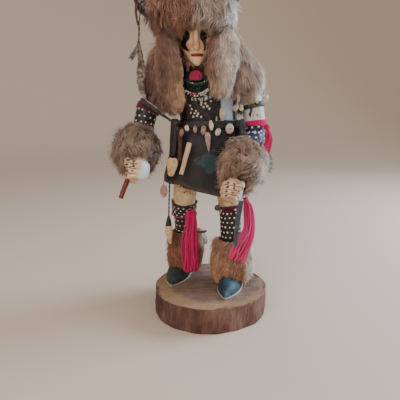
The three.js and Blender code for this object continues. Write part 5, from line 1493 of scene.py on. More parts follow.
fr_m = fur("fall_r", fr, int(5200 * Q), fall_len(1, -51, 262), down, 0.34, fall_r_tone, 0.55, 22, fall_w(1, -44), clump=9, swirl=0.34, hold=0.6)
fl_m = fur("fall_l", fl, int(5200 * Q), fall_len(-1, 2, 296), down, 0.32, fall_l_tone, 0.55, 23, fall_w(-1, 2), clump=9, swirl=0.3, hold=0.6)
piece("fall_right_skin", fr, HIDE, ["hair_fall_right"])
fur_piece("fall_right_hair", fr_m, FUR_SOFT, ["hair_fall_right"])
piece("fall_left_skin", fl, HIDE, ["hair_fall_left"])
fur_piece("fall_left_hair", fl_m, FUR_SOFT, ["hair_fall_left"])

# cape
cape = skin_of("cape_fur", 3.4, 6, -2.6, cape_tone)
cape["v"][:, 2] += 11.0 * sstep(cape["v"][:, 0], 22, 30) * (1 - sstep(cape["v"][:, 0], 40, 48)) * sstep(326 - cape["v"][:, 2], 0, 20) * (cape["v"][:, 1] < 12)
cape["v"][:, 2] += 9.0 * sstep(cape["v"][:, 0], 14, 30) * (1 - sstep(cape["v"][:, 0], 50, 66)) * sstep(318 - cape["v"][:, 2], 0, 34) * (cape["v"][:, 1] < 14)
low_front = sstep(316 - cape["v"][:, 2], 0, 10) * (cape["v"][:, 1] < 12) * (cape["v"][:, 0] > 2)
cape["v"][:, 0] += low_front * 0.75 * np.maximum(36 - cape["v"][:, 0], 0)


def cape_comb(p, n):
    r = p - arr([-11, 16, 0])
    r[:, 2] = 0
    return unit(unit(r) * 0.35 + arr([0, 0, -1.0]))


def cape_w(p, n):
    r = unit(np.stack([p[:, 0] + 11, p[:, 1] - 16, np.zeros(len(p))], 1))
    outw = np.einsum("ij,ij->i", r, n)
    under = (np.abs(p[:, 0] + 21) < 36) & (p[:, 2] > 352)
    bare = (p[:, 0] > 0) & (p[:, 0] < 31) & (p[:, 2] < 306) & (p[:, 1] < 12)
    return np.where(outw > -0.25, 1.0, 0.0) * np.where(n[:, 2] < -0.75, 0.6, 1.0) * np.where(under, 0.3, 1.0) * np.where(bare, 0.0, 1.0)


cape_m = fur("cape", cape, int(12200 * Q), lambda p: 19.0 - 9.0 * sstep(p[:, 0], 22, 29) * (1 - sstep(p[:, 0], 41, 48)) * sstep(328 - p[:, 2], 0, 12) * (p[:, 1] < 12), cape_comb, 0.42, cape_tone, 0.6, 24, cape_w, clump=10, swirl=0.6)
piece("cape_skin", cape, HIDE, ["cape_fur"])
# short hair turned in round the throat, above the felt disc
throat = Limb(NECK, per=8).skin(48)
throat["v"] += normals(throat) * 1.2


def throat_w(p, n):
    side = np.abs(p[:, 0] + 19.5)
    return np.where(n[:, 1] < 0.2, 1.0, 0.15) * sstep(p[:, 2], 326, 332) * np.where((side < 9.5) & (p[:, 2] < 347), 0.0, 1.0) * (p[:, 2] < 366)


throat_m = fur("throat", throat, 1150, lambda p: 9.0 + 0 * p[:, 0], down, 0.42, lambda p, rnd: blend([(1.0 + 0 * p[:, 0], TAN * 0.95), (0.9 + 0.4 * fbm(p, 9, 3), RED_BROWN * 1.25)]), 0.8, 31, throat_w, clump=7, swirl=0.5)
fur_piece("throat_hair", throat_m, FUR_SOFT)
fur_piece("cape_hair", cape_m, FUR_SOFT, ["cape_fur"])


# cuffs: the hair stands out all round the wrist
def cuff(node, limb_rows, tone, seed, name, hand_c, count, mat):
    m = skin_of(node, 2.8, 6, -3.2, tone)
    if name == "cuff_left":
        d = sstep(0.64 * (m["v"][:, 0] - 42) + 0.77 * (m["v"][:, 2] - 222), 2, 24)
        m["v"] += d[:, None] * arr([-3.6, 0, -5.0])
    path = arr(limb_rows)
    axis = unit(path[-1, :3] - path[0, :3])
    mid = path[:, :3].mean(0)

    def comb(p, n):
        rel = p - mid
        rad = rel - (rel @ axis)[:, None] * axis
        return unit(axis * 0.75 + unit(rad) * 0.35 + 0.35 * arr([0, 0, -1]))

    def w(p, n):
        rel = p - mid
        rad = rel - (rel @ axis)[:, None] * axis
        return np.where(np.einsum("ij,ij->i", unit(rad), n) > -0.3, 1.0, 0.15)

    hair = fur(name, m, int(count * Q), lambda p: 17.5 + 0 * p[:, 0], comb, 0.66, tone, 0.55, seed, w, clump=10, swirl=1.0, bend=0.7, hold=0.62, stray=0.08)
    piece(name + "_skin", m, HIDE, [node])
    fur_piece(name + "_hair", hair, mat, [node])


CUFF_R = [[-94, 2, 257, 19, 19], [-97, -8, 248, 27, 27], [-98.5, -20, 236, 28.5, 28.5], [-98.5, -32, 224, 27, 27], [-97.5, -40, 217, 18, 18]]
CUFF_L = [[56, 0, 244, 18, 18], [50, -12, 234, 26.5, 26.5], [42, -26, 220, 28.5, 28.5], [35, -39, 208, 28, 28], [30.5, -49, 199.5, 19, 19]]
cuff("cuff_fur_right", CUFF_R, cuff_r_tone, 25, "cuff_right", [-95.5, -51, 213], 5600, FUR_TICK)
cuff("cuff_fur_left", CUFF_L, cuff_l_tone, 26, "cuff_left", [25.5, -62, 190.5], 5600, FUR_TICK)


# boots
def boot(node, tone, seed, name, cx, cy, count):
    m = skin_of(node, 2.9, 6, -2.8, tone)

    def comb(p, n):
        r = p - arr([cx, cy, 0])
        r[:, 2] = 0
        return unit(unit(r) * 0.25 + arr([0, 0, -1.0]))

    hair = fur(name, m, int(count * Q), lambda p: 12.5 + 0 * p[:, 0], comb, lambda p: 0.4 + 0.2 * (p[:, 2] < 62), tone, 0.52, seed, out_of(cx, cy, -0.35), clump=8, swirl=0.5, hold=0.5)
    hair["v"][:, 2] = np.maximum(hair["v"][:, 2], 36.6)
    piece(name + "_skin", m, HIDE, [node])
    fur_piece(name + "_hair", hair, FUR_TICK, [node])


boot("boot_fur_right", boot_r_tone, 27, "boot_right", -37.5, 36, 5200)
boot("boot_fur_left", boot_l_tone, 28, "boot_left", 31, 4, 5600)


# ---------------------------------------------------------------- horns
def horn(rows, name, node, seed):
    h = Limb(rows, ref=(0, 1, 0), per=12)

    def off(s_, th):
        s_, th = np.broadcast_arrays(s_, th)
        p = np.stack([s_.ravel() * 60, np.cos(th.ravel()) * 9, np.sin(th.ravel()) * 9], 1)
        ridge = 0.32 * np.sin(s_ * 62 + 1.3 * vnoise(p, 9, seed).reshape(s_.shape)) * (1 - s_) ** 0.6
        return ridge + 0.45 * vnoise(p * [0.25, 1, 1], 3.2, seed + 1).reshape(s_.shape) * (1 - s_)
    m = h.skin(32, 2.0, 0.6, 60, off)
    piece(name, m, HORN, [node])


HORN_R = [[-76, 4, 409, 9.2, 9.2], [-84, 3, 412, 8.6, 8.6], [-90, 2, 419, 7.4, 7.4], [-93.5, 1, 429, 5.8, 5.8], [-94.5, 1, 441, 4, 4], [-93, 1, 452, 2.2, 2.2], [-91, 1, 459, 0.9, 0.9]]
HORN_L = [[22, 6, 427, 9.2, 9.2], [31, 5, 430, 8.6, 8.6], [37.5, 4, 437, 7.4, 7.4], [41, 3, 446, 5.8, 5.8], [42, 3, 456, 4, 4], [40.5, 3, 465, 2.2, 2.2], [38.5, 3, 471, 0.9, 0.9]]
horn(HORN_R, "right_horn", "horn_right", 3)
horn(HORN_L, "left_horn", "horn_left", 7)


# ---------------------------------------------------------------- beads
def bead(c, axis, r, tone, flat=0.72, seg=8, rows=5):
    a = unit(arr(axis))
    u = unit(np.cross(a, arr([0.21, 0.13, 0.97])))
    v = np.cross(a, u)
    th = np.linspace(0, 2 * math.pi, seg, endpoint=False)
    ring = []
    for k in np.linspace(0.28, math.pi - 0.28, rows):
        ring.append(c + a * (math.cos(k) * r * flat) + r * math.sin(k) * (np.cos(th)[:, None] * u + np.sin(th)[:, None] * v))
    return paint(rings(ring), tone=tone)


def bead_row(points, r, colours, seed, gap=1.02, squash=0.8):
    g = np.random.default_rng(seed)
    fine = even(points, 200)
    n = max(3, int(run(fine)[-1] / (2 * r * squash * gap)))
    p = even(points, n)
    t = tangents(p)
    out = []
    for i in range(n):
        col = colours(i, n, g) if callable(colours) else colours[i % len(colours)]
        out.append(bead(p[i] + g.normal(0, 0.1, 3), t[i] + g.normal(0, 0.08, 3), r * g.uniform(0.92, 1.06), arr(col) * g.uniform(0.8, 1.1), squash))
    return cat(out)


GREEN, TEAL, BLACK, CREAM, PINK, LAV, REDB = tones([(52, 118, 100), (28, 74, 76), (18, 18, 22), (236, 230, 220), (222, 120, 140), (176, 160, 220), (160, 30, 44)])
collar_s = Surface(remesh(cad("collar_beaded"), 0.9, 3))
collar = remesh(cad("collar_beaded"), 0.7, 3)
collar["a"]["edge"] = np.zeros(len(collar["v"]))
piece("collar_band", collar, LEATHER_OLIVE, ["collar_beaded"])


def arc_on(points, lift, n=40):
    co, no = collar_s.near(even(points, n))
    return co + no * lift


rows_ = []
for k in range(5):
    z0 = 318.6 - 2.15 * k
    guide = [[-36.5 + 0.3 * k, -9, z0 + 3.2], [-30, -15, z0 - 0.4], [-20, -18, z0 - 2.0], [-10, -17, z0 - 0.4], [-2.5 - 0.3 * k, -10, z0 + 3.4]]
    pts = arc_on(guide, 0.55)

    def pick(i, n, g, k=k):
        if k < 1:
            return BLACK if g.random() < 0.7 else TEAL
        f = i / n
        if 0.38 < f < 0.56 and k > 1:
            return TEAL if g.random() < 0.65 else BLACK
        return BLACK if g.random() < 0.82 else TEAL
    rows_.append(bead_row(pts, 1.15, pick, 40 + k))
piece("collar_beadwork", cat(rows_), BEADS)
G1 = [[-37.5, -11, 325], [-30, -17.2, 320.8], [-20, -19.4, 319], [-10, -18, 321], [-3.5, -12.5, 325.5]]
W1 = [[-36, -14.5, 313.5], [-31, -17.8, 309], [-20, -19.6, 305.8], [-9, -18.6, 309], [-4, -15.5, 313.5]]
L1 = [[-25, -16.6, 300.6], [-15, -17.2, 300.2], [-6, -17.2, 302], [2, -16.4, 305]]
sh = lambda pts, dy, dz: [[a, b + dy, c + dz] for a, b, c in pts]
green = cat([bead_row(sh(G1, 0.0, 1.1), 1.15, lambda i, n, g: [GREEN, TEAL, CREAM * 0.55, GREEN * 0.6][int(g.random() * 4)], 50), bead_row(sh(G1, -0.3, -1.0), 1.15, lambda i, n, g: BLACK if g.random() < 0.55 else TEAL, 51)])
piece("bead_string_1", green, BEADS, ["bead_string_green"])


def pinkish(i, n, g):
    f = i / n
    if 0.28 < f < 0.52:
        return PINK if g.random() < 0.6 else (REDB if g.random() < 0.5 else CREAM)
    return CREAM if g.random() < 0.85 else BLACK


piece("bead_string_2", cat([bead_row(sh(W1, 0.0, 1.3), 1.25, pinkish, 52), bead_row(sh(W1, -0.2, -1.2), 1.2, pinkish, 53)]), BEADS, ["bead_string_white"])
mixc = lambda i, n, g: (CREAM if g.random() < 0.5 else GREEN)
piece("bead_string_3", cat([bead_row(sh(L1, 0.0, 1.5), 1.15, mixc, 54), bead_row(sh(L1, -0.2, -0.7), 1.15, lambda i, n, g: GREEN if g.random() < 0.6 else CREAM, 55), bead_row([[-12, -17.2, 305.4], [-4, -17.6, 305.6], [2, -16.6, 308.4]], 1.15, mixc, 56)]), BEADS, ["bead_string_lower"])

# felt at the throat, gathered into pleats
fan = Limb([[-20.5, -14.6, 335.2, 4.2, 1.1], [-20.5, -15.4, 332.6, 6.8, 1.2], [-20.5, -16.7, 328.6, 7.9, 1.2], [-20.5, -18, 324.6, 7.0, 1.2]], per=14)
fan_m = fan.skin(84, 0.9, 0.9, 34, lambda s_, th: 0.55 * np.sin(th * 13 + 2.2 * np.sin(s_ * 5)) * (0.35 + 0.65 * s_) + 0.35 * np.sin(th * 5 + 4 * s_))
fan_m["v"][:, 1] += 0.5 * np.sin((fan_m["v"][:, 0] + 20.5) * 1.35) * sstep(337 - fan_m["v"][:, 2], 0, 8)
piece("throat_felt", fan_m, FELT, ["collar_felt_fan"])

# ---------------------------------------------------------------- straps on the chest
SD = [0.665, 0, 0.747]
b_m = laid(torso_s, [[-40, -8, 309.5], [-33, -13, 303.4], [-25, -15, 296.5], [-16, -15, 288.5], [-7, -14, 280.5], [0, -13, 274.6]], SD, lambda f: 8.8 - 0.6 * f, 1.5, 54, 13, 0.25, crown=0.35)
piece("strap_bandolier", b_m, LEATHER_BLACK, ["bandolier"])
c_m = laid(torso_s, [[-32.8, -12, 299.5], [-33.0, -12, 287], [-32.6, -12, 275]], [1, 0, 0], 6.4, 1.3, 30, 9, 0.2, crown=0.2)
piece("strap_chest_right", c_m, LEATHER_BROWN, ["chest_strap_right"])
t_m = laid(torso_s, [[6.4, -15, 305], [8.6, -15, 293], [10.2, -15, 284], [12.2, -14, 274.5]], [0.985, 0, 0.17], lambda f: 7.6 + 1.2 * math.sin(f * 7), 1.4, 40, 11, 0.3, crown=0.5)
t2 = laid(torso_s, [[1.0, -15, 286.5], [7.0, -16, 283.2], [13.5, -15, 281.8]], [0.2, 0, 1], 4.6, 1.3, 24, 9, 1.6, crown=0.5)
piece("strap_tie", cat([t_m, t2]), LEATHER_BLACK, ["chest_tie"])
s_m = laid(torso_s, [[33.2, -8, 299], [33.8, -7, 287], [34.6, -6, 275]], [1, 0, 0], 5.5, 1.3, 28, 9, 0.2, crown=0.2)
piece("strap_side_left", s_m, LEATHER_DARKBLUE, ["side_strap_left"])


# ---------------------------------------------------------------- kilt
def kilt_section(z):
    t = arr(KILT)[::-1]
    return [np.interp(z, t[:, 0], t[:, k]) for k in (1, 2, 3, 4)]


NA, NZ = 128, 38
th = np.linspace(0, 2 * math.pi, NA, endpoint=False)
cs, sn, e = np.cos(th), np.sin(th), 2 / 2.2
ux, uy = np.sign(cs) * np.abs(cs) ** e, np.sign(sn) * np.abs(sn) ** e
hem_x = -12.5 + 57 * ux
hem_z = 175.6 - 0.155 * hem_x + 5.4 * sstep(-hem_x, 10, 50) + 1.1 * np.sin(3 * th + 0.6) + 0.5 * np.sin(11 * th)
outer, inner, f_ = [], [], []
for i in range(NZ):
    f = i / (NZ - 1)
    z = 273.0 + (hem_z - 273.0) * f
    cx, cy, rx, ry = kilt_section(z)
    fold = f ** 1.6 * (0.75 * np.sin(7 * th + 1.1) + 0.5 * np.sin(13 * th + 2.0 + 2.2 * f) + 0.3 * np.sin(23 * th))
    p = np.stack([cx + ux * rx, cy + uy * ry, z], 1)
    nn = unit(np.stack([ux / rx, uy / ry, 0 * ux], 1) + 1e-9)
    extra = 0.45 * vnoise(p, 13, 2) + 0.2 * vnoise(p, 5, 3)
    o_ = (fold * np.where(uy < 0, 0.55, 1.0) + extra - 0.25)[:, None]
    outer.append(p + nn * o_)
    inner.append(p + nn * (o_ - 1.35))
    f_.append(f)
lip_o = outer[-1] + [0, 0, -0.35]
ringset = outer + [(outer[-1] * 0.7 + inner[-1] * 0.3) - [0, 0, 0.35], (outer[-1] * 0.3 + inner[-1] * 0.7) - [0, 0, 0.35]] + inner[::-1]
r_ = np.stack(ringset)
M_, N_ = r_.shape[:2]
j = np.arange(N_); k2 = (j + 1) % N_
i_ = np.arange(M_)[:, None]; i2 = (i_ + 1) % M_
qk = np.stack([i_ * N_ + j, i_ * N_ + k2, i2 * N_ + k2, i2 * N_ + j], -1).reshape(-1, 4)
kilt = outward(mesh(r_.reshape(-1, 3), qk))
kv = kilt["v"]
front_k = kv[:, 1] < 0


def blob(cx, cz, rx, rz):
    return (1 - np.hypot((kv[:, 0] - cx) / rx, (kv[:, 2] - cz) / rz)) * min(rx, rz)


def seg_d(x0, z0, x1, z1, w):
    a, b = arr([x0, z0]), arr([x1, z1])
    p = kv[:, [0, 2]]
    f = np.clip(((p - a) @ (b - a)) / ((b - a) @ (b - a)), 0, 1)
    return w - np.linalg.norm(p - a - f[:, None] * (b - a), axis=1)


teal = np.maximum.reduce([blob(-3.5, 224, 9.5, 7.5), blob(1.5, 217, 7.5, 9), blob(-2, 209.5, 5.5, 5), blob(-9.5, 219, 4.5, 6), blob(-14.5, 219.5, 6.5, 4.0) - 0.5, seg_d(-6, 231, 4, 236, 2.2)])
kilt["a"]["p_teal"] = np.where(front_k, teal, -9)
kilt["a"]["p_line"] = np.where(front_k, np.maximum.reduce([seg_d(-24.2, 220.5, -17, 226, 0.45), seg_d(-17, 226, -11, 228.6, 0.45), seg_d(-11, 228.6, -2, 233.5, 0.35)]), -9)
kilt["a"]["p_mark"] = np.where(front_k, np.maximum(blob(-6.4, 225.9, 1.3, 1.3), blob(-3.1, 214.1, 1.2, 1.2)), -9)
edge = np.zeros((M_, N_)); edge[NZ - 3:NZ + 5] = [[0.35], [0.7], [1], [1], [1], [1], [0.7], [0.35]]
kilt["a"]["edge"] = edge.ravel()
KILT_M = m_kilt()
kilt_ob = piece("kilt", kilt, KILT_M, ["kilt_leather"])
om = mesh(np.stack(outer).reshape(-1, 3), np.stack([(np.arange(NZ - 1)[:, None] * N_ + j), (np.arange(NZ - 1)[:, None] * N_ + k2), ((np.arange(NZ - 1)[:, None] + 1) * N_ + k2), ((np.arange(NZ - 1)[:, None] + 1) * N_ + j)], -1).reshape(-1, 4))
kilt_l = float(max(np.linalg.norm(np.diff(np.stack(outer)[:, a], axis=0), axis=1).sum() for a in range(0, NA, 5))) * MM
kilt_s = Surface(om)

# ---------------------------------------------------------------- belt
br = []
for z, g_ in [(263.7, 1.0), (263.9, 2.0), (265.2, 2.5), (267, 2.7), (268.5, 2.5), (270, 2.7), (271.8, 2.5), (273.1, 2.0), (273.3, 1.0)]:
    cx, cy, rx, ry = kilt_section(z)
    rr = np.stack([cx + ux * (rx + g_), cy + uy * (ry + g_), np.full(NA, z) + 0.35 * np.sin(3 * th + 1)], 1)
    rr += 0.3 * vnoise(rr, 10, 7)[:, None] * np.stack([ux, uy, 0 * ux], 1)
    br.append(rr)
for z in (273.3, 268.5, 263.7):
    cx, cy, rx, ry = kilt_section(z)
    br.append(np.stack([cx + ux * (rx + 0.3), cy + uy * (ry + 0.3), np.full(NA, z)], 1))
br = np.stack(br)
M2 = len(br)
i_ = np.arange(M2)[:, None]; i2 = (i_ + 1) % M2
belt = outward(mesh(br.reshape(-1, 3), np.stack([i_ * NA + j, i_ * NA + k2, i2 * NA + k2, i2 * NA + j], -1).reshape(-1, 4)))
ed = np.zeros((M2, NA)); ed[[0, 1, 7, 8]] = [[1], [0.8], [0.8], [1]]
belt["a"]["edge"] = ed.ravel()
piece("belt_band", belt, LEATHER_BLACK, ["belt"])
belt_s = Surface(belt)
flap = laid(belt_s, [[17.5, -22, 275.4], [27, -18, 272.0], [36, -12, 270.4], [43.5, 0, 269.4]], [0.1, 0.1, 1], lambda f: 9.5 + 5.5 * f, 1.3, 40, 13, 0.3, crown=0.4)
flap["v"] += (0.35 * vnoise(flap["v"], 6, 3))[:, None] * unit(flap["v"] - arr([0, 12, 268]))
piece("belt_flap", flap, LEATHER_DARKBLUE)
tail_ = laid(kilt_s, [[31, -16, 266], [33.5, -16.5, 258], [36, -16, 250]], [1, 0.3, 0], lambda f: 9 - 3 * f, 1.1, 24, 9, 0.5, crown=0.2)
piece("belt_flap_tail", tail_, LEATHER_DARKBLUE)
hang = strap([[38.6, -9.5, 275], [40.6, -11.0, 267], [41.8, -12.0, 258], [41.0, -12.4, 249]], [0.92, -0.38, 0], lambda f: 10.5 - 4.0 * f, 1.3, 34, 11, bow=0.5)
hang["v"] += (0.3 * vnoise(hang["v"], 7, 5))[:, None] * arr([0.3, -0.9, 0])
piece("belt_flap_side", hang, LEATHER_DARKBLUE)


# ---------------------------------------------------------------- things on the belt
def chip(c, r, rot, seed, tone, rough=0.16, seg=26, rows=18):
    """A worn piece of shell: a flattened, uneven oval with a pierced end."""
    m = oval([0, 0, 0], r, seg, rows)
    n = normals(m)
    m["v"] += n * (rough * min(r) * (vnoise(m["v"], 2.6, seed) + 0.5 * vnoise(m["v"], 1.3, seed + 1)))[:, None]
    hole = np.exp(-((m["v"][:, 0]) ** 2 + (m["v"][:, 2] - 0.68 * r[2]) ** 2) / 0.5) * (m["v"][:, 1] < 0)
    m["v"][:, 1] += hole * r[1] * 0.8
    m["v"] = m["v"] @ turn(*rot).T + arr(c)
    return paint(m, tone=tone)


def cowrie(c, r, rot, tone):
    """A small cowrie: humped back, lengthwise slit with teeth towards the viewer."""
    m = oval([0, 0, 0], r, 44, 34)
    x, y, z = m["v"].T
    k = z / r[2]
    slit = np.exp(-((x - 0.10 * r[0] * k) / (0.16 * r[0])) ** 2) * (np.abs(k) < 0.93) * (y < 0)
    teeth = 0.5 + 0.5 * np.sin(z * 2 * math.pi / (r[2] * 0.22))
    m["v"][:, 1] += slit * r[1] * (0.75 - 0.2 * teeth)
    lip = np.exp(-((np.abs(x) - 0.34 * r[0]) / (0.16 * r[0])) ** 2) * (y < 0) * (np.abs(k) < 0.85)
    m["v"][:, 1] -= lip * r[1] * 0.14 * (0.6 + 0.6 * teeth)
    m["v"] = m["v"] @ turn(*rot).T + arr(c)
    return paint(m, tone=tone)


P = dict(zip(["salmon", "cream", "pinkgrey", "greywhite", "rose", "pearl", "lilac"], tones([(188, 104, 78), (228, 214, 186), (176, 146, 146), (206, 200, 200), (196, 128, 116), (228, 214, 202), (190, 160, 168)])))
shell_rows = [
    ("shell_a", chip([-38.6, -24.6, 258.6], [2.9, 1.9, 5.2], [0.1, 0.12, 0.2], 3, P["salmon"] * 0.4 + P["pinkgrey"] * 0.12), "belt_shell_1"),
    ("shell_b", chip([-31.8, -24.6, 264.4], [3.0, 2.0, 3.9], [0.0, -0.3, 0.1], 5, P["cream"]), "belt_shell_2"),
    ("shell_d", chip([-10.4, -24.0, 261.8], [3.6, 2.2, 5.8], [0.0, 0.1, 0.0], 7, P["rose"] * 0.2 + P["pinkgrey"] * 0.5), "belt_shell_4"),
    ("shell_e", chip([-0.6, -23.6, 267.8], [2.9, 2.2, 6.6], [0.05, -0.12, 0.0], 9, P["pearl"]), "belt_shell_5"),
    ("shell_f", chip([8.4, -22.7, 259.6], [3.8, 2.3, 5.2], [0.0, 0.25, 0.2], 11, P["greywhite"]), "belt_shell_6"),
    ("shell_g", chip([-39.6, -18.6, 290.0], [3.6, 2.4, 6.2], [0, 0.2, 0.1], 13, P["rose"]), "chest_shell_right"),
    ("shell_h", chip([13.6, -17.0, 281.4], [3.5, 2.4, 8.4], [0, -0.06, 0.0], 15, P["salmon"] * 0.3 + P["cream"] * 0.55), "chest_shell_left"),
]
for nm, m, node in shell_rows:
    piece(nm, m, SHELL, [node])
piece("shell_c", chip([-21.2, -24.2, 262.8], [2.7, 1.7, 4.8], [0.0, -0.1, 0.0], 17, P["pinkgrey"] * 0.8), SHELL)
piece("shell_i", cowrie([31.6, -12.0, 290.2], [3.5, 2.5, 5.0], [0, 0.3, -0.3], P["cream"] * 0.9), SHELL, ["side_shell_front"])
piece("shell_j", cowrie([38.6, -8.4, 290.6], [3.5, 2.5, 5.2], [0, -0.35, -0.5], P["cream"]), SHELL, ["side_shell_back"])
piece("shell_k", cowrie([70.5, -4.2, 302.6], [4.2, 3.1, 5.4], [0, 0.5, -0.2], P["pearl"]), SHELL, ["arm_shell_left"])
piece("shell_l", chip([60.0, -6.6, 299.2], [2.7, 2.0, 3.8], [0, -0.2, 0.1], 19, P["cream"]), SHELL)
piece("shell_m", chip([-65.6, -1.6, 176.3], [5.2, 2.8, 9.0], [0, 0.05, 0.1], 21, P["rose"] * 0.6 + P["cream"] * 0.4, 0.1), SHELL, ["hem_shell"])
thong_top = tube([[-57.2, -1, 187.6], [-57.6, -3.4, 190.4], [-58.2, -6.4, 193], [-58.6, -9.4, 195.4]], 0.95, 8, 18)
piece("kilt_thong_top", paint(thong_top, edge=0.2), LEATHER_BLACK)
hem_thread = tube([[-65.6, -1.6, 184.6], [-65.4, -1.6, 187.6], [-64.9, -1.5, 190.4], [-64.3, -1.0, 193.5]], 0.4, 7, 14)
piece("hem_shell_thread", paint(hem_thread, edge=0.3), CORD_BROWN)
# cabochon: a domed stone in a rope-edged cup
cab = oval([23.6, -18.6, 263.6], [5.2, 2.7, 6.6], 36, 24)
rx_, rz_ = 5.4, 6.8
thc = np.linspace(0, 2 * math.pi, 44, endpoint=False)
rope = []
for a in thc:
    rope.append(bead([23.6 + rx_ * math.cos(a), -18.3, 263.6 + rz_ * math.sin(a)], [-math.sin(a), 0, math.cos(a)], 0.62, [0.3, 0.3, 0.3], 0.9, 7, 5))
cb = paint(cab, tone=P["lilac"])
pinkc = np.exp(-(((cb["v"][:, 0] - 24.0) / 2.4) ** 2 + ((cb["v"][:, 2] - 263.2) / 3.4) ** 2))[:, None]
cb["a"]["tone"] = cb["a"]["tone"] * 0 + (P["greywhite"] * (1 - pinkc) + lin(196, 110, 140) * pinkc)
piece("cabochon", cb, SHELL, ["belt_cabochon"])
piece("cabochon_rim", cat(rope), METAL_OLIVE)
# loops of thread that hold the shells to the belt
thr = []
for cx, cz in [(-38.6, 264), (-31.8, 268.2), (-21.2, 267.2), (-10.4, 267.2), (-0.6, 273.2), (8.4, 264.6)]:
    thr.append(tube([[cx - 0.8, -22.4, cz + 1.5], [cx - 0.9, -24.6, cz - 0.6], [cx, -25.6, cz - 2.2], [cx + 0.9, -24.6, cz - 0.6], [cx + 0.8, -22.4, cz + 1.5]], 0.32, 6, 18))
piece("shell_threads", paint(cat(thr), edge=0.3), CORD_BROWN)

# sheath strap folded over the belt, and the strip beside it
ss = strap([[-47.6, -14.6, 275.4], [-48.6, -16.6, 271], [-49.4, -16.8, 262], [-50.2, -16.8, 252], [-51, -17.2, 240], [-52, -17.4, 228]], [0.9, -0.43, 0], lambda f: 9.6 - 0.6 * f, 1.9, 56, 13, bow=0.5)
ss["v"] += (0.3 * vnoise(ss["v"], 8, 2))[:, None] * arr([0.4, -0.9, 0])
piece("sheath", ss, LEATHER_BLACK, ["sheath_strap"])
s2 = strap([[-40.2, -20.4, 262.4], [-41, -21.8, 250], [-41.6, -22.8, 236], [-42, -23.0, 222]], [0.95, -0.3, 0], lambda f: 6.2 - 0.8 * f + 0.4 * math.sin(9 * f), 1.3, 44, 9, bow=0.35)
piece("sheath_strip", s2, LEATHER_BROWN, ["sheath_thong_strip"])
# the bone: broad at the top, flattened, narrowing to a blunt end, with a drilled eye
drop = Limb([[-51.0, -20.9, 224.6, 5.4, 2.2], [-51.2, -20.9, 222.6, 7.4, 2.6], [-51.6, -20.9, 218.5, 7.7, 2.8], [-52.2, -20.9, 213, 6.8, 2.8], [-52.9, -20.9, 207.5, 5.2, 2.5], [-53.4, -20.8, 204.2, 4.6, 2.3], [-53.6, -20.8, 202.0, 3.6, 1.8]], per=10)
bp = drop.skin(44, 1.4, 1.0, 60)
bx, by, bz = bp["v"].T
eye = np.exp(-((bx + 54.6) ** 2 + (bz - 208.6) ** 2) / 0.9) * (by < -20)
groove = np.exp(-((bx + 52.2 + 0.6 * np.sin(bz * 0.5)) / 0.35) ** 2) * (by < -20) * sstep(bz, 206, 210) * (1 - sstep(bz, 216, 220))
notch_ = np.exp(-((bx + 51.4) / 1.6) ** 2) * sstep(bz, 221, 225)
# depth of the eye and the groove, used to paint shade in them
bp["a"]["deep"] = np.maximum(eye, 0.5 * groove)
bp["v"][:, 2] -= 1.3 * notch_
bp["v"] += normals(bp) * (0.28 * vnoise(bp["v"], 5, 3) - 0.9 * eye - 0.35 * groove)[:, None]
piece("bone_drop", bp, BONE, ["bone_pendant"])
# whittled stick, pale, flat
fs = strap([[-28.5, -29.6, 246.3], [-31.2, -29.7, 236], [-34, -29.6, 226], [-36.8, -29.6, 215], [-39.6, -29.5, 205.2]], [1, 0, 0], lambda f: 6.1 + 0.5 * math.sin(4 * f + 1), 2.2, 60, 11, round_=0.5)
fs["v"] += (0.18 * vnoise(fs["v"], 4, 8))[:, None] * arr([0.7, -0.7, 0.1])
piece("whittled_stick", fs, WOOD_PALE, ["flat_stick"])
cl = Limb([[-5.4, -25.3, 257.8, 2.8, 2.0], [-5.2, -25.4, 254.6, 3.9, 2.8], [-4.7, -25.5, 249, 3.5, 2.6], [-4.0, -25.6, 242, 2.5, 2.2], [-3.5, -25.4, 237.0, 1.4, 1.3], [-3.3, -25.3, 234.4, 0.6, 0.6]], per=10)
cm = cl.skin(34, 1.6, 0.5, 70, lambda s_, th: 0.22 * np.sin(th * 7 + 3 * s_) - 0.2)
cm["v"] += normals(cm) * (0.22 * vnoise(cm["v"], 3.2, 5))[:, None]
paint(cm, tone=P["lilac"] * 0.44 + P["rose"] * 0.34)
piece("claw", cm, SHELL, ["claw_pendant"])


# ---------------------------------------------------------------- yarn
def coil(limb, s0, s1, turns, r, off, seed):
    n = int(turns * 26)
    ss_ = np.linspace(s0, s1, n)
    th_ = np.linspace(0, 2 * math.pi * turns, n)
    g = np.random.default_rng(seed)
    w = 0.25 * np.sin(th_ * 1.7 + seed)
    pts = limb.at(ss_, th_, off + r * 0.9 + 0.12 * w)
    return paint(tube(pts, r, 7, n), rnd=g.random())


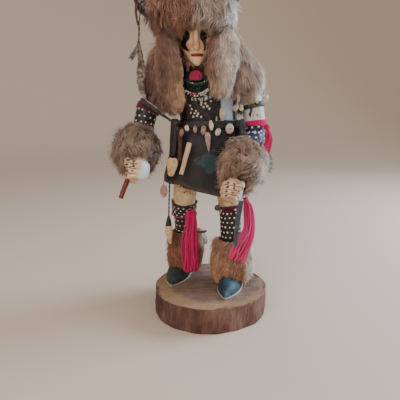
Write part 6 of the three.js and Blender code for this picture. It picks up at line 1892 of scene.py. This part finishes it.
def tassel(rows, pairs, r, seed, e0=0.9):
    """Yarn hung in loops: every strand goes down and comes back up."""
    g = np.random.default_rng(seed)
    L = Limb(rows, per=10)
    n = pairs * 2
    ang = np.arange(n) * 2.399 + g.uniform(0, 0.5, n)
    rad = np.sqrt((np.arange(n) + 0.6) / n) * 0.9
    order = np.argsort(rad * np.cos(ang))
    ang, rad = ang[order], rad[order]
    out = []

    def line(a, k, e, ph):
        s_ = np.linspace(0.0, e, 15)
        wob = 0.15 * np.sin(s_ * 6.2 + ph) + 0.07 * np.sin(s_ * 15 + 2 * ph)
        c = L._get(L.p, s_)
        u, v = L._get(L.u, s_), L._get(L.v, s_)
        x = (k * math.cos(a) + wob) * (c[:, 3] - r)
        y = (k * math.sin(a) + wob * 0.5) * (c[:, 4] - r)
        return c[:, :3] + u * x[:, None] + v * y[:, None]

    for i in range(0, n, 2):
        e = g.uniform(e0, 1.0)
        a, b = line(ang[i], rad[i], e, g.uniform(0, 6)), line(ang[i + 1], rad[i + 1], e - 0.01, g.uniform(0, 6))
        d = unit(a[-1] - a[-2]) * r * 2.0
        mid = (a[-1] + b[-1]) / 2 + d * 1.1
        pts = np.concatenate([a, [a[-1] + d * 0.6, mid, b[-1] + d * 0.6], b[::-1]])
        out.append(paint(tube(pts, r * g.uniform(0.9, 1.08), 6, 64), rnd=g.random()))
    return cat(out)


def knot(c, axis, r, turns, rr, seed):
    L = Limb([[*(arr(c) - unit(arr(axis)) * 2.4), r, r], [*(arr(c) + unit(arr(axis)) * 2.4), r, r]], per=6)
    return coil(L, 0.05, 0.95, turns, rr, 0, seed)


zL = arm_l.where(2, 268)
dz = 3.4 / arm_l.length
piece("yarn_arm_left", coil(arm_l, zL - dz, zL + dz, 3.2, 1.25, 0.2, 3), YARN, ["yarn_wrap_left"])
zR = arm_r.where(2, 289)
dzr = 3.2 / arm_r.length
piece("yarn_arm_right", coil(arm_r, zR - dzr, zR + dzr, 4.2, 0.95, 0.1, 4), YARN_DARK, ["yarn_wrap_right"])
TA = [[73.0, -6.5, 267, 2.6, 2.6], [74.8, -10.5, 261, 4.0, 3.6], [76.2, -11.5, 252, 5.6, 4.4], [74.6, -11.5, 240, 6.4, 4.8], [72, -11.5, 227, 4.6, 4]]
piece("yarn_tassel_arm", cat([tassel(TA, 7, 1.15, 5), knot([73.6, -8.0, 265.0], [0.3, -0.5, -1], 2.4, 2.2, 0.9, 6)]), YARN, ["tassel_arm_left"])
TR = [[-27.5, 6.5, 145, 6.4, 3.8], [-27.6, 6.0, 139, 9.2, 4.8], [-27.8, 5.6, 124, 11.0, 5.6], [-28.6, 4.6, 104, 12.4, 6.2], [-28.8, 2.6, 80, 13.2, 6.6], [-28.4, 1, 62, 12.8, 6.0], [-28, 0.6, 56.5, 11.0, 5.2]]
piece("yarn_tassel_leg_right", cat([tassel(TR, 16, 1.2, 7, 0.93), knot([-27.5, 6.4, 145.5], [0, 0.1, 1], 4.6, 1.6, 1.0, 8)]), YARN, ["tassel_leg_right"])
TL = [[47.4, -11.5, 168, 2.8, 2.8], [50.2, -13, 160, 5.6, 4.2], [51.8, -15, 153, 7.6, 4.8], [52.6, -20, 136, 9.4, 5.4], [49.5, -27, 121, 11.0, 5.8], [41.6, -31.4, 106, 14.4, 5.8], [35.6, -32.8, 93, 15, 5.4], [33.4, -32.4, 86, 13.0, 4.8]]
piece("yarn_tassel_leg_left", cat([tassel(TL, 15, 1.15, 9, 0.86), knot([47.6, -11.6, 168.0], [0.35, -0.2, -1], 2.4, 2.0, 0.9, 10)]), YARN_PAINTED_LIT, ["tassel_leg_left"])


# ---------------------------------------------------------------- bands on the limbs
def band(limb, s0, s1, off, wob=0.2, seed=1, sides=56, steps=20):
    ss_ = np.linspace(s0, s1, steps)
    th_ = np.linspace(0, 2 * math.pi, sides, endpoint=False)
    prof_ = off * np.clip(np.minimum(np.arange(steps), np.arange(steps)[::-1]) / 2.0, 0.35, 1) ** 0.5
    r = limb.at(ss_[:, None], th_[None], prof_[:, None])
    m = rings(r, length=ss_ * limb.length, edge=np.abs(np.linspace(-1, 1, steps)) ** 8)
    m["v"] += normals(m) * (wob * vnoise(m["v"], 5, seed))[:, None]
    return m


aL = arm_l.where(2, 293)
d_ = 3.6 / arm_l.length
al_b = band(arm_l, aL - d_, aL + d_, 2.2, 0.25, 4)
piece("arm_band", al_b, LEATHER_OLIVE, ["arm_band_left"])
# the strap across the right upper arm, with a thread of tiny white beads on its edge
AS = [[-92, -11.5, 300.6], [-80.2, -12.6, 292.3], [-69.8, -13.8, 284.8], [-52.8, -15.6, 273.8]]
as_m = strap(AS, [0, 0.3, 1], lambda f: lerp(6.2, 2.6, f), 1.5, 60, 9, bow=-0.4)
as_m["v"] += (0.3 * vnoise(as_m["v"], 8, 6))[:, None] * arr([0, -0.6, 0.6])
piece("arm_strap", as_m, LEATHER_BLACK, ["arm_strap_right"])
piece("arm_strap_beads", bead_row([[-90.5, -12.6, 304.4], [-84, -13.4, 299.4], [-76, -14.2, 293.2], [-70.5, -14.8, 289.4]], 0.75, [CREAM, CREAM, CREAM * 0.8], 60, 1.25), BEADS)
tie2 = strap([[-55.5, -14.6, 275.0], [-50, -17.2, 272.2], [-46, -18.2, 271.0], [-40, -20.2, 272.4]], [0, 0.2, 1], 3.0, 1.3, 24, 7)
piece("arm_strap_end", tie2, LEATHER_BLACK)

# legs
g0, g1 = leg_r.where(2, 155.5), leg_r.where(2, 133.5)
gr_m = band(leg_r, g0, g1, 2.7, 0.3, 5, 64, 30)
piece("garter_band_right", gr_m, LEATHER_BLACK, ["garter_right"])
gs = Limb([[*r[:3], r[3] + 2.6, r[4] + 2.6] for r in LEG_R])
gd = [limb_dots(gs, np.linspace(g0 + 0.022, g1 - 0.02, 4), 0.3, 15, 1.4, 8)]
for th_, z_, r_b in [(-1.9, 136, 1.9), (-1.35, 133.2, 1.9), (-2.5, 139.5, 1.6)]:
    s_ = gs.where(2, z_)
    gd.append(dome(gs.at(s_, th_), gs.normal(s_, th_), r_b, 1.7))
piece("garter_dots_right", cat(gd), DOTS)
yc = coil(gs, gs.where(2, 137.6), gs.where(2, 135.6), 1.1, 0.8, 0.1, 11)
piece("garter_yarn_right", yc, YARN)
# a tuft of bead ends along the top of the garter
tuft = []
g = np.random.default_rng(12)
for i in range(74):
    th_ = -math.pi / 2 + g.uniform(-1.5, 1.5) if i < 52 else g.uniform(0, 2 * math.pi)
    s_ = g0 + g.uniform(-0.004, 0.012)
    tone_ = [TEAL, BLACK, lin(150, 130, 60), BLACK, lin(70, 60, 40), CREAM][g.integers(0, 6)]
    if -0.95 < th_ < -0.1:
        tone_ = [lin(60, 90, 130), TEAL, LAV, CREAM][g.integers(0, 4)]
    tuft.append(bead(gs.at(s_, th_, 0.2), [g.normal(), g.normal(), g.normal()], g.uniform(0.8, 1.15), tone_))
piece("garter_beads_right", cat(tuft), BEADS)
g0, g1 = leg_l.where(2, 154.2), leg_l.where(2, 148.8)
piece("garter_band_left", cat([coil(leg_l, g0, g1, 3.4, 1.0, 0.1, 13)]), YARN_DARK, ["garter_left"])
bl = []
for th_, z_, r_b in [(-2.15, 151.5, 2.1), (-1.5, 151.0, 2.1), (-0.9, 151.2, 1.7), (2.4, 151.2, 1.8), (1.2, 151.2, 1.8)]:
    s_ = leg_l.where(2, z_)
    bl.append(bead(leg_l.at(s_, th_, 2.4), [0, 0, 1], r_b, CREAM, 0.9, 12, 8))
for i in range(26):
    th_ = g.uniform(-2.9, -0.2)
    s_ = leg_l.where(2, 149.2) + g.uniform(-0.01, 0.012)
    bl.append(bead(leg_l.at(s_, th_, 2.2), [g.normal(), g.normal(), g.normal()], 0.85, [BLACK, lin(90, 60, 70), CREAM, TEAL][g.integers(0, 4)]))
piece("garter_beads_left", cat(bl), BEADS)


def bell(c, r, axis, name, nodes):
    """A small crotal bell: a globe with a crimped waist, a slot and a loop."""
    m = oval([0, 0, 0], r, 36, 26)
    x, y, z = m["v"].T
    k = z / r[2]
    m["v"] += normals(m) * (0.28 * np.exp(-(k / 0.08) ** 2) - 1.2 * np.exp(-(x / 0.5) ** 2) * (k < -0.35) * (np.abs(y) < 3) - 0.7 * np.exp(-((np.hypot(x - 1.9, z + 1.2)) / 0.6) ** 2) * (y < 0))[:, None]
    loop = tube([[-1.0, 0, r[2] * 0.95], [-1.1, 0, r[2] + 1.2], [0, 0, r[2] + 2.0], [1.1, 0, r[2] + 1.2], [1.0, 0, r[2] * 0.95]], 0.42, 7, 20)
    m = cat([m, loop])
    m["v"] = m["v"] @ turn(*axis).T + arr(c)
    piece(name, m, METAL_OLIVE, nodes)


bell([9.4, -9.6, 154.4], [4.2, 3.8, 4.4], [0.1, 0.35, 0], "small_bell_left", ["garter_bell_left"])
# bent tin scrap on the right calf, with a wisp of down
tin = Limb([[-18.5, 4.0, 115.0, 1.6, 1.4], [-14.5, 2.8, 115.2, 2.6, 1.6], [-10.0, 2.2, 115.8, 2.4, 1.3], [-6.0, 1.8, 117.4, 1.0, 0.8]], per=10).skin(28, 1.0, 1.0, 36, lambda s_, th: 0.3 * np.sin(th * 5 + s_ * 6))
piece("tin_scrap", tin, METAL_OLIVE, ["bell_leg_right"])

# ---------------------------------------------------------------- thong end: cap and cone
cap = Limb([[-59.1, -4, 141.4, 1.5, 1.5], [-59.2, -4.1, 138, 2.4, 2.4], [-59.3, -4.2, 134, 3.4, 3.4], [-59.4, -4.4, 127, 4.4, 4.4]], per=10)
cap_m = paint(cap.skin(32, 0.8, 0.5, 40, lambda s_, th: 0.28 * np.sin(th * 9 + 5 * s_) * s_ - 0.1), edge=0.15)
cap_ob = piece("cap", cap_m, LEATHER_BLACK, ["thong_cap"])
cone = Limb([[-59.4, -4.4, 127.2, 4.9, 4.3], [-59.3, -4.5, 124, 5.3, 4.7], [-59, -4.6, 117, 4.9, 4.4], [-58.2, -4.8, 108, 3.3, 3.1], [-57.8, -4.9, 103, 2.0, 1.8], [-57.6, -5, 100.4, 0.9, 0.9]], per=10)
cone_m = cone.skin(36, 0.8, 0.5, 70, lambda s_, th: 0.16 * np.sin(s_ * 60) + 0.12 * np.sin(3 * th))
paint(cone_m, tone=lin(222, 190, 148))
cone_ob = piece("cone", cone_m, SHELL, ["cone_pendant"])


# ---------------------------------------------------------------- feathers
def feather(shaft, width, count, seed, name, mat, nodes, spread=0.6, flat=(0, 1, 0), curl=0.2):
    """A quill with separate barbs on both sides, each a closed blade."""
    g = np.random.default_rng(seed)
    L = even(shaft, 60)
    t = tangents(L)
    nrm = unit(arr(flat) - t * (t @ arr(flat))[:, None])
    sd = np.cross(t, nrm)
    quill = tube(shaft, lambda f: 0.5 * (1 - 0.7 * f) + 0.12, 7, 40)
    f = (np.arange(count) + g.random(count)) / count
    i = np.clip((f * 59).astype(int), 0, 59)
    sgn = np.where(np.arange(count) % 2, 1.0, -1.0)
    w = np.interp(f, *zip(*width)) * g.uniform(0.75, 1.12, count)
    d0 = unit(sd[i] * sgn[:, None] * (1 - spread * 0.35) + t[i] * (0.55 + 0.5 * f[:, None]) + nrm[i] * g.normal(0, 0.10, count)[:, None])
    d1 = unit(d0 + t[i] * 0.55 + nrm[i] * curl * g.normal(0, 1, count)[:, None])
    p0 = L[i]
    p1 = p0 + d0 * (w * 0.55)[:, None]
    p2 = p1 + d1 * (w * 0.6)[:, None]
    bw = 0.42

    def ring(c, dr, r):
        a = unit(np.cross(dr, nrm[i]))
        return [c + r * (math.cos(q_) * nrm[i] + math.sin(q_) * a) for q_ in (0, 2.094, 4.189)]
    v = np.stack([*ring(p0, d0, bw), *ring(p1, d0, bw * 0.9), p2], 1)
    k = (np.arange(count) * 7)[:, None]
    q_ = np.stack([k + [0, 1, 4, 3], k + [1, 2, 5, 4], k + [2, 0, 3, 5]], 1).reshape(-1, 4)
    t_ = np.stack([k + [3, 4, 6], k + [4, 5, 6], k + [5, 3, 6], k + [0, 2, 1]], 1).reshape(-1, 3)
    barbs = mesh(v.reshape(-1, 3), q_, t_, side=np.tile([0, 0, 0, 0.5, 0.5, 0.5, 1.0], count))
    paint(quill, side=0.0)
    return piece(name, cat([quill, barbs]), mat, nodes)


f1 = feather([[-92.4, -10.5, 373], [-92.0, -12.0, 364], [-90.6, -13.2, 354], [-88.4, -14.0, 344], [-86.4, -14.2, 337]], [(0, 2.5), (0.25, 5.5), (0.6, 6.5), (1, 4.0)], 120, 31, "feather_a", FEATHER_BROWN, ["feather_upper"], curl=0.35)
f1b = feather([[-92.6, -10.8, 369], [-94.8, -12.6, 363], [-98.0, -13.6, 357], [-102.0, -14.0, 351]], [(0, 2.0), (0.3, 5.0), (0.7, 6.5), (1, 4.5)], 46, 35, "feather_a_wisps", FEATHER_BROWN, [], curl=0.5)
f2 = feather([[-92.0, -9.3, 348], [-92.4, -9.8, 336], [-91.8, -10, 323], [-89.8, -10, 312], [-86.8, -9.8, 303]], [(0, 3), (0.2, 7.0), (0.6, 8.5), (1, 3.5)], 150, 32, "feather_b", FEATHER_GREY, ["feather_lower"], curl=0.25)
feather([[79.0, -3, 233], [81.8, -2.4, 222], [82.6, -2, 213], [81.4, -2, 204]], [(0, 1.5), (0.3, 4.6), (0.7, 5.4), (1, 3.0)], 110, 33, "feather_c", FEATHER_BLUE, ["feather_arm_left"], curl=0.3)
feather([[-13.0, 2.0, 115], [-10.0, 1.0, 112], [-8.0, 0.6, 106], [-7.2, 0.8, 99]], [(0, 2.5), (0.3, 5.0), (0.7, 5.4), (1, 3.0)], 80, 34, "down_wisp", FEATHER_BLUE, ["bell_leg_right"], curl=0.6)

quill_w = tube([[-13.0, -30.0, 392.5], [-13.3, -31.6, 388.0], [-13.6, -31.8, 383.5]], 0.42, 7, 14)
paint(quill_w, tone=lin(240, 238, 236))
piece("white_straw", quill_w, SHELL)

# ---------------------------------------------------------------- stick
sk = Limb([[-96, -50, 219, 2.9, 2.9], [-99.5, -53.4, 213, 3.0, 2.9], [-103.5, -57, 206, 3.1, 3.0], [-108.6, -61.2, 193.6, 3.0, 2.9], [-113, -65, 181.6, 2.9, 2.8]], per=12)
sk_m = sk.skin(26, 0.6, 0.7, 52, lambda s_, th: 0.14 * np.sin(th * 5 + 2 * s_) + 0.1 * np.sin(s_ * 40 + 2 * th))
piece("rattle_stick", sk_m, WOOD_RED, ["stick_right_hand"])

# ---------------------------------------------------------------- log slice
NB = 216
thb = np.linspace(0, 2 * math.pi, NB, endpoint=False)


def log_r(th_, z):
    f = 1 + 0.012 * np.sin(2 * th_ + 0.6) + 0.009 * np.sin(3 * th_ + 2.1) + 0.006 * np.sin(7 * th_ + z * 0.02) + 0.004 * np.sin(17 * th_ + 1.3)
    d = np.arctan2(np.sin(th_ - 3.34), np.cos(th_ - 3.34))
    notch = np.exp(-(d * d) / 0.006) * np.clip((z - 18) / 18, 0, 1)
    return f - 0.04 * notch, notch


zs = np.concatenate([[0, 0.6, 1.6], np.linspace(3, 33.4, 21), [34.4, 35.2, 35.8, 36.0]])
ks = np.interp(zs, [0, 1.6, 20, 34.4, 35.2, 36], [0.985, 0.997, 1.0, 0.999, 0.995, 0.984])
side_r, deep = [], []
for z, kk in zip(zs, ks):
    f, notch = log_r(thb, z)
    p = np.stack([81.5 * f * kk * np.cos(thb), 78.5 * f * kk * np.sin(thb), np.full(NB, z)], 1)
    q0 = np.stack([90 * np.cos(thb), 90 * np.sin(thb), np.full(NB, z * 0.35)], 1)
    rel = -1.3 * np.clip(fbm(q0, 9, 3) + 0.1, 0, 1) - 0.7 * np.abs(vnoise(q0 * [1, 1, 0.6], 3.4, 8)) - 0.9 * sstep(vnoise(q0 * [1, 1, 2.4], 15, 9), 0.15, 0.3)
    w_ = np.interp(z, [0, 2, 34, 36], [0.3, 1, 1, 0.45])
    dr = np.arctan2(np.sin(thb - 3.42 - (36 - z) * 0.010), np.cos(thb - 3.42 - (36 - z) * 0.010))
    crack = np.exp(-(dr / 0.011) ** 2) * sstep(z, 6, 16)
    rel = rel * w_ - 2.6 * crack
    side_r.append(p * (1 + (rel / 80))[:, None] * [1, 1, 0] + [0, 0, z])
    deep.append(np.clip(crack + 0.6 * notch * (z > 30), 0, 1))
top_r = []
for kk in np.linspace(0.982, 0.04, 18):
    f, notch = log_r(thb, 36)
    f = f * kk / 1.0 * 0.998
    if kk < 0.9:
        f = (f / kk - 1) * kk * kk + kk
    p = np.stack([81.5 * f * np.cos(thb), 78.5 * f * np.sin(thb), np.full(NB, 36.0)], 1)
    dr = np.arctan2(np.sin(thb - 3.42), np.cos(thb - 3.42))
    crack = np.exp(-(dr / (0.012 / kk)) ** 2) * sstep(kk, 0.55, 0.95)
    hz_ = 0.10 * vnoise(p * [0.1, 1, 1], 2.4, 3) + 0.10 * vnoise(p, 20, 4) - 0.08
    p[:, 2] += np.minimum(hz_, 0.12) - 1.5 * crack
    top_r.append(p)
    deep.append(np.clip(crack, 0, 1))
bot_r = [np.stack([81.5 * 0.985 * log_r(thb, 0)[0] * kk * np.cos(thb), 78.5 * 0.985 * log_r(thb, 0)[0] * kk * np.sin(thb), np.zeros(NB)], 1) for kk in (0.08, 0.5, 0.9)]
allr = np.stack(bot_r + side_r + top_r)
lv = np.concatenate([allr.reshape(-1, 3), [allr[0].mean(0)], [allr[-1].mean(0)]])
MB = len(allr)
j = np.arange(NB); k2 = (j + 1) % NB
i_ = np.arange(MB - 1)[:, None]
lq = np.stack([i_ * NB + j, i_ * NB + k2, (i_ + 1) * NB + k2, (i_ + 1) * NB + j], -1).reshape(-1, 4)
lt = np.concatenate([np.stack([np.full(NB, MB * NB), k2, j], 1), np.stack([np.full(NB, MB * NB + 1), (MB - 1) * NB + j, (MB - 1) * NB + k2], 1)])
log = mesh(lv, lq, lt, deep=np.concatenate([np.zeros(3 * NB), np.concatenate(deep), [0, 0]]))
log_ob_m = outward(log)
log_ob = piece("log_slice", log_ob_m, m_bark(), ["base_log_slice"])
log_ob.data.materials.append(m_sawn())
ncent = allr.mean(1)
face_ring = np.repeat(np.arange(MB - 1), NB)
istop = (face_ring >= 3 + len(zs) - 2) | (face_ring < 3)
mi = np.concatenate([istop, np.ones(2 * NB, bool)]).astype(np.int32)
log_ob.data.polygons.foreach_set("material_index", mi)


# ---------------------------------------------------------------- floor and light
N = 96
prof = [(0.0, 0.0), (0.4, 0.0), (1.0, 0.0), (1.5, 0.0), (1.75, 0.03), (1.95, 0.12), (2.1, 0.28), (2.18, 0.5), (2.2, 0.8), (2.2, 1.6), (2.2, 2.6)]
th = np.linspace(0, 2 * math.pi, N, endpoint=False)
fv = [np.stack([r * np.cos(th), r * np.sin(th), np.full(N, z_)], 1) for r, z_ in prof[1:]]
fm = mesh(np.concatenate([[[0, 0, 0]], *fv]) / MM)
q, t = [], []
for j in range(N):
    t.append([0, 1 + j, 1 + (j + 1) % N])
    for i in range(len(prof) - 2):
        q.append([1 + i * N + j, 1 + (i + 1) * N + j, 1 + (i + 1) * N + (j + 1) % N, 1 + i * N + (j + 1) % N])
fm["q"], fm["t"] = np.array(q), np.array(t)
fm["uvq"], fm["uvt"] = np.zeros((len(q), 4, 2)), np.zeros((len(t), 3, 2))
fm["v"][:, 2] -= 0.05
floor = bpy.data.objects.new("floor", as_mesh("floor", fm))
scene.collection.objects.link(floor)
k = Mat("floor_m", Roughness=0.9)
k.b.inputs["Base Color"].default_value = rgba(206, 190, 174)
floor.data.materials.append(k.m)


def area(name, at_, target, size, power, color):
    d = bpy.data.lights.new(name, "AREA")
    d.shape, d.size, d.energy, d.color = "DISK", size, power, color
    o = bpy.data.objects.new(name, d)
    o.location = at_
    o.rotation_euler = (Vector(target) - Vector(at_)).to_track_quat("-Z", "Y").to_euler()
    scene.collection.objects.link(o)


area("window", (1.25, 0.30, 0.72), (0, 0, 0.22), 0.9, 30.0, (0.72, 0.86, 1.0))
area("front_fill", (-0.55, -1.25, 1.0), (0, 0, 0.24), 1.1, 12.5, (1.0, 0.92, 0.85))
area("top", (0.1, -0.2, 1.7), (0, 0, 0.2), 1.2, 8.0, (1.0, 0.96, 0.92))
w = bpy.data.worlds.new("world")
scene.world = w
w.use_nodes = True
w.node_tree.nodes["Background"].inputs[0].default_value = (*[float(c) for c in lin(232, 224, 218)], 1)
w.node_tree.nodes["Background"].inputs[1].default_value = 0.55

print("PIECES", len(made), "TRIANGLES", sum(n for _, n in made), flush=True)
print("BIGGEST", sorted(made, key=lambda p: -p[1]), flush=True)
